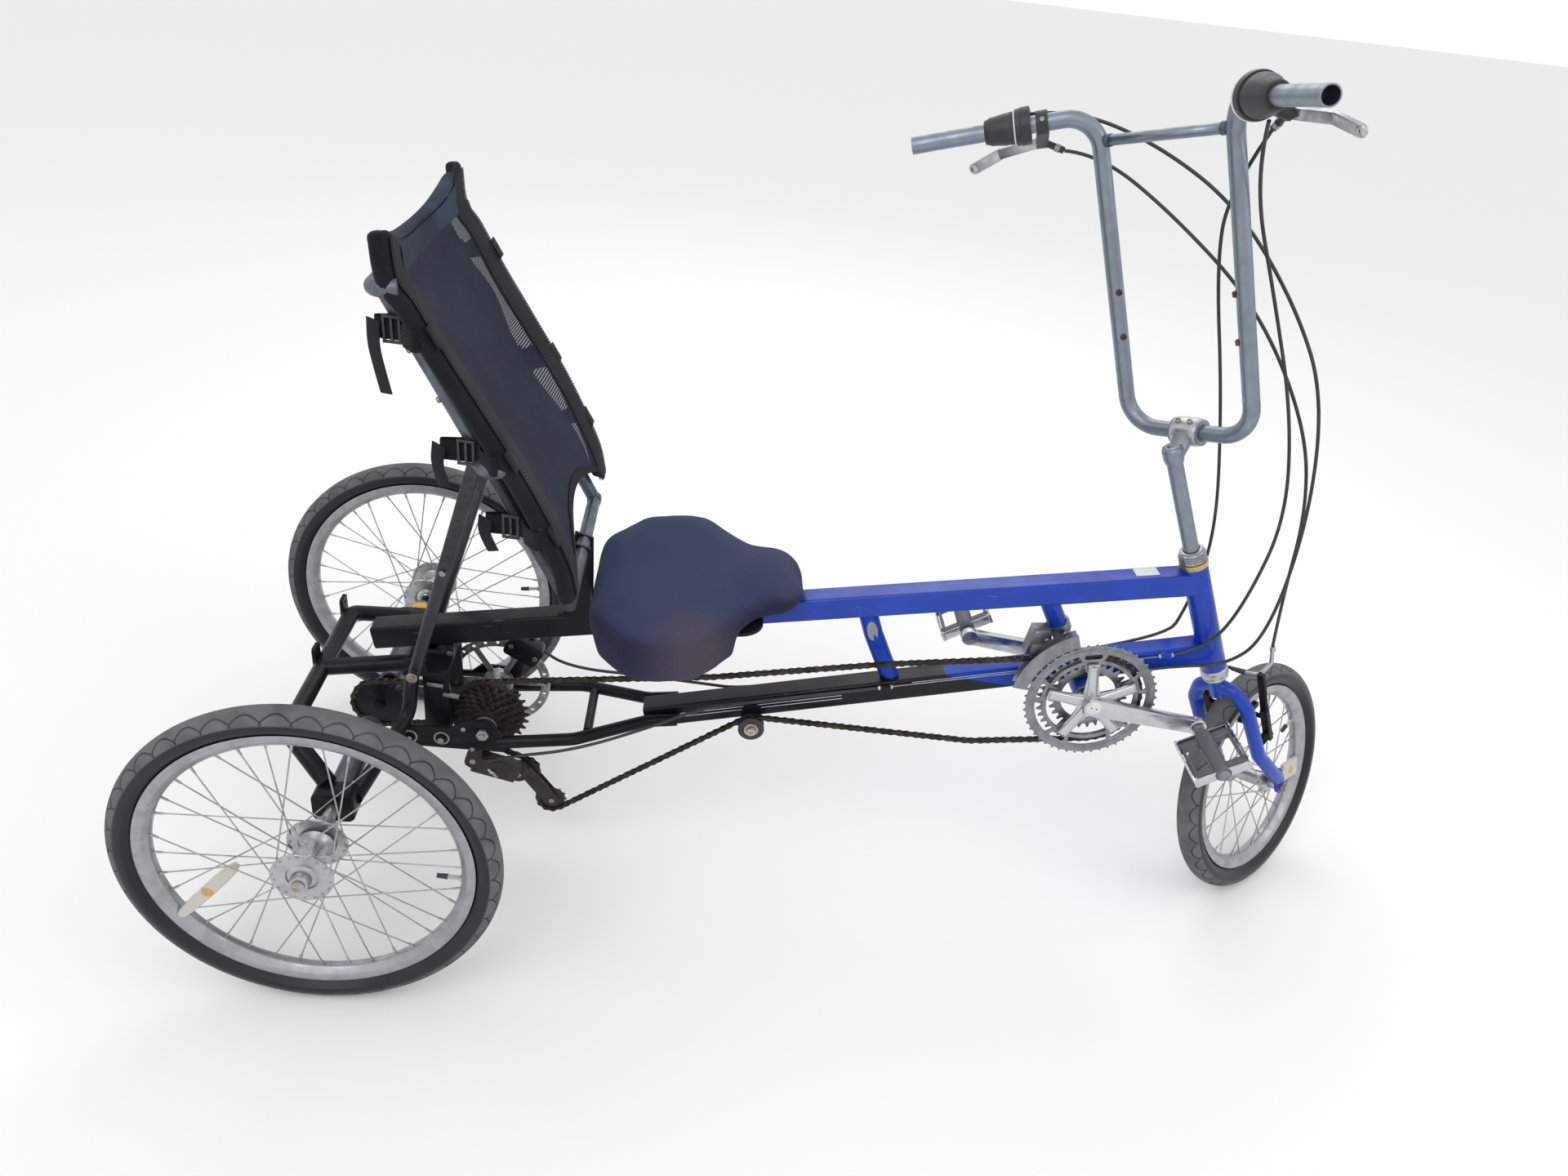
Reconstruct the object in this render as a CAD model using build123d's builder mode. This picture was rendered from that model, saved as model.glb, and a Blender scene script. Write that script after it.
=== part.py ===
from build123d import *
import os
from math import asin, atan2, cos, degrees, pi, radians, sin, sqrt

os.makedirs("parts", exist_ok=True)

# A recumbent delta trike in millimetres: +X forward, +Y to its left, +Z up, floor at Z = 0
# The origin is on the floor under the middle of the whole trike
REAR_X = -661.3

# Wheels: two 20 inch wheels behind, one 16 inch wheel in front
TRACK = 667.0
REAR_TYRE_R = 243.0
REAR_RIM_R = 209.5
FRONT_TYRE_R = 193.0
FRONT_RIM_R = 158.5
TYRE_HALF = 19.5
AXLE_END_Y = 380.0

# Steering: angle of the head, where it stands turned, and the fork's offset
HEAD_ANGLE = 64.45
STEER = 39.4
RAKE = 39.0
HEAD_X = 1265.9
HEAD_Z = 409.1
HEAD_LENGTH = 192.0

# Square main tubes: height of each tube's middle over the rear axle line, and its slope
TUBE = 36.0
TUBE_CORNER = 4.5
TOP_TUBE_Z = 370.0
TOP_TUBE_SLOPE = 0.1613
BOTTOM_TUBE_Z = 167.7
BOTTOM_TUBE_SLOPE = 0.2225

# Drive: bottom bracket, crank, mid axle under the seat back
BB_X = 1065.0
BB_Z = 371.0
CRANK_LENGTH = 170.0
CRANK_ANGLE = -8.0
MID_X = 168.0
MID_Z = 256.0
PITCH = 12.7

# Seat
PAD_REAR_X = 326.0
PAD_NOSE_X = 622.0
PAD_THICK = 48.0
PAD_BASE_Z = 463.0
PAD_SLOPE = 0.1
SLING_HALF = 200.0
RAIL_Y = 188.0
UPRIGHT_Y = 149.0
SEAT_TUBE_R = 9.5


def at(x, y, z):
    """Gives a place measured forward from the rear axle."""
    return Vector(REAR_X + x, y, z)


HEAD_UP = Vector(-cos(radians(HEAD_ANGLE)), 0, sin(radians(HEAD_ANGLE)))
HEAD_AHEAD = Vector(sin(radians(HEAD_ANGLE)), 0, cos(radians(HEAD_ANGLE)))
TURNED_AHEAD = HEAD_AHEAD * cos(radians(STEER)) + Vector(0, 1, 0) * sin(radians(STEER))
HEAD = Plane(origin=at(HEAD_X, 0, HEAD_Z), x_dir=HEAD_AHEAD, z_dir=HEAD_UP)
FORK = Plane(origin=at(HEAD_X, 0, HEAD_Z), x_dir=TURNED_AHEAD, z_dir=HEAD_UP)

# The turned front wheel leans, and its tyre just meets the floor
LEAN = cos(radians(HEAD_ANGLE)) * sin(radians(STEER))
FRONT_HUB_Z = (FRONT_TYRE_R - TYRE_HALF) * sqrt(1 - LEAN**2) + TYRE_HALF
FORK_RISE = RAKE * cos(radians(HEAD_ANGLE)) * cos(radians(STEER))
FORK_LENGTH = (HEAD_Z + FORK_RISE - FRONT_HUB_Z) / sin(radians(HEAD_ANGLE))


def turned(ahead, left, up):
    """Gives a place in the steering's own frame, turned with it."""
    return FORK.from_local_coords(Vector(ahead, left, up))


def top_tube_z(x):
    """Height of the top tube's middle line."""
    return TOP_TUBE_Z + TOP_TUBE_SLOPE * x


def bottom_tube_z(x):
    """Height of the bottom tube's middle line."""
    return BOTTOM_TUBE_Z + BOTTOM_TUBE_SLOPE * x


def tube_side(x, y, rise):
    """Gives a place beside the bottom tube, by its height over the tube's middle line."""
    return at(x, y, bottom_tube_z(x) + rise)


def tube(points, radius, bend=0.0):
    """Adds a round bar along straight runs and arcs to the part in hand."""
    with BuildLine() as route:
        if bend:
            FilletPolyline(*points, radius=bend)
        else:
            Polyline(*points)
    with BuildSketch(Plane(origin=route.line @ 0, z_dir=route.line % 0)) as section:
        Circle(radius)
    sweep(sections=section.sketch, path=route.line)


def bar(start, end, width, height, side=(0, 1, 0), corner=0.0):
    """Adds a straight bar with a rectangular section, its width along side."""
    run = end - start
    with BuildSketch(Plane(origin=start, x_dir=side, z_dir=run)) as section:
        if corner:
            RectangleRounded(width, height, corner)
        else:
            Rectangle(width, height)
    extrude(section.sketch, amount=run.length)


def lathe(plane, outline, mode=Mode.ADD):
    """Turns an outline of (radius, along) points about the plane's Y."""
    with BuildSketch(plane) as section:
        with BuildLine():
            Polyline(*outline, close=True)
        make_face()
    revolve(section.sketch, axis=Axis(plane.origin, plane.y_dir), mode=mode)


def disc(plane, radius, along, thickness, bore=0.0):
    """Adds a flat ring about the plane's Y, from along to along + thickness."""
    lathe(plane, [(bore, along), (radius, along), (radius, along + thickness), (bore, along + thickness)])


def export(piece, name):
    """Labels a finished piece and writes it."""
    piece.part.label = name
    export_step(piece.part, f"parts/{name}.step")


def wheel_plane(centre, outward, forward=(1, 0, 0)):
    """A plane whose X is a spoke's way and whose Y is the axle's, outward."""
    return Plane(origin=centre, x_dir=forward, z_dir=Vector(*forward).cross(Vector(*outward)))


RIGHT_WHEEL = wheel_plane(at(0, -TRACK / 2, REAR_TYRE_R), (0, -1, 0))
LEFT_WHEEL = wheel_plane(at(0, TRACK / 2, REAR_TYRE_R), (0, 1, 0))
FRONT_HUB = turned(RAKE, 0, -FORK_LENGTH)
FRONT_WHEEL = wheel_plane(FRONT_HUB, tuple(FORK.y_dir), tuple(FORK.x_dir))


def tyre(plane, radius, rim):
    """A tyre whose beads sit inside the rim's hooks."""
    crown = radius - TYRE_HALF
    with BuildSketch(plane) as section:
        with BuildLine():
            ThreePointArc((crown - 6, -TYRE_HALF + 1), (radius, 0), (crown - 6, TYRE_HALF - 1))
            Polyline((crown - 6, TYRE_HALF - 1), (rim + 5, 14.5), (rim + 0.4, 9), (rim - 5.6, 9),
                     (rim - 5.6, -9), (rim + 0.4, -9), (rim + 5, -14.5), (crown - 6, -TYRE_HALF + 1))
        make_face()
    revolve(section.sketch, axis=Axis(plane.origin, plane.y_dir))


def wire_wheel(plane, rim, spokes, crossing, flange_r, flanges, hub):
    """A box-section rim, crossed spokes and a flanged hub, fused as they are laced."""
    lathe(plane, [(rim, -12), (rim, -9.2), (rim - 6, -9.2), (rim - 6, 9.2), (rim, 9.2), (rim, 12),
                  (rim - 12, 12), (rim - 19, 5), (rim - 19, -5), (rim - 12, -12)])
    lathe(plane, hub)
    for along in flanges:
        disc(plane, flange_r + 4, along - 1.6, 3.2, bore=FRONT_AXLE_R + 1)
    starts = []
    for index in range(spokes):
        along = flanges[index % 2]
        lead = 1 if index % 4 < 2 else -1
        rim_angle = 2 * pi * index / spokes
        hub_angle = rim_angle + lead * crossing
        root = Vector(flange_r * cos(hub_angle), along, flange_r * sin(hub_angle))
        tip = Vector((rim - 17) * cos(rim_angle), along * 0.04, (rim - 17) * sin(rim_angle))
        starts.append((root, tip))
    by_length = {}
    for root, tip in starts:
        first = plane.from_local_coords(root)
        run = plane.from_local_coords(tip) - first
        by_length.setdefault(round(run.length, 3), []).append(Plane(origin=first, z_dir=run))
    for length, planes in by_length.items():
        with BuildSketch(*planes) as sections:
            Rectangle(2.4, 2.4)
        extrude(sections.sketch, amount=length)


FRONT_AXLE_R = 5.0
REAR_HUB = [(0, -40), (13, -40), (13, -30), (24, -26), (17, -20), (17, 20), (24, 26), (13, 30), (13, 36),
            (0, 36)]
REAR_FLANGES = (-33.0, 29.0)
FRONT_HUB_OUTLINE = [(FRONT_AXLE_R + 0.05, -47), (8, -47), (8, -34), (20, -32), (20, -28), (12, -24),
                     (12, 24), (20, 28), (20, 32), (8, 34), (8, 47), (FRONT_AXLE_R + 0.05, 47)]

# Wheels and tyres
with BuildPart() as tyre_rear_right:
    tyre(RIGHT_WHEEL, REAR_TYRE_R, REAR_RIM_R)
with BuildPart() as tyre_rear_left:
    tyre(LEFT_WHEEL, REAR_TYRE_R, REAR_RIM_R)
with BuildPart() as tyre_front:
    tyre(FRONT_WHEEL, FRONT_TYRE_R, FRONT_RIM_R)
with BuildPart() as wheel_rear_right:
    wire_wheel(RIGHT_WHEEL, REAR_RIM_R, 36, radians(60), 35, REAR_FLANGES, REAR_HUB)
with BuildPart() as wheel_rear_left:
    wire_wheel(LEFT_WHEEL, REAR_RIM_R, 36, radians(60), 35, REAR_FLANGES, REAR_HUB)
with BuildPart() as wheel_front:
    wire_wheel(FRONT_WHEEL, FRONT_RIM_R, 28, radians(45), 18, (-30.0, 30.0), FRONT_HUB_OUTLINE)
with BuildPart() as reflector_front:
    with BuildSketch(Plane(origin=FRONT_WHEEL.from_local_coords((94, -15, -63)), x_dir=(0, 0, 1),
                           z_dir=FRONT_WHEEL.y_dir)):
        RectangleRounded(34, 48, 6)
    extrude(amount=9)
    add(wheel_front.part, mode=Mode.SUBTRACT)
with BuildPart() as reflector_right:
    with BuildSketch(Plane(origin=RIGHT_WHEEL.from_local_coords((-128, 4, 52)), x_dir=(-0.66, 0, -0.75),
                           z_dir=RIGHT_WHEEL.y_dir)):
        RectangleRounded(128, 17, 6)
    extrude(amount=9)
    add(wheel_rear_right.part, mode=Mode.SUBTRACT)
export(reflector_front, "reflector_front")
export(reflector_right, "reflector_right")
export(tyre_rear_right, "tyre_rear_right")
export(tyre_rear_left, "tyre_rear_left")
export(tyre_front, "tyre_front")
export(wheel_rear_right, "wheel_rear_right")
export(wheel_rear_left, "wheel_rear_left")
export(wheel_front, "wheel_front")


# Columns of a sprocket's tooth: share of the pitch round the ring, height over the pitch circle
TOOTH = [(-0.30, -3.9), (-0.08, 3.4), (0.08, 3.4), (0.30, -3.9)]


def sprocket_radius(teeth):
    """Pitch radius of a sprocket."""
    return PITCH / (2 * sin(pi / teeth))


def toothed(teeth):
    """Corner points of a sprocket with pointed teeth."""
    points = []
    for tooth in range(teeth):
        for share, height in TOOTH:
            radius = sprocket_radius(teeth) + height
            angle = 2 * pi * (tooth + share) / teeth
            points.append((radius * cos(angle), radius * sin(angle)))
    return points


def sprocket(centre, teeth, thickness, bore, turn=0.0):
    """Adds a sprocket in the part in hand, square to Y, its middle at centre."""
    face = Plane(origin=centre, x_dir=(cos(turn), 0, sin(turn)), z_dir=(0, -1, 0))
    with BuildSketch(face) as section:
        with BuildLine():
            Polyline(*toothed(teeth), close=True)
        make_face()
        Circle(bore, mode=Mode.SUBTRACT)
    extrude(section.sketch, amount=thickness / 2, both=True)


# Axles, fixed in the hubs and turning in the bearing blocks
AXLE_R = 8.5
BLOCK_Y = 222.0
BLOCK_HALF = 15.0
AXLE_SPROCKET = 20
with BuildPart() as axle_right:
    lathe(RIGHT_WHEEL, [(0, 40.5), (AXLE_R, 40.5), (AXLE_R, 46.5), (0, 46.5)])
    lathe(RIGHT_WHEEL, [(0, -273), (AXLE_R, -273), (AXLE_R, -40), (0, -40)])
with BuildPart() as axle_left:
    lathe(LEFT_WHEEL, [(0, 40.5), (AXLE_R, 40.5), (AXLE_R, 46.5), (0, 46.5)])
    lathe(LEFT_WHEEL, [(0, -TRACK / 2 - 12), (AXLE_R, -TRACK / 2 - 12), (AXLE_R, -40), (0, -40)])
    sprocket(at(0, 0, REAR_TYRE_R), AXLE_SPROCKET, 2.2, AXLE_R - 1)
export(axle_right, "axle_right")
export(axle_left, "axle_left")

# Mid drive: cassette, hub and brake rotor on a fixed axle between the dropout plates
MID = Plane(origin=at(MID_X, 0, MID_Z), x_dir=(1, 0, 0), z_dir=(0, 0, 1))
MID_AXLE_R = 5.0
DROPOUT_Y = 72.0
DROPOUT_HALF = 2.5
MID_SPROCKET = 16
COGS = [(28, -24.0), (24, -29.0), (21, -34.0), (18, -39.0), (15, -44.0), (13, -49.0), (11, -54.0)]
ROTOR_Y = 57.0
ROTOR_R = 80.0
with BuildPart() as cassette:
    for teeth, along in COGS:
        sprocket(at(MID_X, along, MID_Z), teeth, 2.0, 17.2)
    disc(MID, 20, -55.0, 32.0, bore=17.2)
with BuildPart() as drive_hub:
    lathe(MID, [(5.4, -60), (17, -60), (17, -20), (26, -18), (26, -14), (19, -10), (19, 44), (24, 48),
                (24, 55.9), (5.4, 55.9)])
    sprocket(at(MID_X, 0, MID_Z), MID_SPROCKET, 2.2, 18)
with BuildPart() as brake_rotor:
    disc(MID, ROTOR_R, ROTOR_Y - 1, 2.0, bore=66)
    disc(MID, 24, ROTOR_Y - 1, 2.0, bore=5.4)
    rotor_face = Plane(origin=at(MID_X, ROTOR_Y, MID_Z), x_dir=(1, 0, 0), z_dir=(0, -1, 0))
    with BuildSketch(rotor_face):
        with PolarLocations(45, 6):
            Rectangle(46, 9)
    extrude(amount=1, both=True)
    with BuildSketch(rotor_face):
        with PolarLocations(73, 24):
            Circle(2.6)
    extrude(amount=2, both=True, mode=Mode.SUBTRACT)
export(cassette, "cassette")
export(drive_hub, "drive_hub")
export(brake_rotor, "brake_rotor")

# Crank: three rings bolted to a five-arm spider, on the right
ARM_WAY = (cos(radians(CRANK_ANGLE)), 0, sin(radians(CRANK_ANGLE)))
CRANK = Plane(origin=at(BB_X, 0, BB_Z), x_dir=ARM_WAY, z_dir=(0, -1, 0))
RING_BOLT_R = 62.0
RING_THICK = 2.2
SPIDER_Y = 54.0
SPIDER_R = RING_BOLT_R + 7
# Columns: teeth, distance right of the middle, inner edge of the ring
RINGS = [(48, 51.0, 84.0), (38, 45.0, 67.0), (28, 38.5, 42.0)]
with BuildPart() as chainrings:
    for teeth, along, inner in RINGS:
        sprocket(at(BB_X, -along, BB_Z), teeth, RING_THICK, inner)
    for arm in range(5):
        turn = 36 + 72 * arm
        outer_ring = CRANK.offset(RINGS[0][1] - RING_THICK / 2)
        with BuildSketch(outer_ring):
            with PolarLocations(0, 1, start_angle=turn):
                Polygon((52, -9), (66, -13), (86, -25), (86, 25), (66, 13), (52, 9), align=None)
                with Locations((79, 0)):
                    RectangleRounded(8, 26, 3.5, mode=Mode.SUBTRACT)
        extrude(amount=RING_THICK)
        middle_ring = CRANK.offset(RINGS[1][1] - RING_THICK / 2)
        with BuildSketch(middle_ring):
            with PolarLocations(0, 1, start_angle=turn):
                with Locations((58.5, 0)):
                    Rectangle(19, 18)
        extrude(amount=RING_THICK)
        with BuildSketch(CRANK.offset(RINGS[1][1] - 1)):
            with PolarLocations(0, 1, start_angle=turn):
                with Locations((RING_BOLT_R, 0)):
                    Circle(6)
        extrude(amount=SPIDER_Y - RINGS[1][1] + 1)
        with BuildSketch(CRANK.offset(RINGS[2][1])):
            with PolarLocations(0, 1, start_angle=turn):
                with Locations((50, 0)):
                    Rectangle(8, 8)
        extrude(amount=RINGS[1][1] - RINGS[2][1])
with BuildPart() as crank_set:
    lathe(Plane(origin=at(BB_X, 0, BB_Z), x_dir=(1, 0, 0), z_dir=(0, 0, 1)),
          [(0, -72), (14, -72), (14, -54), (20, -54), (20, -47), (8.5, -47), (8.5, 54), (14, 54), (14, 72),
           (0, 72)])
    for arm in range(5):
        with BuildSketch(CRANK.offset(SPIDER_Y)):
            with PolarLocations(0, 1, start_angle=36 + 72 * arm):
                Polygon((8, -13), (40, -8.5), (SPIDER_R, -8), (SPIDER_R, 8), (40, 8.5), (8, 13), align=None)
        extrude(amount=4)
    for side in (1, -1):
        reach = CRANK_LENGTH * side
        with BuildSketch(CRANK.offset(60 * side)):
            with BuildLine():
                Polyline((-10 * side, -15), (reach, -11))
                ThreePointArc((reach, -11), (reach + 12 * side, 0), (reach, 11))
                Polyline((reach, 11), (-10 * side, 15), (-10 * side, -15))
            make_face()
        extrude(amount=12 * side)
export(chainrings, "chainrings")
export(crank_set, "crank_set")

PEDAL_TILT = radians(31)
for name, side in (("pedal_right", 1), ("pedal_left", -1)):
    pivot = CRANK.from_local_coords(Vector(CRANK_LENGTH * side, 0, 0))
    face = Plane(origin=pivot, x_dir=(cos(PEDAL_TILT), 0, sin(PEDAL_TILT)), z_dir=(0, -1, 0))
    with BuildPart() as pedal:
        with BuildSketch(face.offset(73 * side)):
            Circle(6)
        extrude(amount=112 * side)
        with BuildSketch(face.offset(86 * side)):
            Circle(13)
        extrude(amount=92 * side)
        with BuildSketch(face.offset(88 * side), face.offset(176 * side)):
            RectangleRounded(84, 22, 6)
            Rectangle(70, 12, mode=Mode.SUBTRACT)
        extrude(amount=8 * side)
        for end in (-38, 38):
            with BuildSketch(face.offset(92 * side)):
                with Locations((end, 0)):
                    Rectangle(7, 18)
            extrude(amount=88 * side)
    export(pedal, name)

# Chains: closed loops of side plates, laid by straight runs and wraps
# Columns: inner face from the chain's middle, thickness, height
CHAIN_BAND = (1.95, 0.65, 6.0)
WRAP_BAND = (1.8, 0.7, 5.4)
LINK_FACE = 2.4
LINK_THICK = 1.0
LINK_PLATE = [(-10.2, 0), (-8, 4), (8, 4), (10.2, 0), (8, -4), (-8, -4)]
ROLLER_HALF = 2.2
BEND_GAP = 0.5
WRAP_OVERLAP = 2.0
TOOTH_REACH = 3 * PITCH


def tangent(first, second):
    """Way and ends of the straight run between two signed circles (x, y, z, radius)."""
    dx = second[0] - first[0]
    dz = second[2] - first[2]
    way = atan2(dz, dx) + asin((first[3] - second[3]) / sqrt(dx * dx + dz * dz))
    across = (sin(way), -cos(way))
    ends = [at(x + radius * across[0], y, z + radius * across[1]) for x, y, z, radius in (first, second)]
    return way, ends[0], ends[1]


def side_pair(plane, low, thick):
    """The two planes from which a plate on each side of the chain is extruded."""
    return plane.offset(low), plane.offset(-low - thick)


def chain_run(start, end, bent_start, bent_end):
    """Adds a straight run of chain: bands for inner plates, outer plates, and rollers clear of any teeth."""
    run = end - start
    sides = Plane(origin=start, x_dir=run, z_dir=Vector(run.Y, -run.X, 0))
    step = run.length / (2 * max(1, round(run.length / (2 * PITCH))))
    low = BEND_GAP if bent_start else 0
    high = run.length - (BEND_GAP if bent_end else 0)
    face, thick, height = CHAIN_BAND
    with BuildSketch(*side_pair(sides, face, thick)) as band:
        with Locations(((low + high) / 2, 0)):
            Rectangle(high - low, height)
    extrude(band.sketch, amount=thick)
    last = run.length - (2 if bent_end else 1) * step + 1
    stations = [index * step for index in range(0 if bent_start else 1, 400, 2) if index * step < last]
    with BuildSketch(*side_pair(sides, LINK_FACE, LINK_THICK)) as plates:
        with Locations(*[(station, 0) for station in stations]):
            Polygon(*LINK_PLATE, align=None)
    extrude(plates.sketch, amount=LINK_THICK)
    clear = [(0.5 + index) * step for index in range(400)]
    clear = [(station, 0) for station in clear if TOOTH_REACH < station < run.length - TOOTH_REACH]
    if clear:
        with BuildSketch(sides.offset(-ROLLER_HALF)) as rollers:
            with Locations(*clear):
                Rectangle(4, 4, rotation=45)
        extrude(rollers.sketch, amount=2 * ROLLER_HALF)


def chain_wrap(circle, way_in, way_out):
    """Adds the chain round a signed circle, open inside so that the teeth stand in it."""
    x, y, z, radius = circle
    turn = (way_out - way_in) % (2 * pi) if radius > 0 else -((way_in - way_out) % (2 * pi))
    first = degrees(way_in) - (90 if radius > 0 else -90)
    radius = abs(radius)
    over = degrees(WRAP_OVERLAP / radius) * (1 if turn > 0 else -1)
    sides = Plane(origin=at(x, y, z), x_dir=(1, 0, 0), z_dir=(0, -1, 0))
    face, thick, height = WRAP_BAND
    with BuildSketch(*side_pair(sides, face, thick)) as band:
        with BuildLine():
            outer = CenterArc((0, 0), radius + height / 2, first - over, degrees(turn) + 2 * over)
            inner = CenterArc((0, 0), radius - height / 2, first - over, degrees(turn) + 2 * over)
            Line(outer @ 0, inner @ 0)
            Line(outer @ 1, inner @ 1)
        make_face()
    extrude(band.sketch, amount=thick)
    pairs = round(radius * abs(turn) / (2 * PITCH))
    if pairs > 1:
        angles = [first + degrees(turn) * (pair + 0.5) / pairs for pair in range(pairs)]
        with BuildSketch(*side_pair(sides, LINK_FACE, LINK_THICK)) as plates:
            for angle in angles:
                place = (radius * cos(radians(angle)), radius * sin(radians(angle)), 0)
                with Locations(Location(place, angle + 90)):
                    Polygon(*LINK_PLATE, align=None)
        extrude(plates.sketch, amount=LINK_THICK)


def chain(loop):
    """Adds a whole chain through a closed loop of signed circles."""
    ways = []
    for index, circle in enumerate(loop):
        follower = loop[(index + 1) % len(loop)]
        way, start, end = tangent(circle, follower)
        ways.append(way)
        chain_run(start, end, circle[3] == 0, follower[3] == 0)
    for index, circle in enumerate(loop):
        if circle[3]:
            chain_wrap(circle, ways[index - 1], ways[index])


# Columns: ahead of the rear axle, left, up, radius (minus where the chain passes over the far side)
COG_R = sprocket_radius(COGS[0][0])
MAIN_LOOP = [(MID_X, -24.0, MID_Z, COG_R), (222, -26, 152, -19), (262, -26, 95, 22), (563, -34, 268, -18.5),
             (900, -41.5, 273, 0), (BB_X, -45.0, BB_Z, sprocket_radius(38)), (745, -37.5, 401, 0),
             (500, -31.8, 354, 0)]
AXLE_LOOP = [(0, 0, REAR_TYRE_R, sprocket_radius(AXLE_SPROCKET)),
             (MID_X, 0, MID_Z, sprocket_radius(MID_SPROCKET))]
with BuildPart() as chain_main:
    chain(MAIN_LOOP)
with BuildPart() as chain_axle:
    chain(AXLE_LOOP)
export(chain_main, "chain_main")
export(chain_axle, "chain_axle")

# Main tubes
MAIN_BREAK = 470.0


def along_tube(height, slope, offset):
    """A plane on a sloping tube, offset square to its middle line."""
    run = Vector(1, 0, slope).normalized()
    rise = Vector(-slope, 0, 1).normalized()
    return Plane(origin=at(0, 0, height) + rise * offset, x_dir=run, z_dir=rise)


TOP_UNDER = along_tube(TOP_TUBE_Z, TOP_TUBE_SLOPE, -TUBE / 2)
TOP_OVER = along_tube(TOP_TUBE_Z, TOP_TUBE_SLOPE, TUBE / 2)
BOTTOM_OVER = along_tube(BOTTOM_TUBE_Z, BOTTOM_TUBE_SLOPE, TUBE / 2)
HEAD_TUBE_R = 19.0
SHELL_R = 19.5
TOP_REAR_X = 3.0
TOP_FRONT_X = 1194.0
BOTTOM_REAR_X = 402.0
BOTTOM_FRONT_X = 1249.0
BB_ROUND = Plane(origin=at(BB_X, 0, BB_Z), x_dir=(1, 0, 0), z_dir=(0, -1, 0))
with BuildPart() as top_tube_rear:
    bar(at(TOP_REAR_X, 0, top_tube_z(TOP_REAR_X)), at(MAIN_BREAK, 0, top_tube_z(MAIN_BREAK)), TUBE, TUBE,
        corner=TUBE_CORNER)
with BuildPart() as top_tube_front:
    bar(at(MAIN_BREAK, 0, top_tube_z(MAIN_BREAK)), at(TOP_FRONT_X, 0, top_tube_z(TOP_FRONT_X)), TUBE, TUBE,
        corner=TUBE_CORNER)
    with BuildSketch(HEAD.offset(-20)):
        Circle(HEAD_TUBE_R)
    extrude(amount=260, mode=Mode.SUBTRACT)
with BuildPart() as bottom_tube:
    bar(at(BOTTOM_REAR_X, 0, bottom_tube_z(BOTTOM_REAR_X)),
        at(BOTTOM_FRONT_X, 0, bottom_tube_z(BOTTOM_FRONT_X)), TUBE, TUBE, corner=TUBE_CORNER)
    with BuildSketch(HEAD.offset(-20)):
        Circle(HEAD_TUBE_R)
    extrude(amount=260, mode=Mode.SUBTRACT)
    with BuildSketch(BB_ROUND):
        Circle(SHELL_R)
    extrude(amount=34, both=True, mode=Mode.SUBTRACT)
    for stop_x in (1173, 760):
        with BuildSketch(Plane(origin=at(stop_x, -TUBE / 2, bottom_tube_z(stop_x) + 12), x_dir=(1, 0, 0),
                               z_dir=(0, -1, 0))):
            Rectangle(16, 8)
        extrude(amount=7)
with BuildPart() as head_tube:
    with BuildSketch(HEAD.offset(6)):
        Circle(HEAD_TUBE_R)
        Circle(15.5, mode=Mode.SUBTRACT)
    extrude(amount=HEAD_LENGTH)
with BuildPart() as headset_cups:
    with BuildSketch(HEAD.offset(-9)):
        Circle(21)
        Circle(15.5, mode=Mode.SUBTRACT)
    extrude(amount=15)
    with BuildSketch(HEAD.offset(6 + HEAD_LENGTH)):
        Circle(21)
        Circle(15.5, mode=Mode.SUBTRACT)
    extrude(amount=9)
with BuildPart() as bottom_bracket:
    with BuildSketch(BB_ROUND):
        Circle(SHELL_R)
        Circle(9.2, mode=Mode.SUBTRACT)
    extrude(amount=34, both=True)
STRUT_R = 14.3
with BuildPart() as frame_strut:
    tube([at(706, 0, 500), at(731, 0, 432), at(780, 0, 330)], STRUT_R, bend=120)
    split(bisect_by=TOP_UNDER, keep=Keep.BOTTOM)
    split(bisect_by=BOTTOM_OVER, keep=Keep.TOP)
SEAT_TUBE_TOP = at(965, 0, 540)
SEAT_TUBE_LOW = at(1052, 0, 388)
with BuildPart() as seat_tube:
    tube([SEAT_TUBE_TOP, SEAT_TUBE_LOW], STRUT_R)
    split(bisect_by=TOP_UNDER, keep=Keep.BOTTOM)
    split(bisect_by=BOTTOM_OVER, keep=Keep.TOP)
export(top_tube_rear, "top_tube_rear")
export(top_tube_front, "top_tube_front")
export(bottom_tube, "bottom_tube")
export(head_tube, "head_tube")
export(headset_cups, "headset_cups")
export(bottom_bracket, "bottom_bracket")
export(frame_strut, "frame_strut")
export(seat_tube, "seat_tube")

# Rear frame round the axle: blocks, sleeves, bow, plates, post, braces and stays
BOW_Z = 302.0
BOW_R = 12.5
POST_TOP_Z = 343.0
SHELF_HALF = 62.0
with BuildPart() as bearing_blocks:
    for side in (-1, 1):
        with BuildSketch(Plane(origin=at(0, (BLOCK_Y - BLOCK_HALF) * side, REAR_TYRE_R), x_dir=(1, 0, 0),
                               z_dir=(0, side, 0))):
            RectangleRounded(56, 46, 10)
            Circle(AXLE_R + 0.4, mode=Mode.SUBTRACT)
        extrude(amount=2 * BLOCK_HALF)
with BuildPart() as axle_sleeves:
    for side in (-1, 1):
        with BuildSketch(Plane(origin=at(0, 55 * side, REAR_TYRE_R), x_dir=(1, 0, 0), z_dir=(0, side, 0))):
            Circle(17)
            Circle(12, mode=Mode.SUBTRACT)
        extrude(amount=BLOCK_Y - BLOCK_HALF - 55)
LEG_OUTER_Y = 45.0
PLATE_BOLT_R = 5.0
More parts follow.
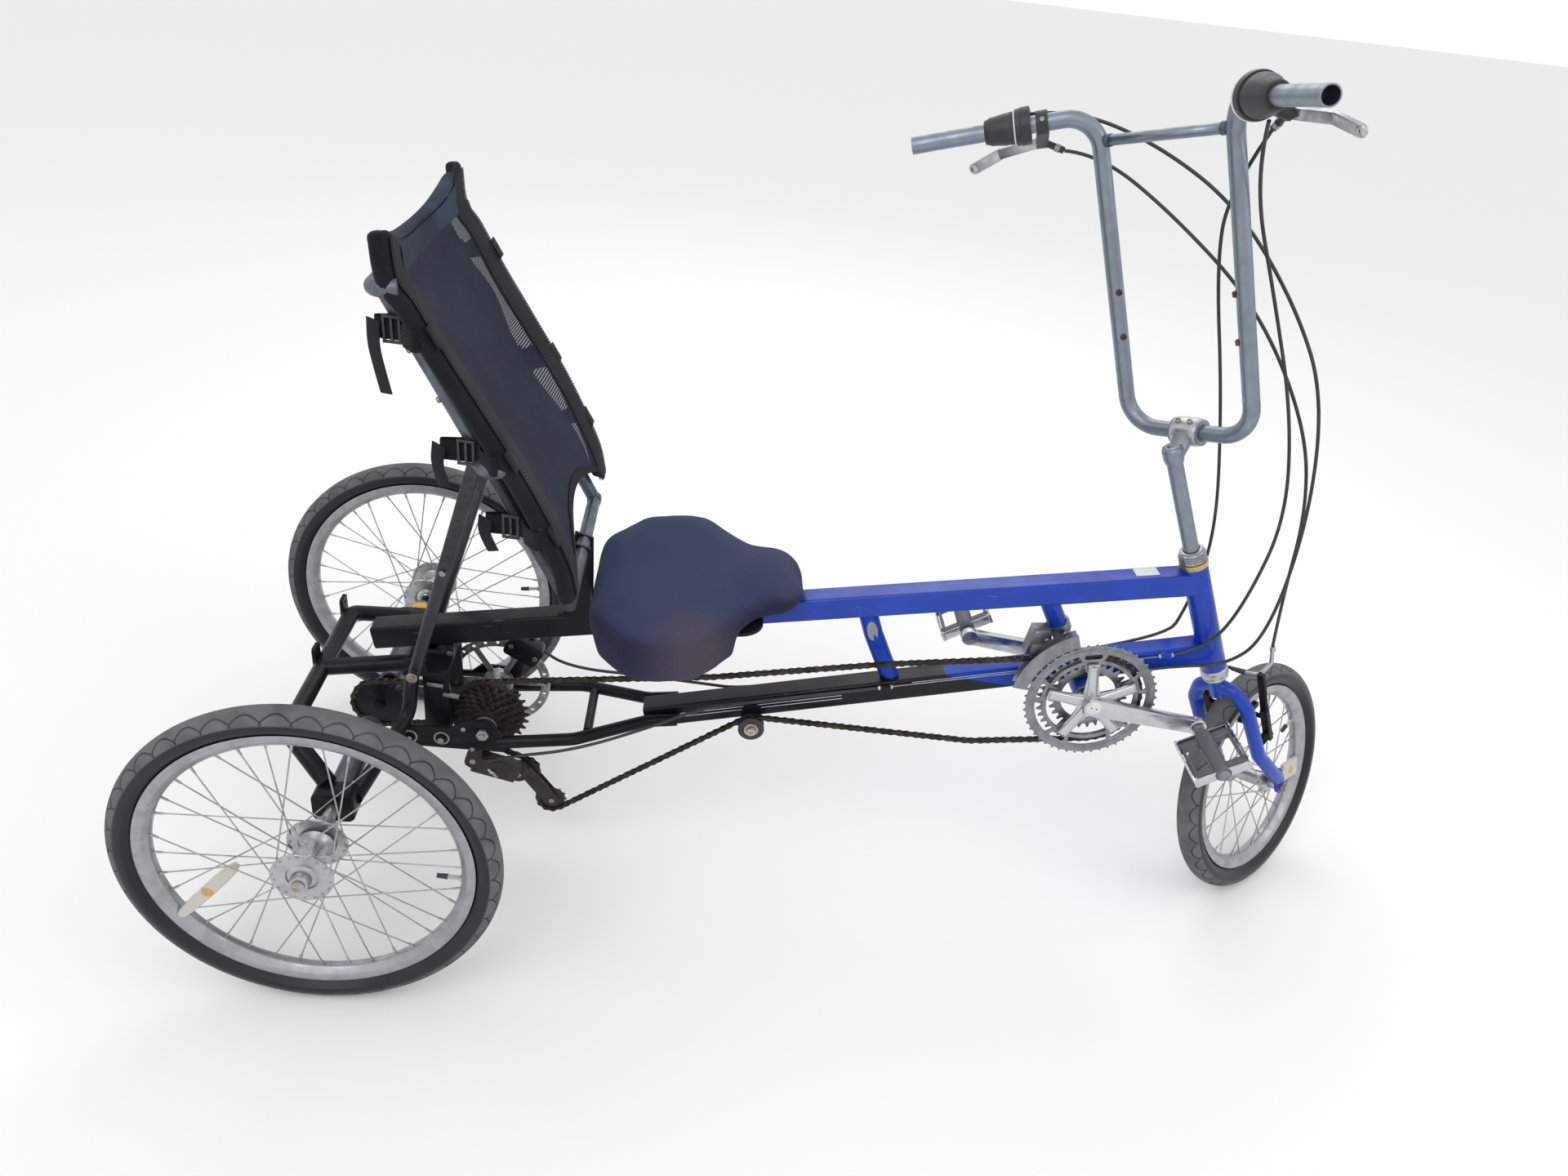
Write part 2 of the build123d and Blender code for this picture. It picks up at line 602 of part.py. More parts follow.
# Columns of the plate bolts: ahead of the rear axle, side, inner end
PLATE_BOLTS = [(62, -1, 60), (108, -1, LEG_OUTER_Y), (62, 1, 60), (80, 1, LEG_OUTER_Y)]
with BuildPart() as dropout_plates:
    for side in (-1, 1):
        with BuildSketch(Plane(origin=at(0, (DROPOUT_Y - DROPOUT_HALF) * side, 0), x_dir=(1, 0, 0),
                               z_dir=(0, -1, 0))):
            with BuildLine():
                Polyline((48, 226), (196, 222), (196, 252), (180, 274), (140, 276), (124, 262), (48, 260),
                         close=True)
            make_face()
            with Locations((MID_X, MID_Z)):
                Circle(MID_AXLE_R + 0.1, mode=Mode.SUBTRACT)
            with Locations(*[(bolt_x, 243) for bolt_x, bolt_side, _ in PLATE_BOLTS if bolt_side == side]):
                Circle(PLATE_BOLT_R, mode=Mode.SUBTRACT)
        extrude(amount=-2 * DROPOUT_HALF * side)
with BuildPart() as mid_axle:
    with BuildSketch(Plane(origin=at(MID_X, 0, MID_Z), x_dir=(1, 0, 0), z_dir=(0, -1, 0))):
        Circle(MID_AXLE_R)
    extrude(amount=86, both=True)
    for side in (-1, 1):
        with BuildSketch(Plane(origin=at(MID_X, (DROPOUT_Y + DROPOUT_HALF) * side, MID_Z), x_dir=(1, 0, 0),
                               z_dir=(0, side, 0))):
            RegularPolygon(9.5, 6)
        extrude(amount=7)
with BuildPart() as rear_post:
    with BuildSketch(Plane(origin=at(86, 0, POST_TOP_Z))):
        Rectangle(62, 2 * SHELF_HALF)
    extrude(amount=6)
    with BuildSketch(Plane(origin=at(97, 0, POST_TOP_Z))):
        Rectangle(40, TUBE)
    extrude(amount=26)
    for side in (-1, 1):
        with BuildSketch(Plane(origin=at(97, 41 * side, 232))):
            Rectangle(38, 8)
        extrude(amount=POST_TOP_Z - 232)
        with BuildSketch(Plane(origin=at(74, (SHELF_HALF - 3) * side, POST_TOP_Z))):
            Rectangle(30, 6)
        extrude(amount=28)
    for bolt_x, side, inner in PLATE_BOLTS:
        bolt = Plane(origin=at(bolt_x, 0, 243), x_dir=(1, 0, 0), z_dir=(0, side, 0))
        with BuildSketch(bolt.offset(inner)):
            Circle(PLATE_BOLT_R)
        extrude(amount=DROPOUT_Y + DROPOUT_HALF - inner)
        if inner > LEG_OUTER_Y:
            with BuildSketch(bolt.offset(inner + 1)):
                RegularPolygon(9, 6)
            extrude(amount=DROPOUT_Y - DROPOUT_HALF - inner - 1)
        with BuildSketch(bolt.offset(DROPOUT_Y + DROPOUT_HALF)):
            Circle(9)
        extrude(amount=2)
        with BuildSketch(bolt.offset(DROPOUT_Y + DROPOUT_HALF + 2)):
            RegularPolygon(6.5, 6)
        extrude(amount=5)
    add(top_tube_rear.part, mode=Mode.SUBTRACT)
with BuildPart() as rear_bow:
    tube([at(-12, -211, 265), at(-80, -152, BOW_Z), at(-80, 152, BOW_Z), at(-12, 211, 265)], BOW_R, bend=26)
    tube([at(-80, 0, BOW_Z), at(100, 0, POST_TOP_Z - 13)], BOW_R)
    for tab_y in (-152, 14, 152):
        with BuildSketch(Plane(origin=at(-94, tab_y, BOW_Z + 12), x_dir=(0, 1, 0), z_dir=(1, 0, 0))):
            RectangleRounded(24, 34, 5)
            with Locations((0, 8)):
                Circle(3.2, mode=Mode.SUBTRACT)
        extrude(amount=5)
    for other in (bearing_blocks, axle_sleeves, rear_post):
        add(other.part, mode=Mode.SUBTRACT)
with BuildPart() as rear_braces:
    for side in (-1, 1):
        tube([at(24, (BLOCK_Y - 4) * side, REAR_TYRE_R + 4), at(38, 118 * side, 248), at(60, 62 * side, 276),
              at(66, 52 * side, POST_TOP_Z + 2)], 10.5, bend=30)
    for other in (bearing_blocks, axle_sleeves, dropout_plates, rear_post):
        add(other.part, mode=Mode.SUBTRACT)
with BuildPart() as rear_stays:
    for side in (-1, 1):
        tube([at(188, DROPOUT_Y * side, 238), at(300, 68 * side, 250), at(404, 29 * side, 262),
              at(450, 28.5 * side, 268)], 9.5, bend=60)
    with BuildSketch(Plane(origin=at(318, -50, 252), x_dir=(1, 0, 0), z_dir=(0, 1, 0))):
        Circle(7)
    extrude(amount=100)
    add(dropout_plates.part, mode=Mode.SUBTRACT)
    add(bottom_tube.part, mode=Mode.SUBTRACT)
export(rear_bow, "rear_bow")
export(bearing_blocks, "bearing_blocks")
export(axle_sleeves, "axle_sleeves")
export(rear_braces, "rear_braces")
export(dropout_plates, "dropout_plates")
export(rear_post, "rear_post")
export(mid_axle, "mid_axle")
export(rear_stays, "rear_stays")

# Chain idler under the bottom tube
IDLER_X = 563.0
IDLER_Z = 268.0
IDLER = Plane(origin=at(IDLER_X, 0, IDLER_Z), x_dir=(1, 0, 0), z_dir=(0, -1, 0))
with BuildPart() as idler:
    for radius, low, thick in ((20, 26, 3.6), (14.5, 29, 10), (20, 38.4, 3.6), (6, 20, 30)):
        with BuildSketch(IDLER.offset(low)):
            Circle(radius)
        extrude(amount=thick)
    with BuildSketch(IDLER.offset(TUBE / 2)):
        with Locations((0, 8)):
            Rectangle(30, 44)
    extrude(amount=3)

# Rear derailleur under the right dropout plate
CAGE_TOP = (222, 152)
CAGE_LOW = (262, 95)
CAGE_TURN = degrees(atan2(CAGE_LOW[1] - CAGE_TOP[1], CAGE_LOW[0] - CAGE_TOP[0]))
CAGE_LENGTH = sqrt((CAGE_LOW[0] - CAGE_TOP[0])**2 + (CAGE_LOW[1] - CAGE_TOP[1])**2)
CAGE_MIDDLE = ((CAGE_TOP[0] + CAGE_LOW[0]) / 2, (CAGE_TOP[1] + CAGE_LOW[1]) / 2, 0)
CAGE = Plane(origin=at(0, 0, 0), x_dir=(1, 0, 0), z_dir=(0, -1, 0))
with BuildPart() as rear_derailleur:
    for low in (20.2, 30.4):
        with BuildSketch(CAGE.offset(low)):
            with Locations(Location(CAGE_MIDDLE, CAGE_TURN)):
                SlotCenterToCenter(CAGE_LENGTH, 24)
        extrude(amount=1.6)
    for place, radius in ((CAGE_TOP, 17.5), (CAGE_LOW, 20.5)):
        with BuildSketch(CAGE.offset(24.8)):
            with Locations(place):
                Circle(radius)
        extrude(amount=2.4)
        with BuildSketch(CAGE.offset(19)):
            with Locations(place):
                Circle(4)
        extrude(amount=14)
    with BuildSketch(CAGE.offset(32)):
        with Locations((214, 160)):
            Circle(14)
    extrude(amount=18)
    bar(at(212, -46, 162), at(152, -62, 194), 20, 30)
    with BuildSketch(CAGE.offset(52)):
        with Locations((150, 196)):
            Circle(12)
    extrude(amount=DROPOUT_Y - DROPOUT_HALF - 52)
    with BuildSketch(CAGE.offset(DROPOUT_Y - DROPOUT_HALF - 4)):
        with BuildLine():
            Polyline((138, 190), (162, 190), (166, 234), (150, 240), close=True)
        make_face()
    extrude(amount=4)

# Brake caliper over the rotor, on a bracket inside the left dropout plate
CALIPER_X = 208.0
CALIPER_Z = 322.0
with BuildPart() as brake_caliper:
    with BuildSketch(Plane(origin=at(CALIPER_X, 44, CALIPER_Z), x_dir=(0.86, 0, -0.5), z_dir=(0, 1, 0))):
        RectangleRounded(56, 34, 8)
    extrude(amount=26)
    with BuildSketch(Plane(origin=at(MID_X, ROTOR_Y - 3, MID_Z), x_dir=(1, 0, 0), z_dir=(0, 1, 0))):
        Circle(ROTOR_R + 3)
    extrude(amount=6, mode=Mode.SUBTRACT)
    with BuildSketch(Plane(origin=at(0, DROPOUT_Y - DROPOUT_HALF, 0), x_dir=(1, 0, 0), z_dir=(0, -1, 0))):
        with BuildLine():
            Polyline((178, 246), (194, 246), (222, 330), (192, 336), close=True)
        make_face()
    extrude(amount=5)
    add(rear_stays.part, mode=Mode.SUBTRACT)

# Front derailleur: clamp on the seat tube, body behind it, cage round the chain
CLAMP_AT = at(1006, 0, 468)
with BuildPart() as front_derailleur:
    with BuildSketch(Plane(origin=CLAMP_AT, x_dir=(0, 1, 0), z_dir=SEAT_TUBE_LOW - SEAT_TUBE_TOP)):
        Circle(STRUT_R + 3.6)
        Circle(STRUT_R + 0.1, mode=Mode.SUBTRACT)
    extrude(amount=7, both=True)
    with BuildSketch(CAGE.offset(8)):
        with BuildLine():
            Polyline((956, 432), (980, 430), (992, 456), (986, 476), (962, 474), close=True)
        make_face()
    extrude(amount=22)
    with BuildSketch(CAGE.offset(28)):
        with Locations((972, 446)):
            Rectangle(20, 16)
    extrude(amount=10)
    for low, radii in ((37, (100, 122)), (55, (103, 125))):
        with BuildSketch(Plane(origin=at(BB_X, -low, BB_Z), x_dir=(1, 0, 0), z_dir=(0, -1, 0))):
            with BuildLine():
                cage_low = CenterArc((0, 0), radii[0], 112, 60)
                cage_high = CenterArc((0, 0), radii[1], 112, 60)
                Line(cage_low @ 0, cage_high @ 0)
                Line(cage_low @ 1, cage_high @ 1)
            make_face()
        extrude(amount=1.2)
    for angle, radius in ((170, 113), (116, 119)):
        with BuildSketch(Plane(origin=at(BB_X, -37, BB_Z), x_dir=(1, 0, 0), z_dir=(0, -1, 0))):
            with Locations((radius * cos(radians(angle)), radius * sin(radians(angle)))):
                Circle(3)
        extrude(amount=19)
    add(seat_tube.part, mode=Mode.SUBTRACT)
export(idler, "idler")
export(rear_derailleur, "rear_derailleur")
export(brake_caliper, "brake_caliper")
export(front_derailleur, "front_derailleur")

# Seat: pad on its pan, back frame with its rails, stays, sling and straps
PAD_PLANE = Plane(origin=at(PAD_REAR_X, 0, PAD_BASE_Z), x_dir=(1, 0, PAD_SLOPE), z_dir=(-PAD_SLOPE, 0, 1))
# Half outline of the pad from its rear middle: ahead, left, rounding
PAD_CORNERS = [(-6, 104, 34), (58, 184, 60), (150, 184, 60), (229, 70, 16), (294, 70, 44)]
PAD_SKIRT = 33.0
with BuildPart() as seat_pad:
    with BuildSketch(PAD_PLANE.offset(-PAD_SKIRT)) as pad_outline:
        with BuildLine():
            half = [(x, y) for x, y, rounding in PAD_CORNERS]
            Polyline(*half, *[(x, -y) for x, y in reversed(half)], close=True)
        make_face()
        for x, y, rounding in PAD_CORNERS:
            for side in (1, -1):
                fillet(pad_outline.vertices().sort_by_distance(Vector(x, y * side, 0))[0], radius=rounding)
    extrude(amount=PAD_THICK + PAD_SKIRT)
    fillet(faces().sort_by(Axis.Z)[-1].edges(), radius=16)
    with BuildSketch(PAD_PLANE.offset(-PAD_SKIRT)):
        with Locations((120, 0)):
            Rectangle(400, 220)
    extrude(amount=PAD_SKIRT, mode=Mode.SUBTRACT)
with BuildPart() as seat_pan:
    with BuildSketch(PAD_PLANE.offset(-0.2)):
        with Locations((130, 0)):
            RectangleRounded(210, 214, 30)
    extrude(amount=-5)
    with BuildSketch(PAD_PLANE.offset(-0.2)):
        with Locations((60, 0), (200, 0)):
            Rectangle(36, 30)
    extrude(amount=-26)
    for tube_part in (top_tube_rear, top_tube_front):
        add(tube_part.part, mode=Mode.SUBTRACT)
UPPER_BOW = (88, 942)
LOWER_BOW = (199, 736)
BOW_REACH = 32
SEAT_CROSS = (301, 541)
SLING_LINE = [(115, 1000), (120, 957), (138, 930), (168, 875), (203, 816), (258, 721), (302, 627),
              (315, 573)]
# The arch of the sling's lower edge between its side bindings: half width, height of its ends and its middle
SLING_ARCH = (165, 560, 642)
with BuildPart() as seat_back_frame:
    for side in (-1, 1):
        tube([at(UPPER_BOW[0] + 3, UPRIGHT_Y * side, UPPER_BOW[1] - 5),
              at(SEAT_CROSS[0], UPRIGHT_Y * side, SEAT_CROSS[1])], SEAT_TUBE_R)
        tube([at(x - 13.2, RAIL_Y * side, z - 5.6) for x, z in SLING_LINE], 8.0, bend=40)
    tube([at(SEAT_CROSS[0], -UPRIGHT_Y - 6, SEAT_CROSS[1]),
          at(SEAT_CROSS[0], UPRIGHT_Y + 6, SEAT_CROSS[1])], SEAT_TUBE_R)
    for bow_x, bow_z in (UPPER_BOW, LOWER_BOW):
        tube([at(bow_x + BOW_REACH, -RAIL_Y, bow_z + 6), at(bow_x, -RAIL_Y, bow_z), at(bow_x, RAIL_Y, bow_z),
              at(bow_x + BOW_REACH, RAIL_Y, bow_z + 6)], SEAT_TUBE_R, bend=22)
with BuildPart() as sling:
    with BuildSketch(Plane(origin=at(0, 0, 0), x_dir=(1, 0, 0), z_dir=(0, -1, 0))):
        with BuildLine():
            front = Spline(*SLING_LINE)
            back = Spline(*[(x - 5, z - 2) for x, z in SLING_LINE])
            Line(front @ 0, back @ 0)
            Line(front @ 1, back @ 1)
        make_face()
    extrude(amount=SLING_HALF, both=True)
    half, foot, crown = SLING_ARCH
    with BuildSketch(Plane(origin=at(250, 0, 0), x_dir=(0, 1, 0), z_dir=(1, 0, 0))):
        with BuildLine():
            ThreePointArc((-half, foot), (0, crown), (half, foot))
            Line((half, foot), (-half, foot))
        make_face()
    extrude(amount=120, mode=Mode.SUBTRACT)
    add(seat_back_frame.part, mode=Mode.SUBTRACT)
with BuildPart() as seat_stays:
    for side in (-1, 1):
        low = at(74, 73 * side, 354)
        high = at(187, 132 * side, 735)
        bar(low, low + (high - low) * 0.56, 19, 23)
        bar(low + (high - low) * 0.5, high, 14, 18)
        with BuildSketch(Plane(origin=at(76, SHELF_HALF * side, 361), x_dir=(1, 0, 0), z_dir=(0, side, 0))):
            Circle(5)
        extrude(amount=30)
    add(rear_post.part, mode=Mode.SUBTRACT)
    add(seat_back_frame.part, mode=Mode.SUBTRACT)
STRAP_WIDTH = 38.0
# Path of a strap in the plane square to the uprights: left, forward
STRAP_PATH = [(-190, 30), (-162, -11.8), (162, -11.8), (190, 30), (188, 30), (160.8, -10.3),
              (-160.8, -10.3), (-188, 30)]
UPRIGHT_WAY = (at(UPPER_BOW[0], 0, UPPER_BOW[1]) - at(SEAT_CROSS[0], 0, SEAT_CROSS[1])).normalized()
with BuildPart() as straps:
    for share in (0.26, 0.48, 0.87):
        middle = at(SEAT_CROSS[0], 0, SEAT_CROSS[1]) + UPRIGHT_WAY * share * 459
        with BuildSketch(Plane(origin=middle, x_dir=(0, -1, 0), z_dir=UPRIGHT_WAY)):
            with BuildLine():
                Polyline(*STRAP_PATH, close=True)
            make_face()
        extrude(amount=STRAP_WIDTH / 2, both=True)
    add(seat_back_frame.part, mode=Mode.SUBTRACT)
    add(seat_stays.part, mode=Mode.SUBTRACT)
with BuildPart() as seat_bracket:
    with BuildSketch(TOP_OVER):
        with Locations((298 * sqrt(1 + TOP_TUBE_SLOPE**2), 0)):
            Rectangle(52, TUBE)
    extrude(amount=6)
    for side in (-1, 1):
        with BuildSketch(Plane(origin=at(0, 14 * side, 0), x_dir=(1, 0, 0), z_dir=(0, -1, 0))):
            with BuildLine():
                Polyline((276, 432), (316, 440), (314, 548), (288, 556), close=True)
            make_face()
        extrude(amount=-4 * side)
    for other in (top_tube_rear, seat_back_frame):
        add(other.part, mode=Mode.SUBTRACT)
export(seat_pad, "seat_pad")
export(seat_pan, "seat_pan")
export(seat_back_frame, "seat_back_frame")
export(sling, "sling")
export(seat_stays, "seat_stays")
export(straps, "straps")
export(seat_bracket, "seat_bracket")

# Steering: fork, stem, handlebar and what they carry
BAR_R = 11.1
BAR_BORE = 9.4
# The bare bar ends, where the grips are missing: side and length, up to the ring that the grip had worn
GRIP_ENDS = [(1, 94.0), (-1, 116.0)]
GRIP_RING_WIDTH = 1.2
GRIP_RING_DEPTH = 0.3
STEM_AHEAD = 42.0
STEM_UP = 396.0
STEERER_TOP = 6 + HEAD_LENGTH + 22
TIP_Y = 53.0
with BuildPart() as fork:
    with BuildSketch(FORK.offset(-50)):
        Circle(12.7)
    extrude(amount=50 + STEERER_TOP)
    with BuildSketch(FORK.offset(-14)):
        Circle(17)
    extrude(amount=4)
    for side in (-1, 1):
        tube([turned(0, 0, -30), turned(0, 30 * side, -38), turned(1, 45 * side, -70),
              turned(8, 46 * side, -170), turned(RAKE - 2, TIP_Y * side, -FORK_LENGTH + 18)], 11, bend=22)
        with BuildSketch(Plane(origin=turned(RAKE, TIP_Y * side, -FORK_LENGTH), x_dir=FORK.x_dir,
                               z_dir=FORK.y_dir * -1)):
            with BuildLine():
                Polyline((-12, 0), (-9, 32), (9, 32), (12, 0))
                ThreePointArc((12, 0), (0, -12), (-12, 0))
            make_face()
        extrude(amount=3, both=True)
    with BuildSketch(Plane(origin=FRONT_HUB, x_dir=FORK.x_dir, z_dir=FORK.y_dir)):
        Circle(FRONT_AXLE_R + 0.05)
    extrude(amount=80, both=True, mode=Mode.SUBTRACT)
with BuildPart() as front_axle:
    with BuildSketch(Plane(origin=FRONT_HUB, x_dir=FORK.x_dir, z_dir=FORK.y_dir)):
        Circle(FRONT_AXLE_R)
    extrude(amount=66, both=True)
    for side in (-1, 1):
        with BuildSketch(Plane(origin=turned(RAKE, (TIP_Y + 3) * side, -FORK_LENGTH), x_dir=FORK.x_dir,
                               z_dir=FORK.y_dir * side)):
            RegularPolygon(8.5, 6)
        extrude(amount=7)
with BuildPart() as handlebar:
    tube([turned(-41, 284, 850), turned(103, 95, 819), turned(STEM_AHEAD, 95.5, STEM_UP),
          turned(STEM_AHEAD, -95.5, STEM_UP), turned(103, -95, 819), turned(-41, -284, 850)], BAR_R, bend=45)
    tube([turned(98, -86, 785), turned(98, 86, 785)], 7)
    for side, bare_length in GRIP_ENDS:
        bar_end = turned(-41, 284 * side, 850)
        mouth = Plane(origin=bar_end, z_dir=turned(103, 95 * side, 819) - bar_end)
        with BuildSketch(mouth.offset(bare_length)) as worn_ring:
            Circle(BAR_R + 1)
            Circle(BAR_R - GRIP_RING_DEPTH, mode=Mode.SUBTRACT)
        extrude(worn_ring.sketch, amount=GRIP_RING_WIDTH, mode=Mode.SUBTRACT)
        with BuildSketch(mouth) as bore:
            Circle(BAR_BORE)
        extrude(bore.sketch, amount=45, mode=Mode.SUBTRACT)
with BuildPart() as stem:
    with BuildSketch(FORK.offset(STEERER_TOP - 12)):
        RegularPolygon(20, 8)
        Circle(12.8, mode=Mode.SUBTRACT)
    extrude(amount=12.1)
    with BuildSketch(FORK.offset(STEERER_TOP + 0.1)):
        Circle(17)
    extrude(amount=4)
    with BuildSketch(FORK.offset(STEERER_TOP + 0.1)):
        Circle(11)
    extrude(amount=STEM_UP - STEERER_TOP - 8)
    tube([turned(0, 0, STEM_UP - 14), turned(STEM_AHEAD - 6, 0, STEM_UP)], 13)
    with BuildSketch(Plane(origin=turned(STEM_AHEAD, -22, STEM_UP), x_dir=FORK.x_dir, z_dir=FORK.y_dir)):
        Circle(18)
    extrude(amount=44)
    with BuildSketch(Plane(origin=turned(STEM_AHEAD, -40, STEM_UP), x_dir=FORK.x_dir, z_dir=FORK.y_dir)):
        Circle(BAR_R + 0.1)
    extrude(amount=80, mode=Mode.SUBTRACT)


def grip_frame(side):
    """Corner of the bar, way along the grip, way up and way forward, all square."""
    corner = turned(103, 95 * side, 819)
    along = (turned(-41, 284 * side, 850) - corner).normalized()
    rise = (HEAD_UP - along * HEAD_UP.dot(along)).normalized()
    return corner, along, rise, along.cross(rise) * side


def on_grip(side, station, rise, forward):
    """Gives a place by its distance along the grip from the corner, up and forward."""
    corner, along, up, ahead = grip_frame(side)
    return corner + along * station + up * rise + ahead * forward


# Columns: radius, distance along the grip from the bar's corner
LEFT_SHIFTER = [(BAR_R + 0.1, 84), (24, 84), (24, 97), (23, 97), (23, 103), (19, 104), (20, 118), (17, 136),
                (14, 143.5), (BAR_R + 0.1, 143.5)]
RIGHT_SHIFTER = [(BAR_R + 0.1, 60), (26, 60), (27, 72), (24, 90), (18, 108), (15, 121), (BAR_R + 0.1, 121)]
LEVER_CLAMPS = [(1, 62.0), (-1, 43.5)]
with BuildPart() as shifters:
    for side, outline in ((1, LEFT_SHIFTER), (-1, RIGHT_SHIFTER)):
        corner, along, up, ahead = grip_frame(side)
        lathe(Plane(origin=corner, x_dir=up, z_dir=up.cross(along)), outline)
with BuildPart() as brake_levers:
    for side, clamp in LEVER_CLAMPS:
        corner, along, up, ahead = grip_frame(side)
        lathe(Plane(origin=corner, x_dir=up, z_dir=up.cross(along)),
              [(BAR_R + 0.1, clamp), (16, clamp), (16, clamp + 15), (BAR_R + 0.1, clamp + 15)])
        middle = clamp + 7
        bar(on_grip(side, middle, -9, 9), on_grip(side, middle + 4, -34, 38), 15, 16, side=tuple(along))
        knuckle = on_grip(side, middle + 2, -32, 38)
        elbow = on_grip(side, middle + 62, -44, 58)
        tip = on_grip(side, middle + 98, -60, 66)
        bar(knuckle, elbow, 7, 13, side=tuple(ahead))
        bar(elbow + (knuckle - elbow).normalized() * 3, tip, 6, 15, side=tuple(ahead), corner=2.5)
        tube([on_grip(side, middle, -33, 33), on_grip(side, middle - 24, -46, 27)], 4.5)
    add(handlebar.part, mode=Mode.SUBTRACT)
    add(shifters.part, mode=Mode.SUBTRACT)
BRAKE_PIVOT_UP = -146.0
with BuildPart() as front_brake:
    for side in (-1, 1):
        pivot = turned(8, 48 * side, BRAKE_PIVOT_UP)
        with BuildSketch(Plane(origin=pivot, x_dir=FORK.y_dir, z_dir=FORK.x_dir)):
            Circle(7)
        extrude(amount=31)
        across = tuple(FORK.y_dir)
        bar(turned(36, 49 * side, BRAKE_PIVOT_UP - 9), turned(36, 50 * side, -96), 12, 8, side=across)
        bar(turned(36, 50 * side, -98), turned(44, 49 * side, -28), 10, 7, side=across)
        pad_face = Plane(origin=turned(38, 0, -112), x_dir=FORK.x_dir, z_dir=FORK.y_dir * side)
        with BuildSketch(pad_face.offset(15)):
            Circle(4)
        extrude(amount=32)
        with BuildSketch(pad_face.offset(15.5)):
            RectangleRounded(50, 9, 3)
        extrude(amount=8)
    tube([turned(70, -58, 8), turned(67, -54, -22), turned(48, -44, -34), turned(44, 44, -34)], 2.6, bend=12)
    add(fork.part, mode=Mode.SUBTRACT)
export(fork, "fork")
export(front_axle, "front_axle")
export(stem, "stem")
export(handlebar, "handlebar")
export(shifters, "shifters")
export(brake_levers, "brake_levers")
export(front_brake, "front_brake")

# Cables, in straight runs and arcs from the levers and shifters down to the frame
CABLE_R = 2.4
WIRE_R = 0.9
CABLE_Y = 21.6
with BuildPart() as cable_front_brake:
    tube([on_grip(1, 44.5, -46.2, 26.9), turned(118, 116, 762), turned(127, 30, 674), turned(124, -75, 545),
          turned(115, -126, 380), turned(98, -124, 255), turned(84, -78, 100), turned(70.1, -58.4, 10.5)],
         CABLE_R, bend=30)
    add(brake_levers.part, mode=Mode.SUBTRACT)
with BuildPart() as cable_front_shift:
    tube([on_grip(1, 83.5, 9, 21), on_grip(1, 30, 4, 30), turned(134, 40, 764), turned(138, -60, 672),
          turned(142, -118, 532), turned(128, -148, 413), turned(76, -134, 240), at(1296, -52, 500),
          at(1262, -30, 436), tube_side(1195, -CABLE_Y, -9), tube_side(1010, -CABLE_Y, -9),
          at(987, -32, 388), at(977, -30, 414), at(975, -22, 433)], CABLE_R, bend=12)
    add(front_derailleur.part, mode=Mode.SUBTRACT)
with BuildPart() as cable_rear_shift:
    tube([on_grip(-1, 70, -29.5, 6), turned(100, -108, 720), turned(114, -106, 560), turned(102, -116, 400),
          turned(86, -98, 240), at(1258, -34, 556), at(1236, -30, 480), tube_side(1200, -CABLE_Y, 12),
          tube_side(1181.5, -CABLE_Y, 12)], CABLE_R, bend=14)
    tube([tube_side(1164.5, -CABLE_Y, 12), tube_side(768.5, -CABLE_Y, 12)], WIRE_R)
    tube([tube_side(751.5, -CABLE_Y, 12), tube_side(560, -CABLE_Y, 12), at(480, -30, 291), at(410, -50, 266),
          at(300, -82, 240), at(210, -82, 222), at(170, -73, 202)], CABLE_R, bend=20)
with BuildPart() as cable_rear_brake:
    tube([on_grip(-1, 25.5, -46.2, 26.9), turned(112, -66, 703), turned(110, -36, 613), turned(92, -24, 420),
          turned(75, 9, 200), at(1206, 27, 506), tube_side(1184, CABLE_Y, 4), tube_side(560, CABLE_Y, 4),
          at(480, 31, 296), at(390, 50, 290), at(290, 76, 276), at(236, 74, 300), at(219, 64, 339)],
         CABLE_R, bend=20)
    add(brake_levers.part, mode=Mode.SUBTRACT)
    add(brake_caliper.part, mode=Mode.SUBTRACT)
export(cable_front_brake, "cable_front_brake")
export(cable_front_shift, "cable_front_shift")
export(cable_rear_shift, "cable_rear_shift")
export(cable_rear_brake, "cable_rear_brake")
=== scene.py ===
"""Looks of a recumbent delta trike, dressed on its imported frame.

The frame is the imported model's: +X forward, +Y to the trike's left, +Z up. Places are vectors in metres; plain
numbers for sizes and places are millimetres, and MM turns them into metres.
"""
from __future__ import annotations

import logging
import math
from abc import ABC, abstractmethod
from dataclasses import dataclass, field
from enum import Enum
from functools import partialmethod
from typing import Any, Callable, Iterable, Sequence

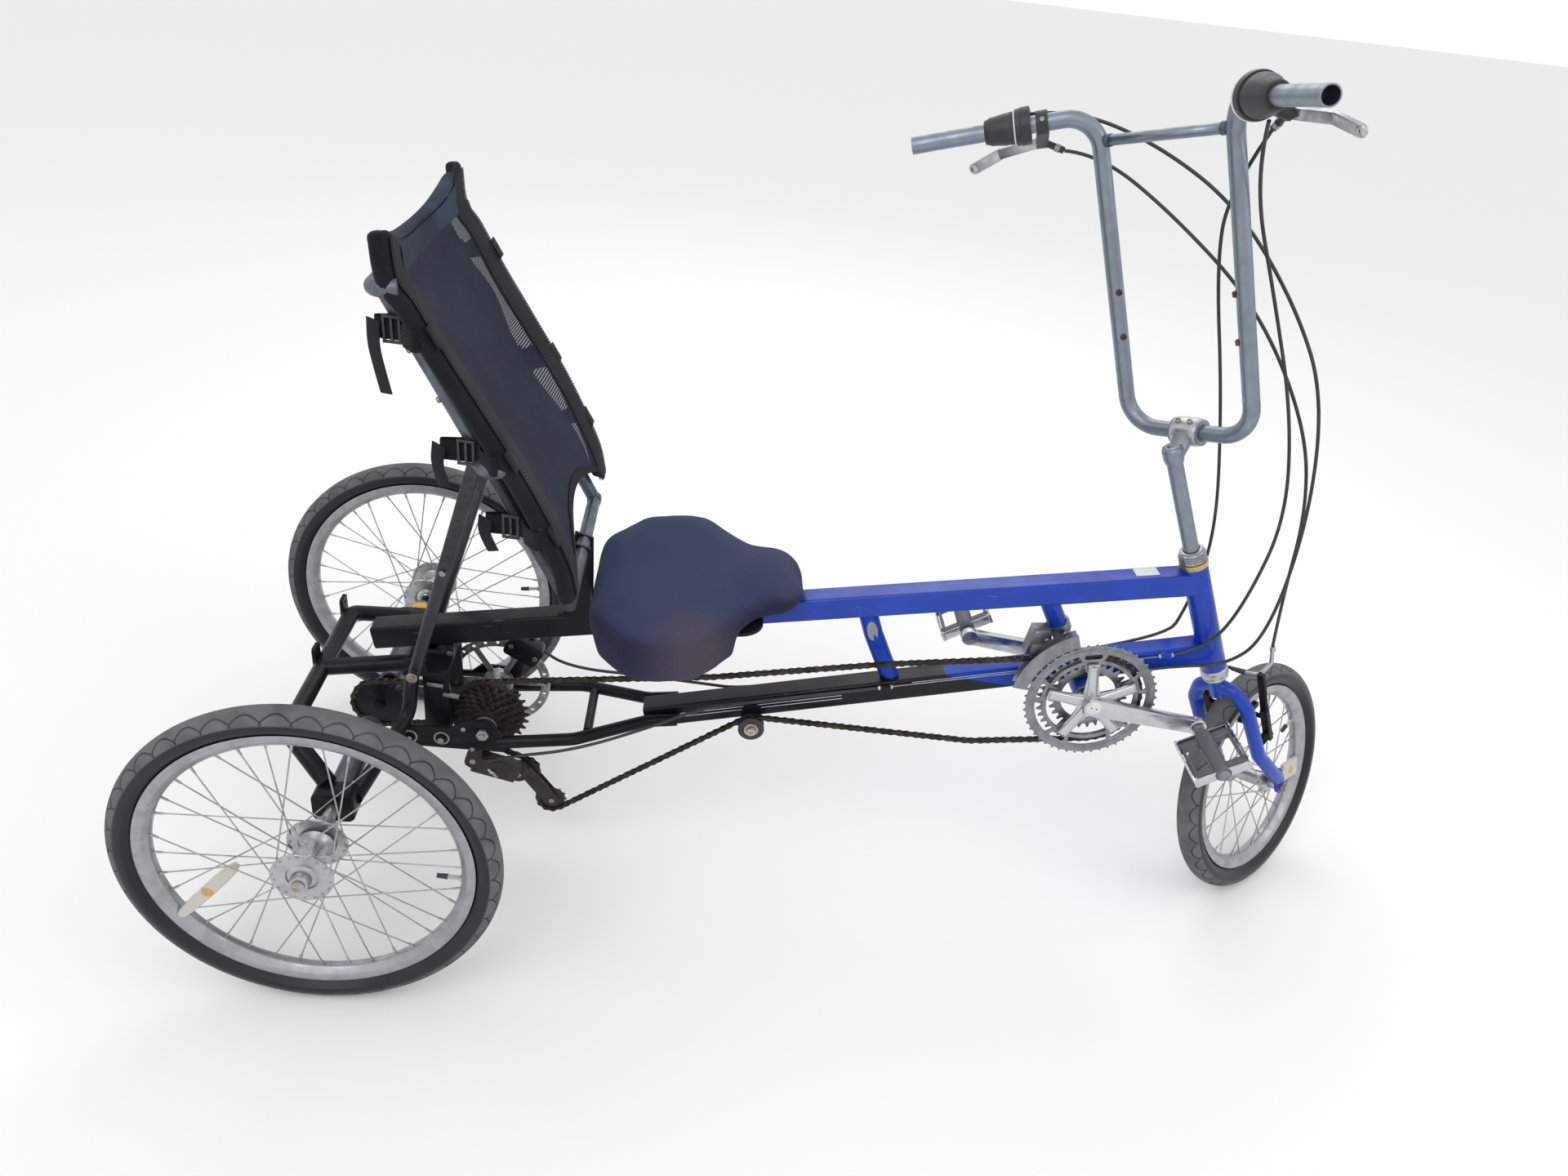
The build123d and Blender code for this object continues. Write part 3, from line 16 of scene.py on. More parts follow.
import bmesh
import bpy
from mathutils import Matrix, Vector
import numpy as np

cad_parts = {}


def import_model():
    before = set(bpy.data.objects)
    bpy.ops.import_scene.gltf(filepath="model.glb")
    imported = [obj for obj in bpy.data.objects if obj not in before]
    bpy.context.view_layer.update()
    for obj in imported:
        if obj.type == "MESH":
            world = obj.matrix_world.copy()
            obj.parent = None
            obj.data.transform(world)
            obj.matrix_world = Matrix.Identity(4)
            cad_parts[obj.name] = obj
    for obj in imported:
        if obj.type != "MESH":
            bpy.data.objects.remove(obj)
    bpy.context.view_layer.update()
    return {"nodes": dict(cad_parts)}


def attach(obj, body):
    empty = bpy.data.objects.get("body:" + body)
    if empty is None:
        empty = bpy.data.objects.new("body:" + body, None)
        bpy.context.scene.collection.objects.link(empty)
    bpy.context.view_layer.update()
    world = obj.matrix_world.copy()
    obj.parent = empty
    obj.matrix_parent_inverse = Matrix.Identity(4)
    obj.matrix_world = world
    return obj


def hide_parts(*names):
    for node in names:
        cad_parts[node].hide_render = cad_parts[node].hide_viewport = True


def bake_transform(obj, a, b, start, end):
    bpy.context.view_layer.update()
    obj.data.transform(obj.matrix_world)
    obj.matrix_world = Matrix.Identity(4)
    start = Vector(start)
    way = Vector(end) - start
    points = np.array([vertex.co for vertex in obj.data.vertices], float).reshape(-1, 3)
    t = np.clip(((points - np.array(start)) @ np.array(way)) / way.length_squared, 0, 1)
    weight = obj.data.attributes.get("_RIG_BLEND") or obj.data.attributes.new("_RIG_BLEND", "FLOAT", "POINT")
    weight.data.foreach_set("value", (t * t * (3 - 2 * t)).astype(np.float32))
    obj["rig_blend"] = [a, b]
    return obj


LOG = logging.getLogger("trike")
MM = 0.001
TURN = 2 * math.pi
AHEAD, LEFT, RIGHT, UP = Vector((1, 0, 0)), Vector((0, 1, 0)), Vector((0, -1, 0)), Vector((0, 0, 1))
SHARP = 34.0
SIPE_PITCH = 0.037
Colour = tuple[float, float, float]
Pairs = Sequence[tuple[float, float]]
Socket = bpy.types.NodeSocket
Corners = list[bmesh.types.BMVert]


@dataclass(frozen=True)
class Layout:
    """Places on the trike, measured forward from its rear axle or about its turned fork."""

    rear_x: float = -661.3
    axle_z: float = 243.0
    head_angle: float = 64.45
    steer: float = 39.4
    head_x: float = 1265.9
    head_z: float = 409.1
    rake: float = 39.0
    fork_length: float = 261.205
    low_slope: float = 0.2225
    top_slope: float = 0.1613

    def at(self, x: float, y: float, z: float) -> Vector:
        """Gives a place forward, left and up from the floor under the rear axle."""
        return Vector((self.rear_x + x, y, z)) * MM

    @property
    def up(self) -> Vector:
        """The way up the head tube."""
        angle = math.radians(self.head_angle)
        return Vector((-math.cos(angle), 0, math.sin(angle)))

    @property
    def ahead(self) -> Vector:
        """The way ahead of the turned fork, square to the head tube."""
        angle, turn = math.radians(self.head_angle), math.radians(self.steer)
        straight = Vector((math.sin(angle), 0, math.cos(angle)))
        return straight * math.cos(turn) + LEFT * math.sin(turn)

    @property
    def left(self) -> Vector:
        """The way left of the turned fork, along the front axle."""
        return self.up.cross(self.ahead)

    def turned(self, ahead: float, left: float, up: float) -> Vector:
        """Gives a place in the steering's own frame, from the head tube's lower race."""
        way = self.ahead * ahead + self.left * left + self.up * up
        return self.at(self.head_x, 0, self.head_z) + way * MM

    def bottom_tube(self, x: float, y: float, rise: float = 0.0) -> Vector:
        """Gives a place beside the bottom tube's middle line."""
        return self.at(x, y, 167.7 + self.low_slope * x + rise)

    def top_tube(self, x: float, y: float) -> Vector:
        """Gives a place beside the top tube's middle line."""
        return self.at(x, y, 370.0 + self.top_slope * x)

    def grip(self, side: int) -> tuple[Vector, Vector, Vector, Vector]:
        """Gives the bar's corner and the ways along the grip, up and forward; side is 1 for the left grip, else -1."""
        corner = self.turned(103, 95 * side, 819)
        along = (self.turned(-41, 284 * side, 850) - corner).normalized()
        rise = (self.up - along * self.up.dot(along)).normalized()
        return corner, along, rise, along.cross(rise) * side

    def on_grip(self, side: int, station: float, rise: float, forward: float) -> Vector:
        """Gives a place by its distance along the grip from the corner, up and forward."""
        corner, along, up, ahead = self.grip(side)
        return corner + (along * station + up * rise + ahead * forward) * MM


HERE = Layout()


class Body(str, Enum):
    """The moving bodies that pieces ride on."""

    FRAME = "frame"
    STEERING = "steering"
    FRONT_WHEEL = "front_wheel"
    RIGHT_WHEEL = "right_wheel"
    LEFT_WHEEL = "left_wheel"
    MID_DRIVE = "mid_drive"
    CRANK = "crank"
    PEDAL_RIGHT = "pedal_right"
    PEDAL_LEFT = "pedal_left"


def around(angle: float) -> Vector:
    """Gives the way at an angle in the upright plane along the trike, from ahead to up."""
    return Vector((math.cos(angle), 0, math.sin(angle)))


def sloped(slope: float) -> tuple[Vector, Vector]:
    """Gives the ways along a line that rises forward by a slope, and square up from it."""
    return Vector((1, 0, slope)).normalized(), Vector((-slope, 0, 1)).normalized()


def facing(origin: Vector, z_way: Vector, x_way: Vector | None = None) -> Matrix:
    """Builds the matrix of a local frame.

    Args:
        origin: Where the frame's middle lies.
        z_way: The way of its Z axis.
        x_way: Roughly the way of its X axis; any square way serves when it is left out.

    Returns:
        A matrix without scale.
    """
    z_axis = z_way.normalized()
    hint = x_way if x_way is not None else z_axis.orthogonal()
    y_axis = z_axis.cross(hint).normalized()
    turn = Matrix((y_axis.cross(z_axis).normalized(), y_axis, z_axis)).transposed().to_4x4()
    return Matrix.Translation(origin) @ turn


def inside(frame: Matrix, x: float, y: float, z: float) -> Vector:
    """Gives a place in a local frame."""
    return frame @ (Vector((x, y, z)) * MM)


def moved(frame: Matrix, x: float, y: float, z: float) -> Matrix:
    """Moves a local frame along its own axes."""
    return frame @ Matrix.Translation(Vector((x, y, z)) * MM)


def eased(points: Sequence[Vector], count: int) -> list[Vector]:
    """Passes a smooth line through points and gives places spread evenly along each stretch.

    Args:
        points: What the line passes through.
        count: Places per stretch.

    Returns:
        The places, the first and last point among them.
    """
    ends = [points[0] * 2 - points[1], *points, points[-1] * 2 - points[-2]]
    places: list[Vector] = []
    for a, b, c, d in zip(ends, ends[1:], ends[2:], ends[3:]):
        for step in range(count):
            t = step / count
            square, cube = a * 2 - b * 5 + c * 4 - d, b * 3 - a - c * 3 + d
            places.append(((b * 2) + (c - a) * t + square * t * t + cube * t ** 3) / 2)
    return [*places, points[-1].copy()]


def rounded(points: Sequence[Vector], radius: float, steps: int = 6) -> list[Vector]:
    """Rounds the corners of a bar's route to a radius."""
    places = [points[0]]
    for before, corner, after in zip(points, points[1:], points[2:]):
        way_in, way_out = (corner - before).normalized(), (after - corner).normalized()
        bend = way_in.angle(way_out)
        reach = min(radius * MM * math.tan(bend / 2), (corner - before).length / 2, (after - corner).length / 2)
        start, end = corner - way_in * reach, corner + way_out * reach
        for step in range(steps + 1):
            t = step / steps
            places.append(start * (1 - t) ** 2 + corner * 2 * t * (1 - t) + end * t * t)
    return [*places, points[-1]]


class NodeSheet:
    """Lays nodes and links in a material or a node group."""

    def __init__(self, tree: bpy.types.NodeTree) -> None:
        """Keeps the tree that the nodes go in."""
        self.tree = tree

    def add(self, kind: str, inputs: dict[Any, Any] | None = None, **settings: Any) -> bpy.types.Node:
        """Adds a node.

        Args:
            kind: Its type, without the words that every shader node's type starts with.
            inputs: What feeds its inputs, by name or number.
            settings: Its properties.

        Returns:
            The node.
        """
        node = self.tree.nodes.new(kind if kind.startswith("NodeGroup") else f"ShaderNode{kind}")
        for name, value in settings.items():
            setattr(node, name, value)
        self.feed(node, inputs or {})
        return node

    def feed(self, node: bpy.types.Node, inputs: dict[Any, Any]) -> None:
        """Links a node's inputs, or sets their values where the source is a plain number or colour."""
        for name, source in inputs.items():
            if isinstance(source, bpy.types.NodeSocket):
                self.tree.links.new(source, node.inputs[name])
            else:
                node.inputs[name].default_value = source

    def maths(self, operation: str, *sources: Any, clamp: bool = False) -> Socket:
        """Adds a Math node."""
        return self.add("Math", dict(enumerate(sources)), operation=operation, use_clamp=clamp).outputs[0]

    plus = partialmethod(maths, "ADD")
    less = partialmethod(maths, "SUBTRACT")
    times = partialmethod(maths, "MULTIPLY")
    times_plus = partialmethod(maths, "MULTIPLY_ADD")
    larger = partialmethod(maths, "MAXIMUM")
    size = partialmethod(maths, "ABSOLUTE")

    def ease(self, value: Any, low: float, high: float, out_low: float = 0.0, out_high: float = 1.0) -> Socket:
        """Maps a value smoothly from low..high to out_low..out_high."""
        sources = dict(enumerate((value, low, high, out_low, out_high)))
        return self.add("MapRange", sources, interpolation_type="SMOOTHSTEP").outputs[0]

    def noise(self, place: Any, scale: Any, detail: float, rough: float, bend: float = 0.0) -> Socket:
        """Adds a noise pattern and gives its grey value."""
        return self.add("TexNoise", {"Vector": place, "Scale": scale, "Detail": detail, "Roughness": rough,
                                     "Distortion": bend}).outputs[0]

    def mix(self, share: Any, first: Any, second: Any) -> Socket:
        """Mixes two colours by a share."""
        colours = [(*source, 1.0) if isinstance(source, tuple) else source for source in (first, second)]
        return self.add("Mix", {0: share, 6: colours[0], 7: colours[1]}, data_type="RGBA").outputs[2]

    def split(self, vector: Any) -> list[Socket]:
        """Splits a vector in its three numbers."""
        return list(self.add("SeparateXYZ", {0: vector}).outputs)

    def coordinates(self, output: str = "Object") -> Socket:
        """Gives the piece's own coordinates."""
        return self.add("TexCoord").outputs[output]

    def rise(self) -> Socket:
        """Gives how far a face looks up, from -1 to 1."""
        return self.split(self.add("NewGeometry").outputs["Normal"])[2]


class ShaderSheet(NodeSheet):
    """A material's sheet, with its Principled shader and the shared effects."""

    def __init__(self, material: bpy.types.Material, effects: dict[str, bpy.types.NodeTree]) -> None:
        """Gives the material its shader."""
        super().__init__(material.node_tree)
        self.tree.nodes.clear()
        self.effects = effects
        self.shader = self.add("BsdfPrincipled")
        self.add("OutputMaterial", {0: self.shader.outputs[0]})

    def effect(self, name: str, *sources: Any) -> list[Socket]:
        """Places a shared effect, fed in the order of its inputs, and gives its outputs."""
        return list(self.add("Group", dict(enumerate(sources)), node_tree=self.effects[name]).outputs)

    def shade(self, inputs: dict[str, Any]) -> None:
        """Feeds the shader; a constant is set on its socket."""
        self.feed(self.shader, inputs)

    def relief(self, height: Any, distance: float, strength: float = 1.0) -> None:
        """Feeds the shader's normal from a height, in metres."""
        bump = self.add("Bump", {"Strength": strength, "Distance": distance, "Height": height})
        self.shade({"Normal": bump.outputs[0]})


def build_effects() -> dict[str, bpy.types.NodeTree]:
    """Builds the shader effects that several finishes share, each as one node group."""
    return {
        "edge_wear": effect_group("edge_wear", {"Scale": 90.0, "Reach": 0.5}, ("Mask",), edge_wear),
        "grain": effect_group("grain", {"Scale": 800.0}, ("Height", "Patches"), grain),
        "rust": effect_group("rust", {"Scale": 60.0, "Cover": 0.3}, ("Mask", "Colour", "Height"), rust),
        "dust": effect_group("dust", {"Scale": 14.0, "Amount": 0.3}, ("Mask",), dust),
        "weave": effect_group("weave", {"Pitch": 0.0012}, ("Height", "Openings"), weave),
        "scratches": effect_group("scratches", {"Scale": 20.0}, ("Mask",), scratches),
    }


def effect_group(name: str, inputs: dict[str, float], outputs: tuple[str, ...],
                 lay: Callable[..., Sequence[Socket]]) -> bpy.types.NodeTree:
    """Builds one effect's node group.

    Args:
        name: The group's name.
        inputs: Its inputs after Vector, with their starting values.
        outputs: The names of its outputs; Colour is a colour and the others are numbers.
        lay: Lays the nodes from a sheet and the inputs, and gives the outputs' sources.

    Returns:
        The group's tree.
    """
    tree = bpy.data.node_groups.new(name, "ShaderNodeTree")
    tree.interface.new_socket("Vector", in_out="INPUT", socket_type="NodeSocketVector")
    for label, value in inputs.items():
        tree.interface.new_socket(label, in_out="INPUT", socket_type="NodeSocketFloat").default_value = value
    for label in outputs:
        kind = "NodeSocketColor" if label == "Colour" else "NodeSocketFloat"
        tree.interface.new_socket(label, in_out="OUTPUT", socket_type=kind)
    sheet = NodeSheet(tree)
    given = list(sheet.add("NodeGroupInput").outputs)[:1 + len(inputs)]
    sheet.add("NodeGroupOutput", dict(zip(outputs, lay(sheet, *given))))
    return tree


def edge_wear(sheet: NodeSheet, place: Socket, scale: Socket, reach: Socket) -> Sequence[Socket]:
    """Finds worn edges: rounded edge faces, where a noise lets the wear through."""
    edge = sheet.add("Attribute", attribute_name="wear").outputs["Fac"]
    broken = sheet.noise(place, scale, 5.0, 0.65)
    return [sheet.times(edge, sheet.ease(sheet.times_plus(reach, 0.35, broken), 0.6, 0.72))]


def grain(sheet: NodeSheet, place: Socket, scale: Socket) -> Sequence[Socket]:
    """Lays two layers of fine noise for the small unevenness of a surface."""
    coarse = sheet.noise(place, sheet.times(scale, 0.06), 3.0, 0.55)
    return sheet.noise(place, scale, 4.0, 0.6), sheet.ease(coarse, 0.35, 0.65)


def rust(sheet: NodeSheet, place: Socket, scale: Socket, cover: Socket) -> Sequence[Socket]:
    """Lays rust in spots and blooms, with its own colour and crust."""
    bloom = sheet.noise(place, scale, 6.0, 0.62, 0.4)
    crust = sheet.noise(place, sheet.times(scale, 14.0), 4.0, 0.7)
    level, edge = sheet.times_plus(crust, 0.12, bloom), sheet.less(0.86, sheet.times(cover, 0.5))
    mask = sheet.ease(sheet.less(level, edge), -0.03, 0.05)
    tone = sheet.mix(sheet.ease(crust, 0.3, 0.7), (0.03, 0.012, 0.007), (0.13, 0.052, 0.022))
    return mask, tone, sheet.times(crust, mask)


def dust(sheet: NodeSheet, place: Socket, scale: Socket, amount: Socket) -> Sequence[Socket]:
    """Lays dust that settles on faces turned upwards, in uneven patches."""
    lift = sheet.ease(sheet.rise(), -0.2, 0.95, 0.25, 1.0)
    patch = sheet.ease(sheet.noise(place, scale, 6.0, 0.6), 0.3, 0.75)
    return [sheet.times(sheet.times(lift, patch), amount, clamp=True)]


def weave(sheet: NodeSheet, place: Socket, pitch: Socket) -> Sequence[Socket]:
    """Crosses threads along a UV map, which is in metres along the cloth."""
    across, along, _ = sheet.split(place)
    first, second = (sheet.maths("SINE", sheet.times(sheet.maths("DIVIDE", way, pitch), TURN))
                     for way in (across, along))
    gap = sheet.maths("MINIMUM", first, second)
    return sheet.times_plus(sheet.times(first, second), 0.5, 0.5), sheet.ease(gap, 0.1, 0.45)


def scratches(sheet: NodeSheet, place: Socket, scale: Socket) -> Sequence[Socket]:
    """Draws long thin marks, from noise stretched along one way."""
    stretch = sheet.add("Mapping", {"Vector": place, "Scale": (1.0, 16.0, 16.0), "Rotation": (0.0, 0.35, 0.3)})
    lines = sheet.noise(stretch.outputs[0], scale, 2.0, 0.5)
    gate = sheet.noise(place, sheet.times(scale, 0.7), 2.0, 0.5)
    return [sheet.times(sheet.ease(lines, 0.68, 0.72), sheet.ease(gate, 0.5, 0.6))]


@dataclass(frozen=True)
class Finish(ABC):
    """A surface finish that can be built as a material, and the record's slot that it mostly goes with."""

    name: str
    slot: str

    def build(self, effects: dict[str, bpy.types.NodeTree]) -> bpy.types.Material:
        """Builds the material from the shared effects."""
        material = bpy.data.materials.new(self.name)
        material.use_nodes = True
        self.dress(ShaderSheet(material, effects))
        return material

    @abstractmethod
    def dress(self, sheet: ShaderSheet) -> None:
        """Feeds the shader with this finish's colour, roughness and relief."""


@dataclass(frozen=True)
class Paint(Finish):
    """Glossy enamel on steel: dust on top, chips along the edges, rust in the chips."""

    colour: Colour
    other: Colour | None = None
    border: tuple[float, float, float] = (0.0, 0.0, 0.0)
    deep: float = 0.55
    gloss: float = 0.24
    wear: float = 0.35
    dusty: float = 0.04
    rusty: float = 0.04
    shine: float = 0.3
    dust_tone: Colour = (0.28, 0.27, 0.25)

    def dress(self, sheet: ShaderSheet) -> None:
        """Lays enamel, chips, rust and dust."""
        place = sheet.coordinates()
        base: Any = self.colour
        fine, patches = sheet.effect("grain", place, 420.0)
        if self.other is not None:
            x, _, z = sheet.split(place)
            edge = sheet.times_plus(x, self.border[0], sheet.times(z, self.border[1]))
            side = sheet.ease(sheet.less(edge, self.border[2]), -0.0004, 0.0004)
            base = sheet.mix(side, self.colour, self.other)
        darker = sheet.mix(sheet.times(patches, self.deep), base, (0.0, 0.0, 0.0))
        chips, = sheet.effect("edge_wear", place, 170.0, self.wear)
        spots, rust_tone, _ = sheet.effect("rust", place, 75.0, self.rusty)
        marks, = sheet.effect("scratches", place, 26.0)
        haze, = sheet.effect("dust", place, 11.0, self.dusty)
        bare = sheet.larger(chips, spots)
        colour = sheet.mix(bare, sheet.mix(0.25, base, darker), rust_tone)
        colour = sheet.mix(sheet.times(marks, 0.35), colour, self.dust_tone)
        rough = sheet.larger(sheet.times_plus(patches, 0.12, self.gloss), sheet.times(bare, 0.8))
        sheet.shade({"Base Color": sheet.mix(haze, colour, self.dust_tone),
                     "Roughness": sheet.times_plus(haze, 0.9, rough, clamp=True),
                     "Coat Roughness": 0.12,
                     "Specular IOR Level": self.shine,
                     "Coat Weight": sheet.less(self.shine * 0.7, bare, clamp=True)})
        sheet.relief(sheet.less(sheet.times(fine, 0.12), bare), 0.00012)


@dataclass(frozen=True)
class Metal(Finish):
    """Bare or plated metal with tarnish, rust, fine grain and dust."""

    colour: Colour
    tarnish: Colour
    stained: float
    rough: float
    rusty: float
    dusty: float = 0.12
    metal: float = 1.0
    depth: float = 0.00008
    rust_scale: float = 90.0

    def dress(self, sheet: ShaderSheet) -> None:
        """Lays the metal, its tarnish, rust and dust."""
        place = sheet.coordinates()
        fine, patches = sheet.effect("grain", place, 900.0)
        spots, rust_tone, crust = sheet.effect("rust", place, self.rust_scale, self.rusty)
        marks, = sheet.effect("scratches", place, 48.0)
        haze, = sheet.effect("dust", place, 22.0, self.dusty)
        colour = sheet.mix(sheet.times(patches, self.stained), self.colour, self.tarnish)
        colour = sheet.mix(spots, colour, rust_tone)
        cover = sheet.larger(spots, haze)
        rough = sheet.less(sheet.times_plus(patches, 0.14, self.rough), sheet.times(marks, 0.08))
        sheet.shade({"Base Color": sheet.mix(haze, colour, (0.24, 0.22, 0.19)),
                     "Metallic": sheet.times(sheet.less(1.0, cover), self.metal),
                     "Roughness": sheet.times_plus(cover, 0.55, rough, clamp=True)})
        sheet.relief(sheet.times_plus(fine, 0.3, crust), self.depth)


@dataclass(frozen=True)
class Tyre(Finish):
    """Worn rubber: a black wall, a dusty grey tread with curved sipes, from a UV map in metres."""

    wall: Colour = (0.007, 0.008, 0.011)
    tread: Colour = (0.075, 0.079, 0.084)
    worn: Colour = (0.115, 0.12, 0.126)
    dust_tone: Colour = (0.17, 0.174, 0.178)

    def dress(self, sheet: ShaderSheet) -> None:
        """Lays wall and tread, a chain of lobes with short bars at their cusps in near black, partly painted shade in
        the grooves, and dried mud.
        """
        round_it, across, _ = sheet.split(sheet.coordinates("UV"))
        place = sheet.coordinates()
        off = sheet.size(across)
        turns = sheet.maths("DIVIDE", round_it, SIPE_PITCH)
        arch = sheet.size(sheet.maths("SINE", sheet.times(turns, math.pi)))
        lobe = sheet.size(sheet.less(off, sheet.times_plus(arch, -0.0105, 0.0205)))
        rung = sheet.size(sheet.less(sheet.maths("FRACT", sheet.plus(turns, 0.5)), 0.5))
        bars = sheet.times(sheet.ease(rung, 0.02, 0.045, 1.0, 0.0), sheet.ease(off, 0.0185, 0.0195))
        bars = sheet.times(bars, sheet.ease(off, 0.0235, 0.025, 1.0, 0.0))
        cuts = sheet.larger(sheet.ease(lobe, 0.0006, 0.0014, 1.0, 0.0), bars)
        on_tread = sheet.ease(off, 0.0235, 0.0265, 1.0, 0.0)
        fine, patches = sheet.effect("grain", place, 520.0)
        haze, = sheet.effect("dust", place, 16.0, sheet.times_plus(on_tread, 0.4, 0.06))
        rubber = sheet.mix(on_tread, self.wall, sheet.mix(patches, self.tread, self.worn))
        # The sipes take near black: the unworn rubber in them, and painted shade in the grooves.
        rubber = sheet.mix(sheet.times(cuts, 0.85), rubber, (0.008, 0.008, 0.01))
        rough = sheet.times_plus(on_tread, 0.4, 0.36)
        sheet.shade({"Base Color": sheet.mix(haze, rubber, self.dust_tone),
                     "Roughness": sheet.times_plus(haze, 0.3, rough, clamp=True),
                     "Specular IOR Level": 0.35})
        sheet.relief(sheet.less(sheet.times(fine, 0.12), cuts), 0.0014)


@dataclass(frozen=True)
class Plastic(Finish):
    """Moulded plastic with a fine grain, scuffs and dust."""

    colour: Colour
    rough: float = 0.42
    dusty: float = 0.15

    def dress(self, sheet: ShaderSheet) -> None:
        """Lays the plastic, its scuffs and dust."""
        place = sheet.coordinates()
        fine, patches = sheet.effect("grain", place, 1300.0)
        scuffs, = sheet.effect("edge_wear", place, 140.0, 0.5)
        haze, = sheet.effect("dust", place, 26.0, self.dusty)
        pale = tuple(min(1.0, 0.035 + 1.25 * part) for part in self.colour)
        tone = sheet.mix(sheet.times(patches, 0.35), self.colour, pale)
        tone = sheet.mix(sheet.times(scuffs, 0.7), tone, pale)
        rough = sheet.times_plus(patches, 0.12, self.rough)
        sheet.shade({"Base Color": sheet.mix(haze, tone, (0.26, 0.24, 0.2)),
                     "Roughness": sheet.times_plus(haze, 0.4, rough, clamp=True)})
        sheet.relief(fine, 0.00006)


@dataclass(frozen=True)
class Lens(Finish):
    """A moulded reflector: cube-corner relief under a dulled clear face."""

    colour: Colour
    pitch: float = 0.0028

    def dress(self, sheet: ShaderSheet) -> None:
        """Lays prisms from the piece's own coordinates."""
        place = sheet.coordinates()
        cells = sheet.add("TexVoronoi", feature="DISTANCE_TO_EDGE")
        sheet.feed(cells, {"Scale": 1 / self.pitch, "Randomness": 0.0, "Vector": place})
        _, patches = sheet.effect("grain", place, 300.0)
        haze, = sheet.effect("dust", place, 30.0, 0.3)
        lines = sheet.ease(cells.outputs["Distance"], 0.02, 0.25)
        tone = sheet.mix(lines, tuple(part * 0.62 for part in self.colour), self.colour)
        tone = sheet.mix(sheet.times(patches, 0.2), tone, (0.45, 0.38, 0.28))
        sheet.shade({"Base Color": sheet.mix(haze, tone, (0.4, 0.36, 0.3)),
                     "Roughness": sheet.times_plus(haze, 0.5, 0.16),
                     "Coat Weight": 0.6,
                     "Coat Roughness": 0.08})
        sheet.relief(lines, 0.0005)


@dataclass(frozen=True)
class Knit(Finish):
    """Knitted stretch cover, paler on faces that look up as painted light from above, browned in the seat, with
    pilling.
    """

    colour: Colour
    paler: Colour
    worn: Colour

    def dress(self, sheet: ShaderSheet) -> None:
        """Lays the knit, painted light from above that makes faces looking up paler, and the worn patches on top and on
        the right flank.
        """
        place = sheet.coordinates()
        x, y, z = sheet.split(place)
        # How far a face looks up: below it paints the light from above and gates the worn patches.
        top = sheet.ease(sheet.rise(), 0.25, 0.95)
        knit, _ = sheet.effect("weave", place, 0.0013)
        pill = sheet.ease(sheet.noise(place, 520.0, 2.0, 0.5), 0.66, 0.74)
        patch = sheet.ease(sheet.noise(place, 9.0, 4.0, 0.55), 0.42, 0.66)
        brown = sheet.times(patch, sheet.times(top, sheet.ease(x, -0.21, -0.12)))
        brown = sheet.times(brown, sheet.times_plus(sheet.ease(sheet.size(y), 0.03, 0.16), 0.55, 0.3))
        flank = sheet.times(sheet.ease(y, -0.17, -0.1, 1.0, 0.0), sheet.ease(x, -0.29, -0.2))
        flank = sheet.times(flank, sheet.ease(x, -0.15, -0.08, 0.9, 0.0))
        brown = sheet.larger(brown, sheet.times(flank, sheet.ease(z, 0.4, 0.46)))
        # Painted light from above: faces that look up take the paler colour.
        tone = sheet.mix(top, self.colour, self.paler)
        tone = sheet.mix(sheet.times(brown, 0.75), tone, self.worn)
        tone = sheet.mix(sheet.times(knit, 0.28), tone, self.colour)
        sheet.shade({"Base Color": sheet.mix(sheet.times(pill, 0.15), tone, (0.3, 0.3, 0.36)),
                     "Roughness": 0.88,
                     "Sheen Weight": 0.05,
                     "Sheen Roughness": 0.45,
                     "Specular IOR Level": 0.12})
        sheet.relief(sheet.times_plus(pill, 0.6, knit), 0.0005, 0.7)


@dataclass(frozen=True)
class Netting(Finish):
    """Open mesh cloth: threads with see-through holes, from a UV map in metres."""

    colour: Colour
    paler: Colour
    inner: float = 0.006
    outer: float = 0.6
    margin: float = 0.102

    def dress(self, sheet: ShaderSheet) -> None:
        """Lays threads, holes and fade; the layer behind the middle ends short of the left edge."""
        cloth = sheet.coordinates("UV")
        across, along, _ = sheet.split(cloth)
        threads, openings = sheet.effect("weave", cloth, 0.0026)
        fade = sheet.ease(sheet.noise(sheet.coordinates(), 7.0, 5.0, 0.6), 0.3, 0.7)
        bulge = sheet.times(sheet.maths("SINE", sheet.times(along, 36.0)), 0.016)
        past = sheet.less(across, sheet.plus(bulge, self.margin))
        hole = sheet.times(openings, sheet.ease(past, -0.002, 0.003, self.inner, self.outer))
        tone = sheet.mix(fade, self.colour, self.paler)
        sheet.shade({"Base Color": sheet.mix(sheet.times(threads, 0.4), tone, self.colour),
                     "Roughness": 0.7,
                     "Sheen Weight": 0.02,
                     "Specular IOR Level": 0.1,
                     "Alpha": sheet.less(1.0, hole)})
        sheet.relief(threads, 0.0006)


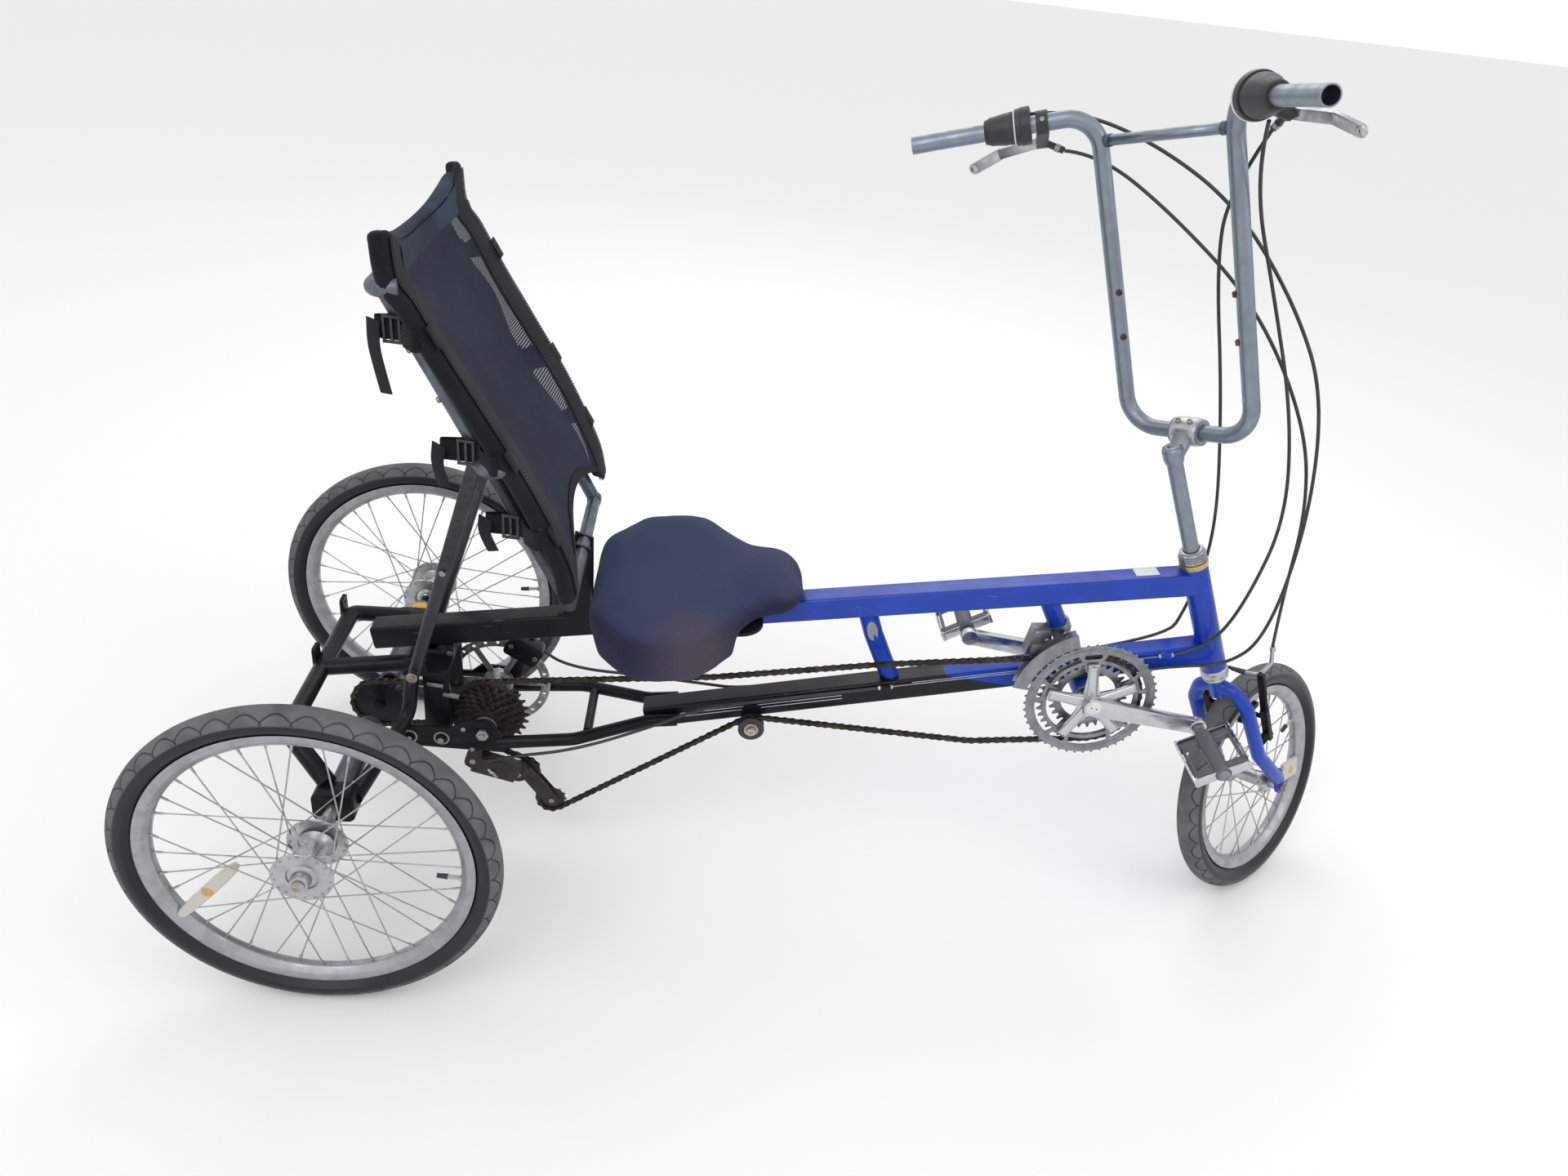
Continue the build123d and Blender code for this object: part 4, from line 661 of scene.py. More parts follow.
@dataclass(frozen=True)
class Cloth(Finish):
    """Plain woven cloth or webbing, with a lint and dust haze."""

    colour: Colour
    paler: Colour
    pitch: float = 0.0011
    depth: float = 0.0005
    fray: float = 0.15

    def dress(self, sheet: ShaderSheet) -> None:
        """Lays the weave, fade and worn edges."""
        place = sheet.coordinates()
        threads, _ = sheet.effect("weave", sheet.coordinates("UV"), self.pitch)
        fade = sheet.ease(sheet.noise(place, 14.0, 6.0, 0.62), 0.35, 0.72)
        lint = sheet.ease(sheet.noise(place, 330.0, 3.0, 0.6), 0.66, 0.78)
        tone = sheet.mix(sheet.times(threads, 0.3), sheet.mix(fade, self.colour, self.paler), self.colour)
        sheet.shade({"Base Color": sheet.mix(sheet.times(lint, self.fray), tone, (0.4, 0.38, 0.36)),
                     "Roughness": 0.85,
                     "Sheen Weight": 0.04,
                     "Specular IOR Level": 0.16})
        sheet.relief(threads, self.depth)


BLUE, BLACK = (0.002, 0.042, 0.4), (0.006, 0.007, 0.01)
FINISHES: tuple[Finish, ...] = (
    Paint("blue_enamel", "blue_paint", BLUE, deep=0.6),
    Paint("black_enamel", "black_paint", BLACK, gloss=0.3, dusty=0.03, rusty=0.06, shine=0.12),
    Paint("two_tone_enamel", "black_paint", BLACK, BLUE, (0.104, 0.9946, 0.3924), gloss=0.26, shine=0.16),
    Paint("strut_enamel", "blue_paint", BLACK, BLUE, (0.0, 1.0, 0.362), shine=0.16),
    Metal("grey_tube", "grey_steel", (0.25, 0.28, 0.33), (0.16, 0.18, 0.21), 0.25, 0.34, 0.0, 0.05),
    Metal("worn_tube", "grey_steel", (0.13, 0.15, 0.185), (0.07, 0.075, 0.085), 0.35, 0.4, 0.1, 0.06, 0.85),
    Metal("dark_stay", "grey_steel", (0.065, 0.068, 0.08), (0.045, 0.035, 0.03), 0.4, 0.4, 0.2, 0.05, 0.8),
    # The rear derailleur's near-black metal: partly its rust, partly painted shade, as it sits in shadow.
    Metal("rust_and_shade_dark_metal", "grey_steel", (0.045, 0.04, 0.04), (0.035, 0.022, 0.016), 0.5, 0.45, 0.2, 0.06, 0.7),
    Metal("polished_alloy", "alloy", (0.56, 0.57, 0.59), (0.4, 0.4, 0.4), 0.15, 0.22, 0.0, 0.0, depth=0.00002),
    Metal("bright_alloy", "bright_steel", (0.48, 0.49, 0.51), (0.24, 0.24, 0.24), 0.3, 0.24, 0.0),
    Metal("dull_alloy", "grey_steel", (0.27, 0.285, 0.31), (0.14, 0.135, 0.125), 0.4, 0.36, 0.0),
    Metal("rim_alloy", "alloy", (0.38, 0.4, 0.43), (0.25, 0.22, 0.18), 0.35, 0.32, 0.05, 0.08),
    Metal("spoke_steel", "bright_steel", (0.45, 0.46, 0.47), (0.25, 0.22, 0.18), 0.4, 0.28, 0.1),
    Metal("zinc_bolt", "bright_steel", (0.42, 0.42, 0.41), (0.25, 0.2, 0.13), 0.6, 0.3, 0.24, rust_scale=160.0),
    Metal("rusty_bolt", "rusty_steel", (0.2, 0.14, 0.1), (0.1, 0.04, 0.02), 0.9, 0.6, 0.75, metal=0.5, depth=0.0003),
    Metal("rusty_chain", "rusty_steel", (0.05, 0.042, 0.038), (0.02, 0.015, 0.012), 0.8, 0.5, 0.3, metal=0.7,
          depth=0.0002, rust_scale=120.0),
    Metal("gold_race", "bright_steel", (0.62, 0.5, 0.28), (0.3, 0.2, 0.08), 0.6, 0.3, 0.2),
    Metal("rotor_steel", "grey_steel", (0.4, 0.4, 0.4), (0.15, 0.12, 0.1), 0.5, 0.34, 0.34),
    Tyre("tyre_rubber", "tyre_rubber"),
    Plastic("black_moulding", "black_plastic", (0.012, 0.014, 0.018), dusty=0.05),
    Plastic("grey_resin", "black_plastic", (0.085, 0.094, 0.112), dusty=0.12),
    Plastic("cable_sheath", "black_plastic", (0.012, 0.012, 0.014), 0.34, 0.1),
    Plastic("white_ring", "alloy", (0.62, 0.62, 0.6), 0.4),
    Plastic("yellow_band", "reflector", (0.72, 0.43, 0.03), 0.4, 0.2),
    Plastic("pale_sticker", "alloy", (0.62, 0.64, 0.66), 0.45, 0.2),
    Plastic("grey_decal", "blue_paint", (0.2, 0.21, 0.24), 0.35, 0.1),
    Plastic("stripe_decal", "blue_paint", (0.5, 0.54, 0.62), 0.35, 0.1),
    Lens("clear_lens", "reflector", (0.78, 0.74, 0.68)),
    Lens("amber_lens", "reflector", (0.75, 0.4, 0.08)),
    # The stretch cover's second colour is its paler top, painted light from above.
    Knit("stretch_cover", "stretch_cloth", (0.017, 0.02, 0.048), (0.04, 0.05, 0.115), (0.1, 0.078, 0.1)),
    Netting("sling_mesh", "mesh_cloth", (0.008, 0.012, 0.028), (0.018, 0.025, 0.055)),
    Cloth("sling_binding", "mesh_cloth", (0.006, 0.007, 0.01), (0.014, 0.015, 0.02), fray=0.2),
    Cloth("sling_hem", "mesh_cloth", (0.016, 0.024, 0.045), (0.045, 0.062, 0.1), fray=0.04),
    Cloth("webbing", "mesh_cloth", (0.006, 0.007, 0.009), (0.015, 0.016, 0.019), 0.0022, 0.0009, 0.05),
    Cloth("pale_thread", "mesh_cloth", (0.06, 0.065, 0.075), (0.14, 0.14, 0.145), pitch=0.001),
)


@dataclass
class Workshop:
    """What every assembly needs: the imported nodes, and the finishes, each built when it is first asked for."""

    nodes: dict[str, bpy.types.Object]
    effects: dict[str, bpy.types.NodeTree]
    finishes: dict[str, Finish] = field(default_factory=lambda: {finish.name: finish for finish in FINISHES})
    materials: dict[str, bpy.types.Material] = field(default_factory=dict)
    made: list[bpy.types.Object] = field(default_factory=list)

    def place(self, name: str, mesh: bpy.types.Mesh, finish: str, body: Body | None = Body.FRAME,
              stands_for: Sequence[str] = (), slot: str | None = None, sharp: float = SHARP) -> bpy.types.Object:
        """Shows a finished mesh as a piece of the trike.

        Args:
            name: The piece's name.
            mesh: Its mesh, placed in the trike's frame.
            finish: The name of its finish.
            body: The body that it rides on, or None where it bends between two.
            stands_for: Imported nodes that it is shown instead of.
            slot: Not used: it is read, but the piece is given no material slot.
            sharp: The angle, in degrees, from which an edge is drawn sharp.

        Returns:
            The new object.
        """
        if finish not in self.materials:
            self.materials[finish] = self.finishes[finish].build(self.effects)
        mesh.shade_smooth()
        mesh.set_sharp_from_angle(angle=math.radians(sharp))
        mesh.materials.clear()
        mesh.materials.append(self.materials[finish])
        piece = bpy.data.objects.new(name, mesh)
        bpy.context.scene.collection.objects.link(piece)
        if body is not None:
            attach(piece, body.value)
        slot or self.finishes[finish].slot
        if stands_for:
            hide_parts(*stands_for)
        self.made.append(piece)
        return piece


def edges_at(corners: Iterable[bmesh.types.BMVert]) -> list[bmesh.types.BMEdge]:
    """Gives the edges that meet some corners, each once and in the same order each run."""
    return list(dict.fromkeys(line for corner in corners for line in corner.link_edges))


class Workpiece:
    """One piece in the making, shaped with mesh operators and then turned into an object."""

    def __init__(self, shop: Workshop, name: str) -> None:
        """Starts an empty mesh."""
        self.shop = shop
        self.name = name
        self.mesh = bmesh.new()

    def _since(self, before: int) -> Corners:
        """Gives the vertices that came after the first so many."""
        self.mesh.verts.ensure_lookup_table()
        return list(self.mesh.verts)[before:]

    def _soften(self, edges: Iterable[bmesh.types.BMEdge], offset: float, steps: int) -> None:
        """Bevels edges and marks the new faces as worn."""
        made = bmesh.ops.bevel(self.mesh, geom=list(edges), offset=offset * MM, segments=steps, profile=0.5,
                               affect="EDGES", clamp_overlap=True, material=-1)
        layers = self.mesh.faces.layers.float
        layer = layers.get("wear") or layers.new("wear")
        for face in made["faces"]:
            if face.is_valid:
                face[layer] = 1.0

    def lathe(self, frame: Matrix, outline: Pairs, steps: int = 40, ring: bool = True) -> None:
        """Turns an outline about a frame's Z.

        Args:
            frame: The local frame.
            outline: Radius and distance along Z of each corner.
            steps: How many sides the turned shape has.
            ring: Whether the outline closes on itself; else its ends lie on the axis.
        """
        corners = [self.mesh.verts.new(inside(frame, radius, 0, along)) for radius, along in outline]
        pairs = list(zip(corners, corners[1:])) + ([(corners[-1], corners[0])] if ring else [])
        edges = [self.mesh.edges.new(pair) for pair in pairs]
        bmesh.ops.spin(self.mesh, geom=corners + edges, cent=frame.translation, axis=frame.col[2].xyz,
                       angle=TURN, steps=steps, use_merge=True)
        self.mesh.verts.ensure_lookup_table()

    def cone(self, frame: Matrix, radius: float, tip: float, length: float, sides: int) -> Corners:
        """Adds a capped cone or rod, centred in a frame along its Z, with its length in metres."""
        return bmesh.ops.create_cone(self.mesh, cap_ends=True, segments=sides, radius1=radius * MM, radius2=tip * MM,
                                     depth=length, matrix=frame)["verts"]

    def rod(self, start: Vector, end: Vector, radius: float, sides: int = 12, tip: float | None = None) -> None:
        """Adds a straight round or many-sided rod between two places."""
        run = end - start
        self.cone(facing((start + end) / 2, run), radius, radius if tip is None else tip, run.length, sides)

    def ball(self, centre: Vector, radius: float, squash: tuple[float, float, float], frame: Matrix) -> None:
        """Adds a rounded knob, squashed along a frame's axes."""
        shape = Matrix.Translation(centre) @ frame.to_3x3().to_4x4() @ Matrix.Diagonal((*squash, 1.0))
        bmesh.ops.create_uvsphere(self.mesh, u_segments=16, v_segments=10, radius=radius * MM, matrix=shape)

    def block(self, frame: Matrix, size: tuple[float, float, float], edge: float, steps: int = 2) -> None:
        """Adds a block with rounded edges, centred in a frame."""
        shape = frame @ Matrix.Diagonal((*(side * MM for side in size), 1.0))
        made = bmesh.ops.create_cube(self.mesh, size=1.0, matrix=shape)
        self._soften(edges_at(made["verts"]), edge, steps)

    def plate(self, frame: Matrix, outline: Pairs, low: float, thick: float, edge: float = 0.0) -> None:
        """Adds a flat plate of any outline in a frame's XY plane, from low to low + thick."""
        corners = [self.mesh.verts.new(inside(frame, x, y, low)) for x, y in outline]
        face = self.mesh.faces.new(corners)
        grown = bmesh.ops.extrude_face_region(self.mesh, geom=[face])["geom"]
        top = [part for part in grown if isinstance(part, bmesh.types.BMVert)]
        bmesh.ops.translate(self.mesh, verts=top, vec=frame.col[2].xyz * thick * MM)
        if edge:
            rims = edges_at((*corners, *top))
            self._soften([line for line in rims if (line.verts[0] in top) == (line.verts[1] in top)], edge, 1)

    def tube(self, route: Sequence[Vector], radius: float, sides: int, flat: float = 1.0,
             hint: Vector | None = None) -> None:
        """Adds a tube along a route by extruding its ring from station to station.

        Args:
            route: The stations of its middle line.
            radius: Half its width.
            sides: Sides of its ring.
            flat: Its thickness as a share of its width.
            hint: Roughly the way of its width at the start.
        """
        ways = [(after - before).normalized()
                for before, after in zip([route[0], *route[:-1]], [*route[1:], route[-1]])]
        frame = facing(route[0], ways[0], hint)
        ring = bmesh.ops.create_circle(self.mesh, cap_ends=True, segments=sides, radius=radius * MM,
                                       matrix=frame @ Matrix.Diagonal((1.0, flat, 1.0, 1.0)))["verts"]
        edges = [line for line in edges_at(ring) if all(corner in ring for corner in line.verts)]
        for station, way in zip(route[1:], ways[1:]):
            following = facing(station, way, frame.col[0].xyz)
            grown = bmesh.ops.extrude_edge_only(self.mesh, edges=edges)["geom"]
            ring = [part for part in grown if isinstance(part, bmesh.types.BMVert)]
            edges = [part for part in grown
                     if isinstance(part, bmesh.types.BMEdge) and all(corner in ring for corner in part.verts)]
            bmesh.ops.transform(self.mesh, matrix=following @ frame.inverted(), verts=ring)
            frame = following
        bmesh.ops.contextual_create(self.mesh, geom=edges)

    def bolt(self, seat: Vector, way: Vector, across: float, head: float, washer: float = 0.0,
             socket: bool = False) -> None:
        """Adds a bolt head on its seat.

        Args:
            seat: Where it sits.
            way: The way that its head looks.
            across: Its width.
            head: Its height.
            washer: The radius of a washer under it, or 0 for none.
            socket: Whether it is a round socket head; else it is a hexagon.
        """
        away = way.normalized()
        if washer:
            rim = [(0, 0), (washer, 0), (washer, 1.0), (washer - 0.5, 1.3), (0, 1.3)]
            self.lathe(facing(seat, away), rim, 28, ring=False)
            seat = seat + away * 1.2 * MM
        if socket:
            radius = across / 2
            self.lathe(facing(seat, away),
                       [(0, 0), (radius, 0), (radius, head - 0.6), (radius - 0.6, head), (radius * 0.5, head),
                        (radius * 0.5, head * 0.45), (0, head * 0.45)], 20, ring=False)
        else:
            radius = across * 0.577
            made = self.cone(facing(seat + away * head / 2 * MM, away), radius, radius, head * MM, 6)
            self._soften(edges_at(made), 0.45, 1)

    def cad(self, node: str, edge: float, sharp: float = SHARP) -> None:
        """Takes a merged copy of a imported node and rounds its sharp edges.

        Args:
            node: The node's name.
            edge: Width of the rounding.
            sharp: The angle, in degrees, from which an edge is rounded.
        """
        source = self.shop.nodes[node]
        before = len(self.mesh.verts)
        self.mesh.from_mesh(source.data)
        fresh = self._since(before)
        bmesh.ops.transform(self.mesh, matrix=source.matrix_world, verts=fresh)
        bmesh.ops.remove_doubles(self.mesh, verts=fresh, dist=2e-5)
        fresh = self._since(before)
        bmesh.ops.dissolve_limit(self.mesh, angle_limit=math.radians(0.8), use_dissolve_boundaries=False,
                                 verts=fresh, edges=edges_at(fresh))
        if edge:
            limit = math.radians(sharp)
            self._soften([line for line in edges_at(self._since(before))
                          if line.is_manifold and line.calc_face_angle(0.0) > limit], edge, 2)

    def finish(self, finish: str, body: Body | None = Body.FRAME, stands_for: Sequence[str] = (),
               slot: str | None = None, sharp: float = SHARP, tidy: bool = True) -> bpy.types.Object:
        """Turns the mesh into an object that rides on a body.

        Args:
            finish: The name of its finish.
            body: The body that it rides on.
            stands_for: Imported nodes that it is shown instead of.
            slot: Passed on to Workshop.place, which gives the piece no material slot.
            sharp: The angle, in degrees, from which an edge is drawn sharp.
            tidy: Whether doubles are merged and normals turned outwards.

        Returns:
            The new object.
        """
        if tidy:
            bmesh.ops.remove_doubles(self.mesh, verts=self.mesh.verts, dist=2e-6)
            bmesh.ops.recalc_face_normals(self.mesh, faces=self.mesh.faces)
        return self.shop.place(self.name, self.as_mesh(), finish, body, stands_for, slot, sharp)

    def as_mesh(self) -> bpy.types.Mesh:
        """Ends the shaping and gives the mesh."""
        mesh = bpy.data.meshes.new(self.name)
        self.mesh.to_mesh(mesh)
        self.mesh.free()
        return mesh


@dataclass
class Assembly(ABC):
    """Pieces that are built together."""

    shop: Workshop

    @abstractmethod
    def build(self) -> None:
        """Builds the pieces."""

    def piece(self, name: str) -> Workpiece:
        """Starts a piece."""
        return Workpiece(self.shop, name)

    def dress(self, node: str, finish: str, edge: float = 0.9, body: Body = Body.FRAME,
              slot: str | None = None) -> None:
        """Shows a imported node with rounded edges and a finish."""
        piece = self.piece(f"{node}_dressed")
        piece.cad(node, edge)
        piece.finish(finish, body, (node,), slot)

    def turned(self, name: str, frame: Matrix, outline: Pairs, steps: int, finish: str, body: Body = Body.FRAME,
               ring: bool = True, **settings: Any) -> None:
        """Makes a piece of one turned outline; its settings are those of Workpiece.finish."""
        piece = self.piece(name)
        piece.lathe(frame, outline, steps, ring)
        piece.finish(finish, body, **settings)


@dataclass
class Wheel(Assembly):
    """A laced wire wheel with its tyre; crossing is the angle between a spoke's ends about the axle."""

    name: str
    body: Body
    frame: Matrix
    radius: float
    rim: float
    spokes: int
    crossing: float
    flange: float
    flanges: tuple[float, float]
    hub: Pairs
    tyre_half: float = 19.46

    def place(self, x: float, along: float, z: float) -> Vector:
        """Gives a place in the wheel: two ways in its plane and along its axle."""
        return inside(self.frame, x, -z, along)

    def spot(self, turn: float, reach: float, along: float) -> Vector:
        """Gives a place by its angle and distance from the axle, and along it."""
        return self.place(reach * math.cos(turn), along, reach * math.sin(turn))

    def build(self) -> None:
        """Builds tyre, rim, hub, spokes, nipples and valve."""
        self._tyre()
        rim = self.rim
        side = [(rim + 0.2, 12), (rim - 1, 12.3), (rim - 2, 12), (rim - 10.4, 12), (rim - 11.4, 11.2),
                (rim - 17.6, 6.2), (rim - 19, 4.4)]
        bed = [(rim + 0.2, -12), (rim + 0.2, -10.2), (rim - 0.6, -9.3), (rim - 6, -9.2), (rim - 7, -6), (rim - 7, 6),
               (rim - 6, 9.2), (rim - 0.6, 9.3), (rim + 0.2, 10.2)]
        outline = [*bed, *side, (rim - 19.4, 0), *((reach, -along) for reach, along in side[:0:-1])]
        self.turned(f"{self.name}_rim", self.frame, outline, 120, "rim_alloy", self.body,
                    stands_for=(f"wheel_{self.name}",), sharp=40.0)
        hub = self.piece(f"{self.name}_hub")
        hub.lathe(self.frame, self.hub, 48)
        inner, outer = self.flange - 15, self.flange + 4
        for along in self.flanges:
            hub.lathe(self.frame, [(inner, along - 1.2), (outer - 0.7, along - 1.6), (outer, along - 1),
                                   (outer, along + 1), (outer - 0.7, along + 1.6), (inner, along + 1.2)], 60)
        hub.finish("bright_alloy", self.body, slot="alloy")
        self._spokes()
        LOG.info("%s laced with %d spokes", self.name, self.spokes)

    def _tyre(self) -> None:
        """Turns the casing, with a UV map round and across the tread."""
        crown, half = self.radius - 19.5, self.tyre_half
        bead = [(self.rim - 5.6, 8.8), (self.rim + 0.2, 9.2), (self.rim + 3.2, 12.4), (self.rim + 5.2, 14.6)]
        turns = [math.radians(104 - 8 * step) for step in range(27)]
        outline = [*bead, *((crown + half * math.cos(turn), half * math.sin(turn)) for turn in turns),
                   *((radius, -along) for radius, along in reversed(bead))]
        piece = self.piece(f"{self.name}_tyre")
        piece.lathe(self.frame, outline, 132)
        bmesh.ops.remove_doubles(piece.mesh, verts=piece.mesh.verts, dist=2e-6)
        layer = piece.mesh.loops.layers.uv.verify()
        home = self.frame.inverted()
        run = round(TURN * self.radius * MM / SIPE_PITCH) * SIPE_PITCH / TURN
        for face in piece.mesh.faces:
            middle = home @ face.calc_center_median()
            centre = math.atan2(middle.y, middle.x)
            for loop in face.loops:
                spot = home @ loop.vert.co
                turn = math.atan2(spot.y, spot.x)
                turn += TURN * round((centre - turn) / TURN)
                loop[layer].uv = (turn * run, math.atan2(spot.z, spot.xy.length - crown * MM) * half * MM)
        piece.finish("tyre_rubber", self.body, (f"tyre_{self.name}",))

    def _spokes(self) -> None:
        """Laces the spokes, with their elbows in the flanges and nipples in the rim, and adds the valve."""
        wires, nipples = self.piece(f"{self.name}_spokes"), self.piece(f"{self.name}_nipples")
        for index in range(self.spokes):
            along = self.flanges[index % 2]
            lead = 1 if index % 4 < 2 else -1
            rim_turn = TURN * index / self.spokes
            hub_turn = rim_turn + lead * math.radians(self.crossing)
            side = math.copysign(2.1, along) * lead
            root, heel = (self.spot(hub_turn, self.flange, along + out) for out in (side, -side))
            tip = self.spot(rim_turn, self.rim - 18, along * 0.05)
            wires.rod(root, tip, 1.0, 6)
            wires.rod(heel, root, 1.0, 6)
            wires.ball(heel, 2.0, (1, 1, 0.6), self.frame)
            way = (root - tip).normalized()
            nipples.rod(tip - way * 0.001, tip + way * 0.011, 2.0, 6, 1.7)
        wires.finish("spoke_steel", self.body)
        stem = self.spot(0.09, self.rim - 15, 0)
        inward = (self.frame.translation - stem).normalized()
        nipples.rod(stem, stem + inward * 0.024, 2.8, 10)
        nipples.rod(stem + inward * 0.004, stem + inward * 0.007, 4.6, 6)
        nipples.finish("bright_alloy", self.body, slot="alloy")
        cap = self.piece(f"{self.name}_valve_cap")
        cap.rod(stem + inward * 0.022, stem + inward * 0.036, 3.8, 10, 3.2)
        cap.finish("black_moulding", self.body)


@dataclass
class Wheels(Assembly):
    """The three wheels and their two reflectors."""

    half_track: float = 333.5

    def build(self) -> None:
        """Builds every wheel, then the reflectors."""
        rear_hub = ((0, -40), (12, -40), (13, -39), (13, -34), (20, -31), (24, -28), (19, -21), (17, -16), (17, 16),
                    (19, 21), (24, 26), (20, 29), (13, 31), (13, 38), (11, 42), (8.5, 43), (0, 43))
        half = ((13, 24), (20, 28), (20, 31), (13, 33), (8, 36), (8, 46), (7.4, 47), (5.1, 47))
        front_hub = (*((radius, -along) for radius, along in reversed(half)), (12, -20), (12, 20), *half)
        front = facing(HERE.turned(HERE.rake, 0, -HERE.fork_length), HERE.left, HERE.ahead)
        sides = (("rear_right", Body.RIGHT_WHEEL, RIGHT), ("rear_left", Body.LEFT_WHEEL, LEFT))
        wheels = [Wheel(self.shop, name, body, facing(HERE.at(0, self.half_track * way.y, HERE.axle_z), way, AHEAD),
                        243, 209.5, 36, 60, 35, (-33, 29), rear_hub) for name, body, way in sides]
        wheels.append(Wheel(self.shop, "front", Body.FRONT_WHEEL, front, 193, 158.5, 28, 45, 18, (-30, 30), front_hub))
        for wheel in wheels:
            wheel.build()
        right, _, front_wheel = wheels
        frame = facing(front_wheel.place(94, -10.5, -63), front.col[2].xyz, UP)
        lens = self.piece("front_reflector_lens")
        lens.block(frame, (33, 47, 8), 3.0, 4)
        lens.finish("clear_lens", front_wheel.body, ("reflector_front",))
        self._spots("front", front_wheel.body, frame, 4.1, [(0, 0.5), (6.4, 0.3), (7.2, -0.4), (0, -0.4)], 24)
        frame = facing(right.place(-128, 8.5, 52), right.frame.col[2].xyz, Vector((-0.66, 0, -0.75)))
        lens = self.piece("right_reflector_lens")
        outline = [(58 * math.cos(turn) + math.copysign(5, math.cos(turn)),
                    8.4 * math.copysign(abs(math.sin(turn)) ** 0.45, math.sin(turn)))
                   for turn in (math.pi * (step + 0.5) / 18 for step in range(36))]
        lens.plate(frame, outline, -4, 8, 1.2)
        lens.finish("clear_lens", right.body, ("reflector_right",))
        self._spots("right", right.body, frame, 4.0, [(0, 0.55), (7.0, 0.45), (8.0, -0.4), (0, -0.4)], 28)

    def _spots(self, name: str, body: Body, frame: Matrix, lift: float, outline: Pairs, steps: int) -> None:
        """Sets an amber spot in the middle of both faces of a reflector."""
        spot = self.piece(f"{name}_reflector_spot")
        for side in (1, -1):
            way = frame.col[2].xyz * side
            spot.lathe(facing(frame.translation + way * lift * MM, way), outline, steps, ring=False)
        spot.finish("amber_lens", body)


@dataclass(frozen=True)
class Guide:
    """A circle that a chain passes round: its middle, and a radius that is negative on the far side."""

    x: float
    y: float
    z: float
    radius: float

    @property
    def centre(self) -> Vector:
        """The circle's middle."""
        return Vector((self.x, self.y, self.z))


@dataclass
class Chain(Assembly):
    """A roller chain laid link by link round its sprockets and guides."""

    name: str
    guides: tuple[Guide, ...]
    pitch: float = 12.7

    def build(self) -> None:
        """Lays inner and outer links in turn, with their pins and rollers."""
        stations = self._stations()
        links = (self._link(1.95, 3.9), self._link(2.9, 3.6))
        piece = self.piece(f"{self.name}_links")
        for index, (start, end) in enumerate(zip(stations, stations[1:] + stations[:1])):
            way = end - start
            frame = facing((start + end) / 2, Vector((way.z, 0, -way.x)), way)
            before = len(piece.mesh.verts)
            piece.mesh.from_mesh(links[index % 2])
            piece.mesh.verts.ensure_lookup_table()
            bmesh.ops.transform(piece.mesh, matrix=frame, verts=list(piece.mesh.verts)[before:])
        for link in links:
            bpy.data.meshes.remove(link)
        piece.finish("rusty_chain", Body.FRAME, (self.name,), tidy=False)
        LOG.info("%s laid with %d links", self.name, len(stations))

    def _link(self, face: float, half: float, thick: float = 0.9) -> bpy.types.Mesh:
        """Builds one link about its middle: X along the chain, Y across it.

        Args:
            face: From the chain's middle to the plates.
            half: Half the height of its round ends.
            thick: Thickness of a plate.

        Returns:
            The mesh, to be repeated.
        """
        link = self.piece("link")
        reach = self.pitch / 2
        shoulder = reach + half * 0.7
        upper = [(shoulder, half * 0.7), (reach, half), (0, half * 0.62), (-reach, half), (-shoulder, half * 0.7)]
        outline = [(reach + half, 0), *upper, (-reach - half, 0), *((x, -y) for x, y in reversed(upper))]
        across = facing(Vector(), LEFT, AHEAD)
        for low in (face, -face - thick):
            link.plate(across, outline, low, thick)
        pin = AHEAD * reach * MM
        for width, radius, sides in ((face + thick + 0.5, 1.8, 6), (1.9, 3.8, 8)):
            link.rod(pin - LEFT * width * MM, pin + LEFT * width * MM, radius, sides)
        bmesh.ops.recalc_face_normals(link.mesh, faces=link.mesh.faces)
        return link.as_mesh()

    def _stations(self) -> list[Vector]:
        """Spreads the pins evenly along runs and wraps."""
        ways, starts = [], []
        for first, second in zip(self.guides, self.guides[1:] + self.guides[:1]):
            run = second.centre - first.centre
            way = math.atan2(run.z, run.x) + math.asin((first.radius - second.radius) / math.hypot(run.x, run.z))
            ways.append(way)
            starts.append(first.centre + Vector((math.sin(way), 0, -math.cos(way))) * first.radius)
        line: list[Vector] = []
        for index, guide in enumerate(self.guides):
            way_in, way_out = ways[index - 1], ways[index]
            if guide.radius:
                side = math.copysign(1.0, guide.radius)
                turn = side * ((side * (way_out - way_in)) % TURN)
                line += [guide.centre + around(way_in - side * math.pi / 2 + turn * step / 32) * abs(guide.radius)
                         for step in range(33)]
            else:
                line.append(starts[index])
        line.append(line[0].copy())
        lengths = [(after - before).length for before, after in zip(line, line[1:])]
        count = 2 * round(sum(lengths) / (2 * self.pitch))
        stations, spent, index = [], 0.0, 0
        for link in range(count):
            goal = link * sum(lengths) / count
            while spent + lengths[index] < goal:
                spent += lengths[index]
                index += 1
            stations.append(HERE.at(*line[index].lerp(line[index + 1], (goal - spent) / lengths[index])))
        return stations


